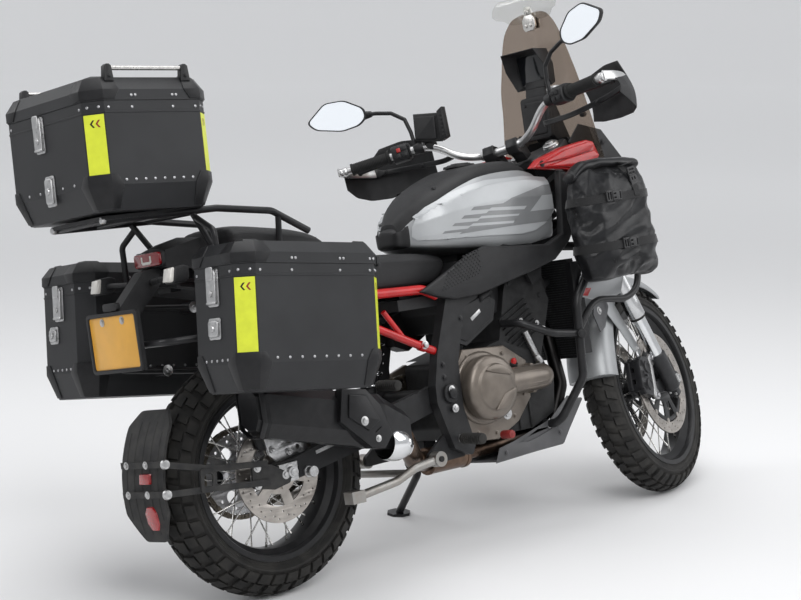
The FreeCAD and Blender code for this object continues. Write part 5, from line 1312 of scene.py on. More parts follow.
for name, length, depth, base, tall, lid, at, pitch in CASES:
    here = case_place(at, pitch)
    lid_low = tall + LID_GAP
    # guards at the bottom of the tub and on the lid
    bm = bmesh.new()
    for sx in (-1, 1):
        for sy in (-1, 1):
            guard(bm, length, depth, [(4, 24, 20), (base, 0, 34), (base + 26, 0, 18)], sx, sy)
    piece(bm, name + "_case_guards", here, guard_black, "chassis", sharp=25, bevel=0.7)
    bm = bmesh.new()
    for sx in (-1, 1):
        for sy in (-1, 1):
            if name == "top" or sx < 0:
                guard(bm, length, depth, [(lid_low + 3, -2, 30), (lid_low + SKIRT, -2, 46),
                                          (lid_low + lid - 1, 19, 30)], sx, sy)
            a, b = sx * (length / 2 - 40), sy * (depth / 2 - 40)
            top_z = lid_low + lid
            raised(bm, [(a + sx * u, b + sy * w, top_z) for u, w in ((8, -40), (8, 4), (-40, 8))],
                   [(a + sx * u, b + sy * w, top_z + 5) for u, w in ((4, -32), (4, 0), (-32, 4))])
    piece(bm, name + "_lid_guards", here, guard_black, name + "_lid", sharp=25, bevel=0.7)
    # rivets: three under each guard, rows along the base and the upper band
    bm = bmesh.new()
    lid_rivets = bmesh.new()
    for sy in (-1, 1):
        for k in range(10):
            x = -length / 2 + CHAMFER + 14 + (length - 2 * CHAMFER - 28) * k / 9
            rivet(bm, (x, sy * (depth / 2), base + 11), (0, sy, 0))
        for x in (-length / 2 + 52, -length / 6, length / 6, length / 2 - 52):
            rivet(bm, (x, sy * (depth / 2), tall - 16), (0, sy, 0))
            for step in (0, 11):
                rivet(lid_rivets, (x + step, sy * (depth / 2 + 2), lid_low + 12), (0, sy, 0))
    for sx in (-1, 1):
        for k in range(7):
            y = -depth / 2 + CHAMFER + 12 + (depth - 2 * CHAMFER - 24) * k / 6
            rivet(bm, (sx * length / 2, y, base + 11), (sx, 0, 0))
        for y in (-depth / 2 + 50, depth / 2 - 50):
            rivet(bm, (sx * length / 2, y, tall - 16), (sx, 0, 0))
            if sx < 0:
                rivet(lid_rivets, (-length / 2 - 2, y, lid_low + 12), (-1, 0, 0))
    for sx in (-1, 1):
        for sy in (-1, 1):
            mid = corner_line(length, depth, 0, 0, sx, sy, 0)
            out = Vector((sx, sy, 0)).normalized()
            for share in (0.25, 0.75):
                p = mid[1].lerp(mid[2], share)
                for z in (base + 10, tall - 14):
                    rivet(bm, (p.x, p.y, z), out)
    piece(bm, name + "_case_rivets", here, rivet_alloy, "chassis", sharp=40)
    piece(lid_rivets, name + "_lid_rivets", here, rivet_alloy, name + "_lid", sharp=40)
    # a folded bead under the lid and a pressed line round the tub
    bm = bmesh.new()
    ring_rows = []
    for z, inset in ((tall - 30, 0), (tall - 29, -1.4), (tall - 26, -1.4), (tall - 25, 0)):
        ring = []
        for sx, sy in ((1, -1), (1, 1), (-1, 1), (-1, -1)):
            line = corner_line(length, depth, z, inset, sx, sy, 0)
            ring += [line[1], line[2]] if sx * sy < 0 else [line[2], line[1]]
        ring_rows.append(ring)
    skin(bm, ring_rows, closed=True, ends=False)
    piece(bm, name + "_case_bead", here, case_black, "chassis", sharp=25)
    # reflective strips with a small double chevron at the top
    outward = {"top": (-1, 1), "right": (-1,), "left": (1,)}[name]
    corners = [(sx, sy) for sx in (-1, 1) for sy in outward]
    low_z, high_z = base + 20, tall - 32
    for k, (sx, sy) in enumerate(corners):
        mid = corner_line(length, depth, 0, 0, sx, sy, 0)
        out = Vector((sx, sy, 0)).normalized()
        along = (mid[2] - mid[1]).normalized()
        centre = (mid[1] + mid[2]) / 2

        def on_corner(u, z, lift):
            p = centre + along * u + out * lift
            return Vector((p.x, p.y, z))

        bm = bmesh.new()
        shape = [(-25, low_z), (25, low_z), (25, high_z), (-25, high_z)]
        raised(bm, [on_corner(u, z, 0.1) for u, z in shape], [on_corner(u * 0.98, z, 0.9) for u, z in shape])
        piece(bm, f"{name}_strip_{k}", here, strip_yellow, "chassis", sharp=30)
        for label, shift, paint in (("black", 4, strip_black), ("red", -10, strip_red)):
            bm = bmesh.new()
            arrow = [(shift - 5, 9), (shift, 9), (shift + 7, 0), (shift, -9), (shift - 5, -9), (shift + 2, 0)]
            raised(bm, *[[on_corner(u, high_z - 22 + w, lift) for u, w in arrow] for lift in (0.85, 1.15)])
            piece(bm, f"{name}_chevron_{k}_{label}", here, paint, "chassis", sharp=30)

# Case latches and rack clamps: bright pressed steel, a hooked lever over a lock barrel on a riveted back
# plate
latch_steel = finish("bright latch steel", (0.46, 0.46, 0.46), 0.3, metal=0.95, vary=0.12, patch=60,
                     grain=2600, bump=0.08)
# case, y, lowest and highest z, width, depth
LATCHES = [("top", 26, 168, 256, 40, 13), ("top", 0, 34, 108, 40, 15), ("right", 0, 206, 294, 42, 13),
           ("right", 0, 128, 178, 46, 15), ("left", 0, 206, 294, 42, 13), ("left", 30, 148, 192, 40, 15)]
for k, (name, y, low, high, wide, deep) in enumerate(LATCHES):
    row = [case for case in CASES if case[0] == name][0]
    here = case_place(row[6], row[7])
    rear = -row[1] / 2
    bm = bmesh.new()
    facing_back(bm, [round_box(y - wide / 2, y + wide / 2, low, high, 5)], rear - 3.4, rear - 0.2, edge=0.7)
    lever = high - low > 60 and low > 100
    if lever:
        facing_back(bm, [round_box(y - wide / 2 + 5, y + wide / 2 - 5, low + 8, high - 4, 6)], rear - 11,
                    rear - 3, edge=2.2)
        facing_back(bm, [round_box(y - wide / 2 + 9, y + wide / 2 - 9, high - 26, high + 4, 4)], rear - 14,
                    rear - 9, edge=1.4)
        rod(bm, (rear - 11, y, low + 30), (rear - 14.5, y, low + 30), 8.5, 8, sides=28)
        rod(bm, (rear - 14.5, y, low + 30), (rear - 15, y, low + 30), 4.5, 4, sides=20)
        box(bm, (rear - 15.4, y - 0.9, low + 26), (rear - 14.6, y + 0.9, low + 34))
        rod(bm, (rear - 8, y - wide / 2 + 2, low + 8), (rear - 8, y + wide / 2 - 2, low + 8), 3.6, sides=16)
    else:
        facing_back(bm, [round_box(y - wide / 2 + 6, y + wide / 2 - 6, low + 8, high - 8, 5)], rear - 10,
                    rear - 3, edge=2.4)
        rod(bm, (rear - 10, y, (low + high) / 2), (rear - 15, y, (low + high) / 2), 9, 7.5, sides=28)
    for sy in (-1, 1):
        for z in (low + 5, high - 5):
            rivet(bm, (rear - 3.2, y + sy * (wide / 2 - 4.4), z), (-1, 0, 0), 2.6)
    piece(bm, f"{name}_latch_{k}", here, latch_steel, "chassis", ["case_latches"], sharp=30,
          bevel=0.4)

# Grab bars: stainless tube along both sides of the top lid, in black end blocks
row = CASES[0]
here = case_place(row[6], row[7])
lid_top = row[4] + LID_GAP + row[5]
bars, blocks = bmesh.new(), bmesh.new()
for y in (-row[2] / 2 + 16, row[2] / 2 - 16):
    rod(bars, (-108, y, lid_top + 22), (108, y, lid_top + 22), 5.6, sides=24)
    for x in (-116, 104):
        cut_sheet(blocks, [[(x - 6, lid_top - 9), (x + 18, lid_top - 9), (x + 14, lid_top + 26),
                            (x + 9, lid_top + 30), (x + 3, lid_top + 30), (x - 2, lid_top + 26)]], y - 9,
                  y + 9, edge=1.5)
        out = -1 if y < 0 else 1
        bolt(blocks, (x + 6, y + out * 8.5, lid_top + 3), (0, out, 0), 4.5, 3)
piece(bars, "grab_tubes", here, stainless, "top_lid", ["lid_grab_bars"], sharp=35)
piece(blocks, "grab_blocks", here, guard_black, "top_lid", ["lid_grab_bars"], sharp=30,
      bevel=0.8)

# Rear flap: grey textured moulding that follows the tyre, held by two flat steel bars; two red reflectors
flap_grey = finish("grey flap moulding", (0.030, 0.030, 0.031), 0.66, vary=0.3, patch=34, grain=700,
                   bump=0.55, second=(0.055, 0.053, 0.050), share=0.8)
dress(flap_grey, "rear_mudguard")


def on_flap(y, z, r):
    """A point on the flap's curved face at a distance r from the rear axle."""
    return Vector((-math.sqrt(max(1.0, r * r - (z - 321) ** 2)), y, z))


def flap_plate(bm, outline, low, high):
    """A raised plate on the flap, between two distances from the rear axle."""
    raised(bm, [on_flap(y, z, low) for y, z in outline],
           [on_flap(y * 0.96, 0.96 * z + 0.04 * outline[0][1], high) for y, z in outline])


bm = bmesh.new()
flap_plate(bm, [(-42, 354), (4, 354), (4, 380), (-42, 380)], 358.5, 366)
flap_plate(bm, [(-36, 236), (-12, 236), (0, 254), (0, 282), (-12, 298), (-36, 298), (-48, 282), (-48, 254)],
           358.5, 364)
piece(bm, "flap_reflectors", UPRIGHT, reflex_red, "chassis", sharp=30, bevel=1.0)
bm = bmesh.new()
for z_end, x_end in ((404, -368), (330, -374)):
    for y in (-52, 36):
        bolt(bm, (x_end - 6, y, z_end), (-1, 0, 0), 6.5, 4.5)
    rod(bm, (x_end - 3, -134, z_end), (x_end - 3, -142, z_end), 13, 11, sides=28)
for x, z in ((-106, 350), (-110, 306), (-20, 318)):
    bolt(bm, (x, -145.6, z), (0, -1, 0), 7.5, 5)
piece(bm, "flap_bolts", UPRIGHT, worn_alloy, "chassis", sharp=30, bevel=0.4)
bm = bmesh.new()
for y in (-70, -36, 0, 36, 70):
    rows = []
    for k in range(15):
        z = 262 + (480 - 262) * k / 14 if abs(y) > 40 else 225 + (505 - 225) * k / 14
        rows.append([on_flap(y - 2.2, z, 358.6), on_flap(y, z, 360.4), on_flap(y + 2.2, z, 358.6)])
    skin(bm, rows, ends=False)
piece(bm, "flap_ribs", UPRIGHT, flap_grey, "chassis", sharp=50)

# Silencer: black steel box with chamfered edges, two end bands and a bolted heat shield
dress(satin_black, "silencer")
bm = bmesh.new()
cut_sheet(bm, [[(86, 434), (104, 514), (180, 502), (219, 458), (247, 376), (219, 346), (176, 354)],
               [(193, 386), (217, 398), (215, 403), (191, 391)]], -268, -262, edge=1.6)
cut_sheet(bm, [[(112, 442), (122, 496), (174, 486), (208, 420), (170, 400)]], -274, -268, edge=2.2)
piece(bm, "shield_face", UPRIGHT, guard_black, "chassis", sharp=30, bevel=0.8)
bm = bmesh.new()
bolt(bm, (158, -274, 424), (0, -1, 0), 8, 5)
bolt(bm, (200, -268, 372), (0, -1, 0), 6, 4)
piece(bm, "shield_bolts", UPRIGHT, worn_alloy, "chassis", sharp=30, bevel=0.4)
bm = bmesh.new()
for x, y, z in ((-140, -205, 500), (210, -201, 419)):
    rows = []
    for dx, grow in ((-7, 0.97), (-7, 1.035), (7, 1.035), (7, 0.97)):
        rows.append([Vector((x + dx, y + u * grow * 0.97, z - dx * 0.26 + w * grow * 0.97)) for u,
                     w in ((-52, -34), (-52, 44), (-22, 72), (34, 72), (52, 44), (52, -50), (20, -72),
                           (-26, -72), (-52, -34))])
    skin(bm, rows + rows[:1], ends=False)
piece(bm, "silencer_bands", UPRIGHT, satin_black, "chassis", sharp=30, bevel=0.8)


# Crash bars: black steel tube hoops round the engine, bolted at the frame, with plastic end plugs
dress(satin_black, "crash_bars")
bm = bmesh.new()
for side in (-1, 1):
    bolt(bm, (953, side * 152, 568), (0, side, 0), 8, 6)
    bolt(bm, (930, side * 150, 300), (0, side, 0), 9, 7)
piece(bm, "crash_bar_bolts", UPRIGHT, worn_alloy, "chassis", sharp=30, bevel=0.5)
bm = bmesh.new()
for side in (-1, 1):
    rod(bm, (1005, side * 246, 545), (998, side * 262, 545), 15, 13, sides=28)
    rod(bm, (998, side * 262, 545), (996, side * 265, 545), 13, 8, sides=28)
piece(bm, "crash_bar_plugs", UPRIGHT, moulded_black, "chassis", sharp=40, bevel=1.0)

# Crash bar bags: filled roll-top bags of coated black cloth, belted to the bars by webbing straps with side
# release buckles. A short cloth run under pressure fills them out, and folds are pressed in after it.
bag_cloth = finish("coated bag cloth", (0.0065, 0.0068, 0.0078), 0.33, vary=0.3, patch=26, grain=1500,
                   bump=0.22, sheen=0.03, rough_vary=0.16)
webbing = finish("bag webbing", (0.005, 0.005, 0.0055), 0.72, vary=0.2, patch=120, grain=2400, bump=0.5,
                 sheen=0.2)
buckle_black = finish("bag buckle plastic", (0.017, 0.017, 0.018), 0.3, vary=0.12, patch=80, grain=900,
                      bump=0.06)
# share of the height, share of the length, share of the depth, shift along x
BAG_LEVELS = ((0.0, 0.60, 0.50, 6), (0.015, 0.76, 0.70, 6), (0.06, 0.89, 0.88, 5), (0.15, 0.96, 0.95, 4),
              (0.32, 0.99, 0.98, 2), (0.52, 0.985, 0.96, 0), (0.68, 0.965, 0.93, -2), (0.78, 0.94, 0.86, -3),
              (0.86, 0.91, 0.72, -3), (0.93, 0.87, 0.52, 0), (0.975, 0.83, 0.36, 3), (1.0, 0.80, 0.20, 4))
BAG_X, BAG_Y, BAG_Z = (978, 1304), (246, 352), (678, 1016)


def filled(bm, stance, voxel, pressure, most):
    """Fills a closed skin like a packed bag with a short cloth run, and returns its mesh in the world."""
    mesh = bpy.data.meshes.new("soft")
    bm.to_mesh(mesh)
    bm.free()
    mesh.transform(stance)
    soft = bpy.data.objects.new("soft", mesh)
    scene.collection.objects.link(soft)
    even = soft.modifiers.new("even mesh", "REMESH")
    even.mode = "VOXEL"
    even.voxel_size = voxel
    bpy.context.view_layer.update()
    ready = bpy.data.meshes.new_from_object(soft.evaluated_get(bpy.context.evaluated_depsgraph_get()))
    soft.modifiers.clear()
    soft.data = ready
    start = [v.co.copy() for v in ready.vertices]
    cloth = soft.modifiers.new("fill", "CLOTH")
    cloth.settings.use_pressure = True
    cloth.settings.uniform_pressure_force = pressure
    cloth.settings.effector_weights.gravity = 0
    cloth.settings.quality = 6
    cloth.settings.mass = 0.3
    cloth.point_cache.frame_start = 1
    cloth.point_cache.frame_end = 20
    for frame in range(1, 21):
        scene.frame_set(frame)
    grown = bpy.data.meshes.new_from_object(soft.evaluated_get(bpy.context.evaluated_depsgraph_get()))
    soft.modifiers.clear()
    for v, was, now in zip(ready.vertices, start, grown.vertices):
        step = now.co - was
        if step.length > most:
            step *= most / step.length
        v.co = was + step
    scene.frame_set(1)
    out = bmesh.new()
    out.from_mesh(ready)
    bpy.data.objects.remove(soft)
    return out


def fall(x):
    """How far the mouth of a bag drops at x towards its rear end."""
    return 46 * max(0.0, (1062 - x) / 84) ** 1.5


def squarish(value, power):
    """A sine or cosine bent so that its circle turns into a rounded square."""
    return math.copysign(abs(value) ** power, value)


def bag_blank():
    """The sewn shape of the right bag before it is filled."""
    rings = []
    for share, long, deep, shift in BAG_LEVELS:
        z = BAG_Z[0] + (BAG_Z[1] - BAG_Z[0]) * share
        ring = []
        for a in turns(48):
            u = squarish(math.cos(a), 0.55) * long * (BAG_X[1] - BAG_X[0]) / 2
            w = squarish(math.sin(a), 0.6) * deep * (BAG_Y[1] - BAG_Y[0]) / 2
            x = sum(BAG_X) / 2 + shift + u
            ring.append((x, -sum(BAG_Y) / 2 + 6 * share + w, z - fall(x) * share ** 2))
        rings.append(ring)
    bm = bmesh.new()
    skin(bm, rings, closed=True)
    return bm


def fold(p, seed):
    """How far the cloth stands in or out at a point, in millimetres: long slanting folds and small dents."""
    along = Vector((p.x * 0.0055 + p.z * 0.0028, p.y * 0.004, p.z * 0.0125 - p.x * 0.0045))
    deep = noise.noise(along * 1.4 + Vector((seed, 0, 0)))
    fine = noise.noise(along * 3.4 + Vector((0, seed, 3)))
    return 4.6 * (1 - abs(deep) * 3.6) + 2.6 * fine - 2.4


blank = filled(bag_blank(), UPRIGHT, 0.0065, 4.0, 0.012)
to_bike = UPRIGHT.inverted()
for v in blank.verts:
    v.co = to_bike @ v.co
bag_trees = {}
for side, label in SIDES:
    bm = blank.copy()
    bm.normal_update()
    moves = [(v, v.co + v.normal * fold(v.co, 1.7 + side)) for v in bm.verts]
    for v, to in moves:
        v.co = Vector((to.x, min(to.y, -240.5), to.z))
    if side > 0:
        for v in bm.verts:
            v.co.y = -v.co.y
        bmesh.ops.reverse_faces(bm, faces=bm.faces)
    bag_trees[side] = BVHTree.FromBMesh(bm)
    bag = piece(bm, "bag_" + label, UPRIGHT, bag_cloth, "chassis", ["crash_bar_bags"], sharp=0,
                smooth=1)
blank.free()


def belt(bm, side, centre, width, loops=96):
    """A strap pulled tight round a bag: a ring of points on its skin, smoothed, as a flat band."""
    tree = bag_trees[side]
    rows = []
    for share in (-0.5, 0.5):
        radii, rays = [], []
        for a in turns(loops):
            way = Vector((math.cos(a), math.sin(a), 0.02 * math.cos(a)))
            middle = Vector(centre) + Vector((0, 0, share * width))
            hit = tree.ray_cast(middle + way * 260, -way.normalized())
            radii.append((hit[0] - middle).length / way.length if hit[0] is not None else 80.0)
            rays.append((middle, way))
        for _ in range(3):
            radii = [max(radii[k], (radii[k - 1] + radii[(k + 1) % loops]) / 2) for k in range(loops)]
        rows.append((radii, rays))
    rings = []
    for (radii, rays), grow in ((rows[0], 1.2), (rows[1], 1.2), (rows[1], 2.8), (rows[0], 2.8)):
        rings.append([m + w * (r + grow) for r, (m, w) in zip(radii, rays)])
    skin(bm, rings + rings[:1], closed=True, ends=False)


def on_bag(side, x, z, lift=0.0):
    """A point on the outer face of a bag, in the bike's frame."""
    hit = bag_trees[side].ray_cast(Vector((x, side * 500, z)), Vector((0, -side, 0)))
    y = hit[0].y if hit[0] is not None else side * 345
    return Vector((x, y + side * lift, z))


def buckle(bm, side, x, z, turn):
    """A side release buckle over a strap: ladder plate, two hooked arms and a centre tongue."""
    at = on_bag(side, x, z, 3.4)
    here = Matrix.Translation(at) @ Matrix.Rotation(math.radians(turn), 4,
                                                    "Y") @ Matrix.Scale(side, 4, (0, 1, 0))
    cut_sheet(bm, [round_box(-30, -6, -15, 15, 3), round_box(-26, -20, -11, 11, 1.5),
                   round_box(-16, -10, -11, 11, 1.5)], 0, 5, frame_of=here, edge=1)
    cut_sheet(bm, [[(-6, -13), (6, -15), (16, -12), (20, -13), (20, 13), (16, 12), (6, 15), (-6, 13)],
                   [(-2, -8), (8, -9), (8, -3), (-2, -3)], [(-2, 3), (8, 3), (8, 9), (-2, 8)]], 0.4, 6.4,
              frame_of=here, edge=1)
    cut_sheet(bm, [round_box(20, 31, -14, 14, 3), round_box(23, 28, -10, 10, 1.5)], 0.2, 5.4, frame_of=here,
              edge=0.8)


for side, label in SIDES:
    middle = (sum(BAG_X) / 2, side * sum(BAG_Y) / 2)
    bm = bmesh.new()
    belt(bm, side, (*middle, 916), 23)
    belt(bm, side, (*middle, 781), 24)
    # the roll's own strap, over the top and down the outer face
    rows = []
    for k in range(26):
        s = k / 25
        x = 1196 + 4 * s
        if s < 0.3:
            p = Vector((x, side * (262 + 70 * s), 1016 + 6 * math.sin(s * 9)))
        else:
            p = on_bag(side, x, 1012 - 100 * (s - 0.3) / 0.7, 1.6)
        rows.append([p + Vector(q) for q in ((-11, 0, 0), (11, 0, 0), (11, side * 1.6, 1),
                                             (-11, side * 1.6, 1))])
    skin(bm, rows, closed=True)
    piece(bm, "bag_straps_" + label, UPRIGHT, webbing, "chassis", sharp=45)
    bm = bmesh.new()
    buckle(bm, side, 1099, 919, 0)
    buckle(bm, side, 1136, 781, 0)
    buckle(bm, side, 1197, 966, 82)
    piece(bm, "bag_buckles_" + label, UPRIGHT, buckle_black, "chassis", sharp=30, bevel=0.5)
    # the rolled mouth of the bag: a flat tube of cloth turned over on itself
    bm = bmesh.new()
    rows = []
    for k in range(33):
        s = k / 32
        x = 1000 + 280 * s
        lift = 8 * math.sin(math.pi * s) - fall(x) + 2.5 * noise.noise(Vector((x * 0.02, side, 0)))
        row = []
        for j in range(22):
            a = 2 * math.pi * j / 22
            wide = 21 + 1.6 * noise.noise(Vector((x * 0.03, j * 0.5, side)))
            row.append(Vector((x, side * (286 + (wide + 4) * math.cos(a)),
                               1010 + lift + (wide - 5) * math.sin(a))))
        rows.append(row)
    skin(bm, rows, closed=True)
    roll = piece(bm, "bag_roll_" + label, UPRIGHT, bag_cloth, "chassis", sharp=60, smooth=1)

# Upper crash bar rails: black tubes that run forward under the bags and turn up to the nose, and the silver
# shroud behind each one with its plain red block
def bent_tube(bm, corners, bend, shares, steps, radii, flat, sides):
    """A round tube through corners, bent at each one; radii are its thickness as a rule of a point on it."""
    corners = [Vector(p) for p in corners]
    path = [corners[0]]
    for p, q, r in zip(corners, corners[1:], corners[2:]):
        reach = min(bend, (p - q).length * shares, (r - q).length * shares)
        a, b = q + (p - q).normalized() * reach, q + (r - q).normalized() * reach
        path += [a.lerp(q, k / steps).lerp(q.lerp(b, k / steps), k / steps) for k in range(steps + 1)]
    path.append(corners[-1])
    rings = []
    for k, p in enumerate(path):
        ahead = (path[min(k + 1, len(path) - 1)] - path[max(k - 1, 0)]).normalized()
        one = ahead.cross(Vector(flat)).normalized()
        two = ahead.cross(one)
        rings.append([p + (one * math.cos(a) + two * math.sin(a)) * radii(p) for a in turns(sides)])
    skin(bm, rings, closed=True)


for side, label in SIDES:
    bm = bmesh.new()
    corners = ((1008, side * 242, 556), (1084, side * 238, 634), (1236, side * 226, 620),
               (1300, side * 214, 646), (1338, side * 196, 716), (1338, side * 150, 830))
    bent_tube(bm, corners, 46, 0.48, 7, lambda p: 10, (0, 1, 0), 24)
    piece(bm, "crash_rail_" + label, UPRIGHT, satin_black, "chassis", sharp=50)
    bm = bmesh.new()
    side_sheet(bm, [[(1082, 652), (1104, 700), (1150, 740), (1268, 744), (1284, 690), (1262, 640),
                     (1216, 626), (1140, 634)]], side, 176, 182, edge=2)
    piece(bm, "side_shroud_" + label, UPRIGHT, silver, "chassis", sharp=35, bevel=2.0)
    bm = bmesh.new()
    side_sheet(bm, [[(1098, 648), (1116, 668), (1140, 666), (1122, 645)]], side, 181.6, 182.6, edge=0.2)
    piece(bm, "side_shroud_block_" + label, UPRIGHT, red_enamel, "chassis", sharp=35)


# Nose: black moulded fairing and cheeks, a stacked pair of lamps behind a clear cover, and the hooded display
dress(moulded_black, "nose_fairing")
lamp_chrome = finish("lamp reflector", (0.60, 0.60, 0.61), 0.12, metal=1.0, vary=0.05, patch=60, grain=900,
                     bump=0.03)
display_glass = finish("display glass", (0.006, 0.007, 0.009), 0.08, vary=0.05, patch=20, grain=400,
                       bump=0.02, coat=0.6)


def see_through(name, tint, rough, thin):
    """Clear or smoked plastic: mostly straight through, with a clear coat and faint scratches."""
    m = bpy.data.materials.new(name)
    m.use_nodes = True
    tree = m.node_tree
    shader = tree.nodes["Principled BSDF"]
    shader.inputs["Base Color"].default_value = (*tint, 1)
    shader.inputs["Roughness"].default_value = rough
    shader.inputs["IOR"].default_value = 1.45
    shader.inputs["Transmission Weight"].default_value = thin
    grain = tree.nodes.new("ShaderNodeTexNoise")
    grain.inputs["Scale"].default_value = 900
    spread = tree.nodes.new("ShaderNodeMapRange")
    spread.inputs["To Min"].default_value = rough * 0.7
    spread.inputs["To Max"].default_value = rough * 1.6
    tree.links.new(grain.outputs["Fac"], spread.inputs["Value"])
    tree.links.new(spread.outputs["Result"], shader.inputs["Roughness"])
    clear = tree.nodes.new("ShaderNodeBsdfTransparent")
    clear.inputs["Color"].default_value = (*tint, 1)
    mix = tree.nodes.new("ShaderNodeMixShader")
    mix.inputs["Fac"].default_value = 0.16
    tree.links.new(clear.outputs[0], mix.inputs[1])
    tree.links.new(shader.outputs[0], mix.inputs[2])
    tree.links.new(mix.outputs[0], tree.nodes["Material Output"].inputs["Surface"])
    return m


smoke = see_through("smoke screen", (0.58, 0.52, 0.47), 0.05, 0.9)
clear_sheet = see_through("clear screen", (0.90, 0.90, 0.89), 0.03, 0.95)
bm = bmesh.new()
skin(bm, [[Vector((x, y * w, z)) for y, z in ((0, top), (0.7, top - 3), (1, top - 14),
                                              (1.05, (low + top) / 2), (0.9, low + 8), (0.55, low), (0, low),
                                              (-0.55, low), (-0.9, low + 8), (-1.05, (low + top) / 2),
                                              (-1, top - 14), (-0.7, top - 3))] for x, w, low,
          top in ((1404, 82, 948, 1030), (1428, 80, 950, 1028), (1436, 74, 954, 1022))], closed=True)
piece(bm, "lamp_case", UPRIGHT, moulded_black, "chassis", ["headlight"], sharp=30, bevel=1.0)
bm = bmesh.new()
for y in (-37, 37):
    rod(bm, (1434, y, 990), (1438, y, 990), 29, 27, sides=48)
    rod(bm, (1438, y, 990), (1440.5, y, 990), 24, 19, sides=48)
piece(bm, "lamp_bowls", UPRIGHT, lamp_chrome, "chassis", sharp=40)
bm = bmesh.new()
for y in (-37, 37):
    rod(bm, (1440, y, 990), (1445, y, 990), 18, 13, sides=40)
    rod(bm, (1445, y, 990), (1447, y, 990), 13, 5, sides=40)
piece(bm, "lamp_lenses", UPRIGHT, clear_lens, "chassis", ["headlight"], sharp=70)

# Display: a flat screen set deep in a hooded black case on a stay, with a fuse box plate below it
bm = bmesh.new()
DISPLAY_TILT = tipped((1196, 0, 1330), -8)
FACE = [(-68, 1284), (68, 1284), (76, 1340), (64, 1388), (-64, 1388), (-76, 1340)]
rows = []
for x_top, x_low, grow, shift in ((1228, 1228, 0.9, 0), (1224, 1224, 1.0, 0), (1160, 1200, 1.1, 5),
                                  (1160, 1200, 1.06, 5), (1216, 1216, 0.94, 0)):
    row = []
    for y, z in FACE:
        share = (z - 1284) / 104
        row.append(Vector((x_low + (x_top - x_low) * share, y * grow,
                           1336 + (z - 1336) * grow + shift * share)))
    rows.append(row)
skin(bm, rows, closed=True)
bmesh.ops.transform(bm, matrix=DISPLAY_TILT, verts=bm.verts)
piece(bm, "display_hood", UPRIGHT, moulded_black, "chassis", ["dash"], sharp=30, bevel=1.6)
bm = bmesh.new()
facing_back(bm, [round_box(-58, 58, 1292, 1378, 7)], 1211, 1215, edge=0.8)
bmesh.ops.transform(bm, matrix=DISPLAY_TILT, verts=bm.verts)
piece(bm, "display_screen", UPRIGHT, display_glass, "chassis", ["dash"], sharp=30)
bm = bmesh.new()
cut_sheet(bm, [[(1206, 1250), (1214, 1300), (1230, 1300), (1232, 1250), (1288, 1112), (1262, 1092),
                (1206, 1150)]], -42, 42, edge=3)
facing_back(bm, [round_box(-54, 54, 1128, 1252, 9)], 1192, 1208, edge=3)
facing_back(bm, [round_box(-44, 44, 1142, 1238, 6)], 1189, 1193, edge=1.5)
for y in (-34, 34):
    rod(bm, (1189, y, 1232), (1186, y, 1232), 5, 4, sides=20)
piece(bm, "display_stay", UPRIGHT, moulded_black, "chassis", ["dash"], sharp=30, bevel=1.0)
bm = bmesh.new()
for side in (-1, 1):
    cut_sheet(bm, [[(1190, 1100), (1240, 1150), (1330, 1128), (1404, 1040), (1380, 1010), (1270, 1040)]],
              side * 126 - 3, side * 126 + 3, edge=2)
    bolt(bm, (1330, side * 129.5, 1092), (0, side, 0), 7, 4)
piece(bm, "nose_inner_panels", UPRIGHT, moulded_black, "chassis", sharp=30, bevel=0.8)

# Windscreen: smoked plastic sheet rolled to one radius, on four rubber-bushed screws, with a clear extension
# clamped to its top edge by a bright bracket
SCREEN = [(1040, 204), (1090, 199), (1137, 192), (1220, 176), (1290, 164), (1350, 147), (1400, 132),
          (1436, 119), (1462, 106), (1482, 90), (1496, 74), (1504, 56), (1508, 36)]


def on_screen(y, z, lift=0.0):
    """A point on the rolled sheet, lifted off its rear face."""
    r = 290 + lift
    return Vector((1040 - 0.22 * (z - 1010) + 1.0239 * math.sqrt(r * r - y * y), y, z))


bm = bmesh.new()
rows = []
for k in range(57):
    share = k / 56
    z = 1040 + (1508 - 1040) * (1 - (1 - share) ** 1.35)
    w = between([(a, b) for a, b in SCREEN], z)[0]
    row = [on_screen(-w + 2 * w * j / 30, z, 4.0) for j in range(31)]
    row += [on_screen(w - 2 * w * j / 30, z, 0.0) for j in range(31)]
    rows.append(row)
skin(bm, rows, closed=True)
piece(bm, "smoke_screen", UPRIGHT, smoke, "chassis", ["windscreen"], sharp=50)
bm = bmesh.new()
for side in (-1, 1):
    for y, z in ((120, 1180), (140, 1082)):
        rod(bm, on_screen(side * y, z, -1), on_screen(side * y, z, -7), 8.5, 7.5, sides=28)
        rod(bm, on_screen(side * y, z, 5), on_screen(side * y, z, 8), 8, 6.5, sides=28)
piece(bm, "screen_grommets", UPRIGHT, moulded_black, "chassis", sharp=40, bevel=0.5)
bm = bmesh.new()
half = [(60, 1484), (86, 1488), (103, 1502), (126, 1508), (137, 1520), (132, 1540), (118, 1556), (100, 1562)]
outline = half + [(-y, z) for y, z in reversed(half)]
rows = []
for x in (0.0, 3.5):
    rows.append([Vector((1236 + x - 0.14 * (z - 1484) - 0.0014 * y * y, y, z)) for y, z in outline])
under, over = [[bm.verts.new(p) for p in row] for row in rows]
for i in range(len(outline)):
    j = (i + 1) % len(outline)
    bm.faces.new((under[i], under[j], over[j], over[i]))
for i in range(len(half) - 1):
    j = len(outline) - 1 - i
    bm.faces.new((under[i], under[i + 1], under[j - 1], under[j]))
    bm.faces.new((over[i + 1], over[i], over[j], over[j - 1]))
piece(bm, "clear_extension", UPRIGHT, clear_sheet, "chassis", ["windscreen"], sharp=30)
bm = bmesh.new()
facing_back(bm, [[(-17, 1456), (17, 1456), (24, 1466), (24, 1488), (14, 1500), (-14, 1500), (-24, 1488),
                  (-24, 1466)]], 1218, 1227, edge=2)
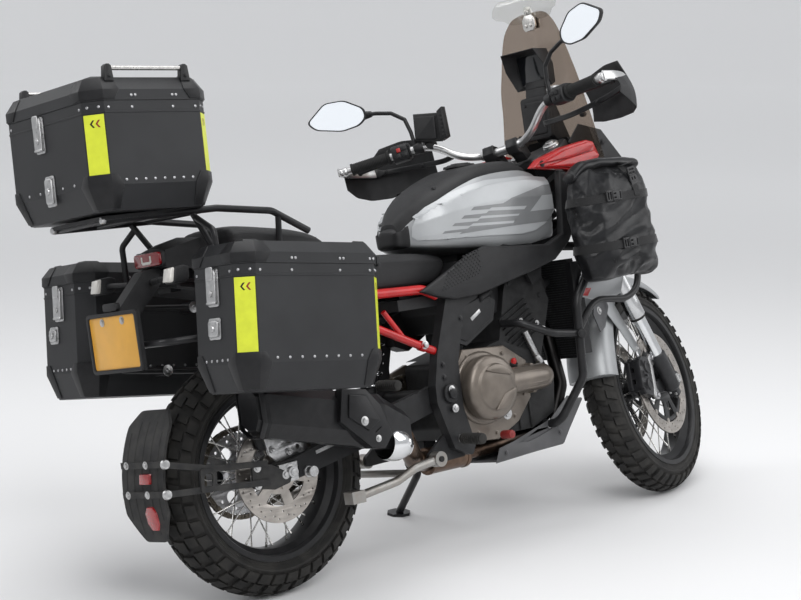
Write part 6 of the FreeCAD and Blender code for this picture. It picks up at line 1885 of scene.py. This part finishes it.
facing_back(bm, [[(-13, 1498), (13, 1498), (16, 1506), (10, 1526), (-10, 1526), (-16, 1506)]], 1220, 1228,
            edge=2)
facing_back(bm, [round_box(-22, 22, 1462, 1492, 5)], 1240, 1246, edge=2)
box(bm, (1224, -10, 1468), (1244, 10, 1486))
for y in (-10, 10):
    rod(bm, (1219, y, 1470), (1214, y, 1470), 5.5, 5, sides=24)
rod(bm, (1219, 0, 1512), (1212, 0, 1512), 7.5, 6.5, sides=28)
piece(bm, "extension_clamp", UPRIGHT, stainless, "chassis", sharp=30, bevel=0.8)


# Fork: polished outer tubes clamped in black forged yokes, hard chrome lower tubes, and black cast feet that
# hold the axle by pinch bolts and the caliper by two lugs
polished = finish("polished alloy", (0.55, 0.555, 0.56), 0.22, metal=1.0, vary=0.08, patch=30, grain=2400,
                  bump=0.04)
foot_black = finish("black cast foot", (0.026, 0.026, 0.028), 0.42, metal=0.4, vary=0.2, patch=60, grain=1100,
                    bump=0.4)
LEG_Y, LEG_T, AXLE_S, AXLE_T = 105.0, 34.0, 343.1, 47.2
PLAN = Matrix.Rotation(-math.pi / 2, 4, "X")


LUGS = [[(-56, 452), (-30, 458), (8, 448), (14, 380), (26, 320), (46, 322), (46, 366), (20, 400), (-10, 430),
         (-40, 436)], [(-64, 372), (-40, 384), (10, 372), (40, 352), (40, 322), (10, 330), (-40, 352),
                       (-62, 350)]]
outer, chromed, seals, feet, nuts = (bmesh.new() for _ in range(5))
for side in (-1, 1):
    y = side * LEG_Y
    lathe_on(outer, (LEG_T, y, 0), (0, 0, 1), [(586, 24.4), (586, 26.2), (588, 27.2), (640, 27.2),
                                               (652, 26.4), (900, 26.2), (1190, 26.2)])
    lathe_on(seals, (LEG_T, y, 0), (0, 0, 1), [(578, 22), (578, 24), (582, 25.2), (586.5, 25.2), (586.5, 22)])
    lathe_on(chromed, (LEG_T, y, 0), (0, 0, 1), [(430, 21.4), (590, 21.4)])
    lathe_on(nuts, (LEG_T, y, 0), (0, 0, 1), [(1188, 24), (1194, 24), (1196, 22), (1196, 13), (1201, 13),
                                              (1202, 12)])
    lathe_on(feet, (LEG_T, y, 0), (0, 0, 1), [(318, 20), (324, 25), (400, 26), (428, 27.5), (444, 27.5),
                                              (447, 25), (447, 22)])
    lathe_on(feet, (AXLE_T, y - 21, AXLE_S), (0, 1, 0), [(0, 22), (2, 25), (40, 25), (42, 22)])
    for lug in LUGS:
        side_sheet(feet, [lug], side, 74, 90, edge=3)
    cut_sheet(feet, [[(22, 298), (40, 298), (44, 320), (20, 320)]], y - 16, y + 16, edge=2)
    for s in (306, 314):
        bolt(nuts, (22, y + side * (8 if s < 310 else -8), s), (-1, 0, 0), 5, 5)
    lathe_on(nuts, (AXLE_T, side * 126, AXLE_S), (0, side, 0),
             [(0, 15), (3, 15), (3, 12), (8, 12), (9, 10.5), (9, 7), (6, 7)], sides=40)
piece(outer, "fork_tubes", ON_FORK, polished, "steering", ["fork"], sharp=40, bevel=0.4)
piece(chromed, "fork_chrome", ON_FORK, chrome, "steering", ["fork"], sharp=50)
piece(seals, "fork_seals", ON_FORK, rubber, "steering", sharp=50)
piece(feet, "fork_feet", ON_FORK, foot_black, "steering", ["fork"], sharp=32, bevel=1.2)
piece(nuts, "fork_nuts", ON_FORK, worn_alloy, "steering", sharp=35, bevel=0.4)

# Yokes: black forged clamps at both ends of the steering stem, each pinching the tubes with two bolts
YOKE = [(-34, -62), (-34, 62), (-8, 84), (-4, 130), (10, 142), (58, 142), (72, 130), (72, 84), (58, 68),
        (46, 40), (44, 0), (46, -40), (58, -68), (72, -84), (72, -130), (58, -142), (10, -142), (-4, -130),
        (-8, -84)]
bm = bmesh.new()
for low, high in ((925, 963), (1163, 1186)):
    cut_sheet(bm, [YOKE], -high, -low, frame_of=PLAN, edge=4)
lathe_on(bm, (0, 0, 940), (0, 0, 1), [(0, 15), (240, 15)], sides=32)
for side in (-1, 1):
    box(bm, (-22, side * LEG_Y - 8, 928), (6, side * LEG_Y + 8, 960))
    box(bm, (-20, side * LEG_Y - 7, 1165), (6, side * LEG_Y + 7, 1184))
piece(bm, "yokes", ON_FORK, foot_black, "steering", ["fork"], sharp=32, bevel=1.5)
bm = bmesh.new()
lathe_on(bm, (0, 0, 1186), (0, 0, 1), [(-1, 21), (2, 21), (2, 17), (12, 17), (13, 15.5), (13, 9), (9, 9)],
         sides=36)
for side in (-1, 1):
    for s in (936, 952, 1174):
        bolt(bm, (-14, side * (LEG_Y - 8), s), (0, -side, 0), 5, 5)
piece(bm, "yoke_bolts", ON_FORK, worn_alloy, "steering", sharp=35, bevel=0.4)

# Front mudguard: a silver moulded shell that follows the tyre and flares behind the fork, with a dark bracket
# plate and a silver cheek down to each foot
bm = bmesh.new()


def fender_half(angle):
    """Half section of the mudguard at an angle round the axle: (y, radius) from the crown to the edge."""
    back = max(0.0, min(1.0, (angle - 100) / 62))
    flare = back * back * (3 - 2 * back)
    top = 358 + 8 * flare
    wide = 60 + 15 * flare
    skirt = 42 + 34 * flare
    return [(0, top), (wide * 0.34, top - 2), (wide * 0.64, top - 9), (wide * 0.86, top - 21),
            (wide * 0.97, top - 34), (wide, top - skirt * 0.9), (wide, top - skirt)]


rows = []
for k in range(49):
    angle = 56 + (170 - 56) * k / 48
    a = math.radians(angle)
    half = fender_half(angle)
    if k in (0, 48):
        half = [(y, r - 1.0) for y, r in half]
    inner = [(max(0.0, y - 3.0), r - 3.0) for y, r in half]
    ring = [(-y, r) for y, r in half[::-1]] + half[1:] + inner[::-1] + [(-y, r) for y, r in inner[1:]]
    rows.append([Vector((1505 + r * math.cos(a), y, 329 + r * math.sin(a))) for y, r in ring])
skin(bm, rows, closed=True)
piece(bm, "mudguard_shell", STEERED, silver, "steering", ["front_mudguard"], sharp=40,
      bevel=0.6, smooth=1)
bracket_grey = finish("dark bracket plate", (0.075, 0.076, 0.08), 0.4, metal=0.3, vary=0.12, patch=40,
                      grain=1500, bump=0.15)
bm = bmesh.new()
for side in (-1, 1):
    side_sheet(bm, [[(1168, 516), (1150, 570), (1176, 604), (1246, 618), (1262, 588), (1236, 560),
                     (1206, 528)]], side, 78, 82, edge=1)
piece(bm, "mudguard_plates", STEERED, bracket_grey, "steering", ["front_mudguard"], sharp=32,
      bevel=1.0)
bm = bmesh.new()
for side in (-1, 1):
    side_sheet(bm, [[(1240, 572), (1262, 612), (1300, 600), (1352, 520), (1404, 438), (1392, 426),
                     (1360, 436), (1300, 512)]], side, 76, 80, edge=1.4)
piece(bm, "mudguard_cheeks", STEERED, silver, "steering", ["front_mudguard"], sharp=32,
      bevel=1.4)
bm = bmesh.new()
for side in (-1, 1):
    bolt(bm, (1192, side * 82, 578), (0, side, 0), 8, 5)
    bolt(bm, (1384, side * 80, 446), (0, side, 0), 6, 4)
piece(bm, "mudguard_bolts", STEERED, worn_alloy, "steering", sharp=32, bevel=0.5)

# Front calipers: black four-piston bodies over the disc edge, on bright machined brackets with two bolts each
caliper_black = finish("caliper coat", (0.020, 0.020, 0.022), 0.36, metal=0.2, vary=0.15, patch=60,
                       grain=1300, bump=0.25)
machined = finish("machined bracket", (0.42, 0.42, 0.42), 0.36, metal=0.85, vary=0.14, patch=70, grain=1900,
                  bump=0.15)
HOLD = Matrix.Translation((AXLE_T, 0, AXLE_S)) @ Matrix.Rotation(math.radians(-52), 4, "Y")
bodies, brackets, caliper_bolts = bmesh.new(), bmesh.new(), bmesh.new()
for side in (-1, 1):
    for near, far, grow in ((72, 97, 0), (44, 62, -3)):
        side_sheet(bodies, [[(-58 - grow, 118), (-50, 100), (50, 100), (58 + grow, 118), (54, 160), (40, 176),
                             (-40, 176), (-54, 160)], [(-8, 160), (-6, 132), (6, 132), (8, 160)]], side, near,
                   far, frame_of=HOLD, edge=5)
    for u in (-27, 27):
        lathe_on(bodies, HOLD @ Vector((u, side * 96, 138)), (0, side, 0),
                 [(0, 19), (5, 18), (6, 15), (6, 11), (4, 10)], sides=36)
    y = sorted((side * 44, side * 97))
    for u in (-36, 0, 36):
        box(bodies, (u - 11, y[0], 158), (u + 11, y[1], 178), frame_of=HOLD)
    side_sheet(brackets, [[(-66, 84), (-50, 78), (-34, 96), (34, 96), (50, 78), (68, 86), (72, 104),
                           (56, 118), (36, 110), (-36, 110), (-56, 118), (-70, 102)]], side, 90, 98,
               frame_of=HOLD, edge=1.5)
    for u in (-58, 60):
        bolt(caliper_bolts, HOLD @ Vector((u, side * 98, 98)), (0, side, 0), 8, 7)
    lathe_on(caliper_bolts, HOLD @ Vector((58, side * 84, 158)), HOLD.to_3x3() @ Vector((1, 0, 0.3)),
             [(0, 5), (10, 5), (10, 3.4), (18, 3)], sides=20)
piece(bodies, "front_caliper_bodies", ON_FORK, caliper_black, "steering", ["front_calipers"],
      sharp=30, bevel=1.2)
piece(brackets, "front_caliper_brackets", ON_FORK, machined, "steering", ["front_calipers"],
      sharp=30, bevel=0.8)
piece(caliper_bolts, "front_caliper_bolts", ON_FORK, dark_bolt, "steering", sharp=32,
      bevel=0.5)

# Handlebar: tapered silver aluminium tube in black risers, with black rubber grips and bright end weights
bar_silver = finish("anodised silver tube", (0.60, 0.60, 0.60), 0.3, metal=0.95, vary=0.06, patch=40,
                    grain=2600, bump=0.06)
grip_rubber = finish("grip rubber", (0.012, 0.012, 0.012), 0.72, vary=0.2, patch=90, grain=1500, bump=0.35)
switch_black = finish("switch housing", (0.016, 0.016, 0.017), 0.42, vary=0.15, patch=70, grain=1500,
                      bump=0.15)
red_key = finish("red switch key", (0.38, 0.018, 0.015), 0.4, vary=0.1, patch=60, grain=900, bump=0.05)
BAR = [(846, -450, 1170.6), (960, -200, 1182), (985, -125, 1118), (1022, -60, 1100), (1022, 60, 1100),
       (985, 125, 1118), (960, 200, 1182), (846, 450, 1170.6)]
bm = bmesh.new()
bent_tube(bm, BAR, 62, 0.49, 10, lambda p: 14 if abs(p.y) < 70 else 11, (1, 0, 0), 28)
piece(bm, "handlebar_tube", STEERED, bar_silver, "steering", ["handlebar"], sharp=40)
bm = bmesh.new()
for y in (-40, 40):
    cut_sheet(bm, [[(1046, 1058), (1076, 1072), (1058, 1096), (1034, 1116), (1008, 1120), (1000, 1100),
                    (1008, 1082), (1028, 1078)]], y - 19, y + 19, edge=3)
    for x, z in ((1014, 1119), (1036, 1109)):
        for step in (-12, 12):
            bolt(bm, (x, y + step, z), (0.45, 0, 1), 4.5, 5, washer=False)
piece(bm, "bar_clamps", STEERED, satin_black, "steering", sharp=30, bevel=1.5)


def along_bar(y):
    """A point on the straight grip end of the bar."""
    share = (442 - abs(y)) / 242
    return Vector((850 + 110 * share, y, 1171 + 11 * share))


# rows: x, y, z, half width and half height of a lever's blade
BLADE = [(978, 232, 1179, 9, 7), (986, 262, 1178, 8, 6), (978, 300, 1176, 6.5, 5.4), (962, 340, 1173, 6, 5),
         (944, 384, 1169, 5.6, 4.8), (930, 420, 1166, 5.4, 4.8), (926, 436, 1165, 6, 5.4)]
grips, ends, housings, keys, levers = (bmesh.new() for _ in range(5))
for side in (-1, 1):
    way = (along_bar(side * 430) - along_bar(side * 320)).normalized()
    start = along_bar(side * 312)
    profile = [(0, 11), (0, 22), (4, 23), (7, 22), (8, 17.5)]
    for k in range(22):
        profile += [(10 + 4.8 * k, 17.4), (11.2 + 4.8 * k, 16.4), (13.4 + 4.8 * k, 16.4),
                    (14.4 + 4.8 * k, 17.4)]
    profile += [(118, 18.5), (122, 18.5), (123, 11)]
    lathe_on(grips, start, way, profile, sides=40)
    lathe_on(ends, along_bar(side * 432), way, [(4, 11), (4, 13), (6, 14), (14, 14), (17, 12), (18, 6),
                                                (15, 4)], sides=40)
    # switch housing: two shells on the bar, with keys on the rider's side
    block = Matrix.Translation(along_bar(side * 280)) @ way.to_track_quat("X", "Z").to_matrix().to_4x4()
    soft_edge = [(squarish(math.cos(a), 0.6), squarish(math.sin(a), 0.6)) for a in turns(32)]
    for x0, x1, r in ((-24, 27, 23), (-30, -24, 20)):
        ring = []
        for dx, grow in ((x0, 0.86), (x0 + 2, 1.0), (x1 - 2, 1.0), (x1, 0.86)):
            ring.append([block @ Vector((dx, 1.06 * r * grow * c, 1.16 * r * grow * s)) for c,
                         s in soft_edge])
        skin(housings, ring, closed=True)
    face = -1 if (block.to_3x3() @ Vector((0, 1, 0))).x > 0 else 1
    for dx, dz, wide, tall in ((-12, 9, 9, 5), (4, 8, 6, 6), (-10, -9, 7, 5), (10, -8, 8, 6)):
        y0, y1 = sorted((face * 22, face * 29))
        box(keys if side > 0 and dx == 4 else housings, (dx - wide, y0, dz - tall),
            (dx + wide, y1, dz + tall), frame_of=block)
    # lever: perch clamp, pivot and a slim blade with a ball end
    lathe_on(housings, along_bar(side * 218), (along_bar(side * 246) - along_bar(side * 218)),
             [(0, 13), (0, 18), (28, 18), (28, 13)], sides=32)
    side_sheet(housings, [[(946, 1172), (990, 1170), (994, 1186), (948, 1192)]], side, 222, 250, edge=2.5)
    rings = [[(x + wide * math.cos(a), side * y, z + tall * math.sin(a)) for a in turns(14)] for x, y, z,
             wide, tall in BLADE]
    skin(levers, rings, closed=True)
    lathe_on(levers, (926, side * 433, 1165), (0, side, 0), [(0, 4), (2, 7), (6, 8), (10, 7), (12, 3)],
             sides=24)
# brake fluid cup on the right bar
cup = bmesh.new()
lathe_on(cup, (990, -226, 1190), (0.1, 0, 1), [(0, 14), (2, 19), (20, 20), (21, 22), (29, 22), (30, 19)],
         sides=40)
piece(cup, "brake_fluid_cup", STEERED, machined, "steering", sharp=35, bevel=0.6)
piece(grips, "grips", STEERED, grip_rubber, "steering", ["controls"], sharp=50)
piece(ends, "bar_ends", STEERED, bar_silver, "steering", sharp=40, bevel=0.5)
piece(housings, "switches", STEERED, switch_black, "steering", ["controls"], sharp=32,
      bevel=1.0)
piece(keys, "red_key", STEERED, red_key, "steering", sharp=32, bevel=1.0)
piece(levers, "levers", STEERED, satin_black, "steering", ["controls"], sharp=60)

# Phone box: a square black case with a rounded lid, held by a cradle with a ribbed edge on the left of the
# bar
bm = bmesh.new()
facing_back(bm, [[(150, 1180), (228, 1202), (214, 1276), (136, 1256)]], 936, 954, edge=4)
facing_back(bm, [[(158, 1190), (218, 1206), (207, 1266), (147, 1250)]], 927, 938, edge=3)
facing_back(bm, [[(124, 1184), (142, 1180), (132, 1262), (118, 1268)]], 932, 958, edge=3)
for k in range(6):
    rod(bm, (930, 130 - 1.4 * k, 1190 + 12 * k), (960, 130 - 1.4 * k, 1190 + 12 * k), 4, sides=14)
rod(bm, (945, 190, 1204), (960, 194, 1186), 9, sides=24)
rod(bm, (958, 184, 1178), (962, 208, 1180), 16, sides=28)
piece(bm, "phone_box", STEERED, moulded_black, "steering", ["controls"], sharp=32, bevel=1.2)

# Hand guards: black moulded shells on bright flat aluminium bars that run from the bar ends to inner clamps
shells, bars, inner_bars = bmesh.new(), bmesh.new(), bmesh.new()
# the section of a flat bar with rounded edges
STRIP = ((-1, -0.8), (-0.6, -1), (0.6, -1), (1, -0.8), (1, 0.8), (0.6, 1), (-0.6, 1), (-1, 0.8))
# rows of a shell: x, y, lowest and highest z
STATIONS = [(884, 472, 1122, 1164), (930, 474, 1098, 1168), (990, 462, 1084, 1180), (1042, 424, 1080, 1236),
            (1080, 366, 1084, 1244), (1096, 306, 1092, 1232), (1096, 274, 1102, 1208)]
for side in (-1, 1):
    path = [along_bar(side * 456) + Vector((-8, 0, 3)), Vector((884, side * 466, 1172)),
            Vector((950, side * 462, 1170)), Vector((1012, side * 440, 1164)),
            Vector((1058, side * 384, 1158)), Vector((1078, side * 306, 1150)),
            Vector((1058, side * 226, 1138)), Vector((1004, side * 160, 1131))]
    fine = []
    for k in range(len(path) - 1):
        for j in range(6):
            t = j / 6
            a, b, c, d = (path[min(max(k + n, 0), len(path) - 1)] for n in (-1, 0, 1, 2))
            fine.append(0.5 * ((2 * b) + (c - a) * t + (2 * a - 5 * b + 4 * c - d) * t * t
                               + (3 * b - a - 3 * c + d) * t ** 3))
    fine.append(path[-1])
    rings = []
    for k, p in enumerate(fine):
        ahead = (fine[min(k + 1, len(fine) - 1)] - fine[max(k - 1, 0)]).normalized()
        up = Vector((0, 0, 1))
        flat = ahead.cross(up).normalized()
        tall = 13 if k < 20 else 8
        rings.append([p + flat * u * 3.2 + up * w * tall for u, w in STRIP])
    skin(bars, rings[:19], closed=True)
    skin(inner_bars, rings[18:], closed=True)
    lathe_on(bars, along_bar(side * 448), along_bar(side * 460) - along_bar(side * 448),
             [(0, 6), (0, 13), (9, 13), (11, 11), (11, 5), (6, 5)], sides=36)
    for spot in (21, 30):
        bolt(inner_bars, fine[spot] + Vector((-3, side * 2, 0)), (-1, side * -0.3, 0), 5.5, 3)
    rows = []
    for k in range(29):
        s = k / 28 * (len(STATIONS) - 1)
        i = min(int(s), len(STATIONS) - 2)
        x, y, low, high = [a + (b - a) * (s - i) for a, b in zip(STATIONS[i], STATIONS[i + 1])]
        row = []
        for thick in (0.0, 3.0):
            line = []
            for j in range(11):
                v = j / 10
                bow = 11 * math.sin(math.pi * v) - 7 * v
                line.append(Vector((x + (bow - thick) * 0.75, side * (y + (bow - thick) * 0.5),
                                    low + (high - low) * v)))
            row += line if not row else line[::-1]
        rows.append(row)
    skin(shells, rows, closed=True)
piece(bars, "guard_bars", STEERED, bar_silver, "steering", ["hand_guards"], sharp=40,
      bevel=0.4)
piece(inner_bars, "guard_inner_bars", STEERED, satin_black, "steering", ["hand_guards"],
      sharp=40, bevel=0.4)
piece(shells, "guard_shells", STEERED, moulded_black, "steering", ["hand_guards"], sharp=45,
      bevel=0.6)

# Mirrors: black moulded shells round bright glass, each on a black steel stem with a ball joint
mirror_glass = finish("mirror glass", (0.90, 0.91, 0.92), 0.03, metal=1.0, vary=0.01, patch=10, grain=60,
                      bump=0.0, rough_vary=0.01)
# the glass glows pale blue though it is no lamp: a painted reflection of the sky
painted_sky_glow = mirror_glass.node_tree.nodes["Principled BSDF"].inputs
painted_sky_glow["Emission Color"].default_value = (0.75, 0.82, 0.9, 1)
painted_sky_glow["Emission Strength"].default_value = 0.42
MIRROR = [(-100, 1311), (-98, 1340), (-44, 1380), (16, 1387), (82, 1343), (61, 1316), (-18, 1290),
          (-74, 1293)]
MIRROR_Y, MIRROR_X, MIRROR_TOE = 433.0, 845.0, 20.5


def rounded(outline, radius, steps=5):
    """An outline with each corner turned into an arc like curve."""
    out = []
    count = len(outline)
    for i in range(count):
        p, q, r = (Vector(outline[(i + n) % count]) for n in (-1, 0, 1))
        reach = min(radius, (p - q).length / 2.2, (r - q).length / 2.2)
        a = q + (p - q).normalized() * reach
        b = q + (r - q).normalized() * reach
        for k in range(steps + 1):
            t = k / steps
            at = a.lerp(q, t).lerp(q.lerp(b, t), t)
            out.append((at.x, at.y))
    return out


def mirror_rings(side, levels):
    """The mirror's outline at several depths and sizes, turned to face its rider."""
    turn = Matrix.Translation((MIRROR_X, side * MIRROR_Y,
                               0)) @ Matrix.Rotation(math.radians(side * MIRROR_TOE), 4, "Z")
    middle = Vector((-9, 1337))
    rings = []
    for x, grow in levels:
        edge = [middle + (Vector(point) - middle) * grow for point in rounded(MIRROR, 14)]
        rings.append([turn @ Vector((x, side * p.x, p.y)) for p in edge])
    return rings


shells, glass, stems = bmesh.new(), bmesh.new(), bmesh.new()
for side in (-1, 1):
    levels = ((2.2, 0.95), (0.0, 0.965), (-0.6, 1.0), (4, 1.02), (14, 0.98), (21, 0.84), (25, 0.6), (27, 0.3))
    skin(shells, mirror_rings(side, levels), closed=True)
    skin(glass, mirror_rings(side, ((1.6, 0.945), (0.8, 0.94))), closed=True)
    path = [(938, side * 236, 1186), (937, side * 238, 1232), (934, side * 246, 1274),
            (924, side * 280, 1304), (908, side * 322, 1317), (898, side * 342, 1320)]
    for a, b in zip(path, path[1:]):
        rod(stems, a, b, 6, sides=20)
    for p in path[1:-1]:
        lathe_on(stems, Vector(p) - Vector((0, 0, 5.6)), (0, 0, 1),
                 [(0, 2), (2, 4.6), (5.6, 6), (9.2, 4.6), (11.2, 2)], sides=20)
    rod(stems, (938, side * 236, 1184), (937, side * 237, 1204), 9.5, 9, sides=6)
    rod(stems, (904, side * 334, 1319), (897, side * 362, 1322), 9, 14, sides=28)
    rod(stems, (897, side * 362, 1322), (895, side * 376, 1325), 17, 13, sides=28)
piece(shells, "mirror_shells", STEERED, moulded_black, "steering", ["mirrors"], sharp=50)
piece(glass, "mirror_glass", STEERED, mirror_glass, "steering", ["mirrors"], sharp=50)
piece(stems, "mirror_stems", STEERED, satin_black, "steering", ["mirrors"], sharp=50)


# Footrests: black plates bolted to the frame, black pegs with ribbed rubbers, and pedals with a red rubber
dress(rough_black, "footrests", "stand_bracket")
red_rubber = finish("red pedal rubber", (0.20, 0.016, 0.014), 0.55, vary=0.25, patch=60, grain=900, bump=0.3)
pads, reds = bmesh.new(), bmesh.new()
for side in (-1, 1):
    for x, z, reach, r in ((562, 316, 264, 14.4), (306, 499, 248, 13.2)):
        profile = [(0, r - 2), (0, r)]
        for k in range(9):
            profile += [(4 + 8.2 * k, r + 1.4), (8 + 8.2 * k, r + 1.4), (9 + 8.2 * k, r - 0.4),
                        (11 + 8.2 * k, r - 0.4)]
        profile += [(80, r), (82, r - 4)]
        lathe_on(pads, (x, side * (reach - 80), z), (0, side, -0.04), profile, sides=28)
    lathe_on(reds if side < 0 else pads, (712, side * 182, 302), (0, side, 0),
             [(0, 8), (0, 11), (3, 12), (36, 12), (39, 11), (40, 8)], sides=28)
piece(pads, "footrest_rubbers", UPRIGHT, rubber, "chassis", ["footrests"], sharp=45)
piece(reds, "pedal_rubber", UPRIGHT, red_rubber, "chassis", sharp=45)
bm = bmesh.new()
for side in (-1, 1):
    for x, z in ((552, 452), (556, 400), (562, 316), (306, 499)):
        bolt(bm, (x, side * 178, z), (0, side, 0), 7.5, 5)
piece(bm, "footrest_bolts", UPRIGHT, worn_alloy, "chassis", sharp=32, bevel=0.5)

# Side stand: black steel leg on its pin, with a return spring, a welded lug and a stamped foot
dress(satin_black, "side_stand")

# Centre stand: bare steel tube legs with flat feet, a foot tang and two return springs
stand_steel = finish("plated stand steel", (0.44, 0.43, 0.41), 0.38, metal=0.9, vary=0.22, patch=40,
                     grain=1300, bump=0.2, second=(0.30, 0.27, 0.24), share=0.8)
dress(stand_steel, "centre_stand")
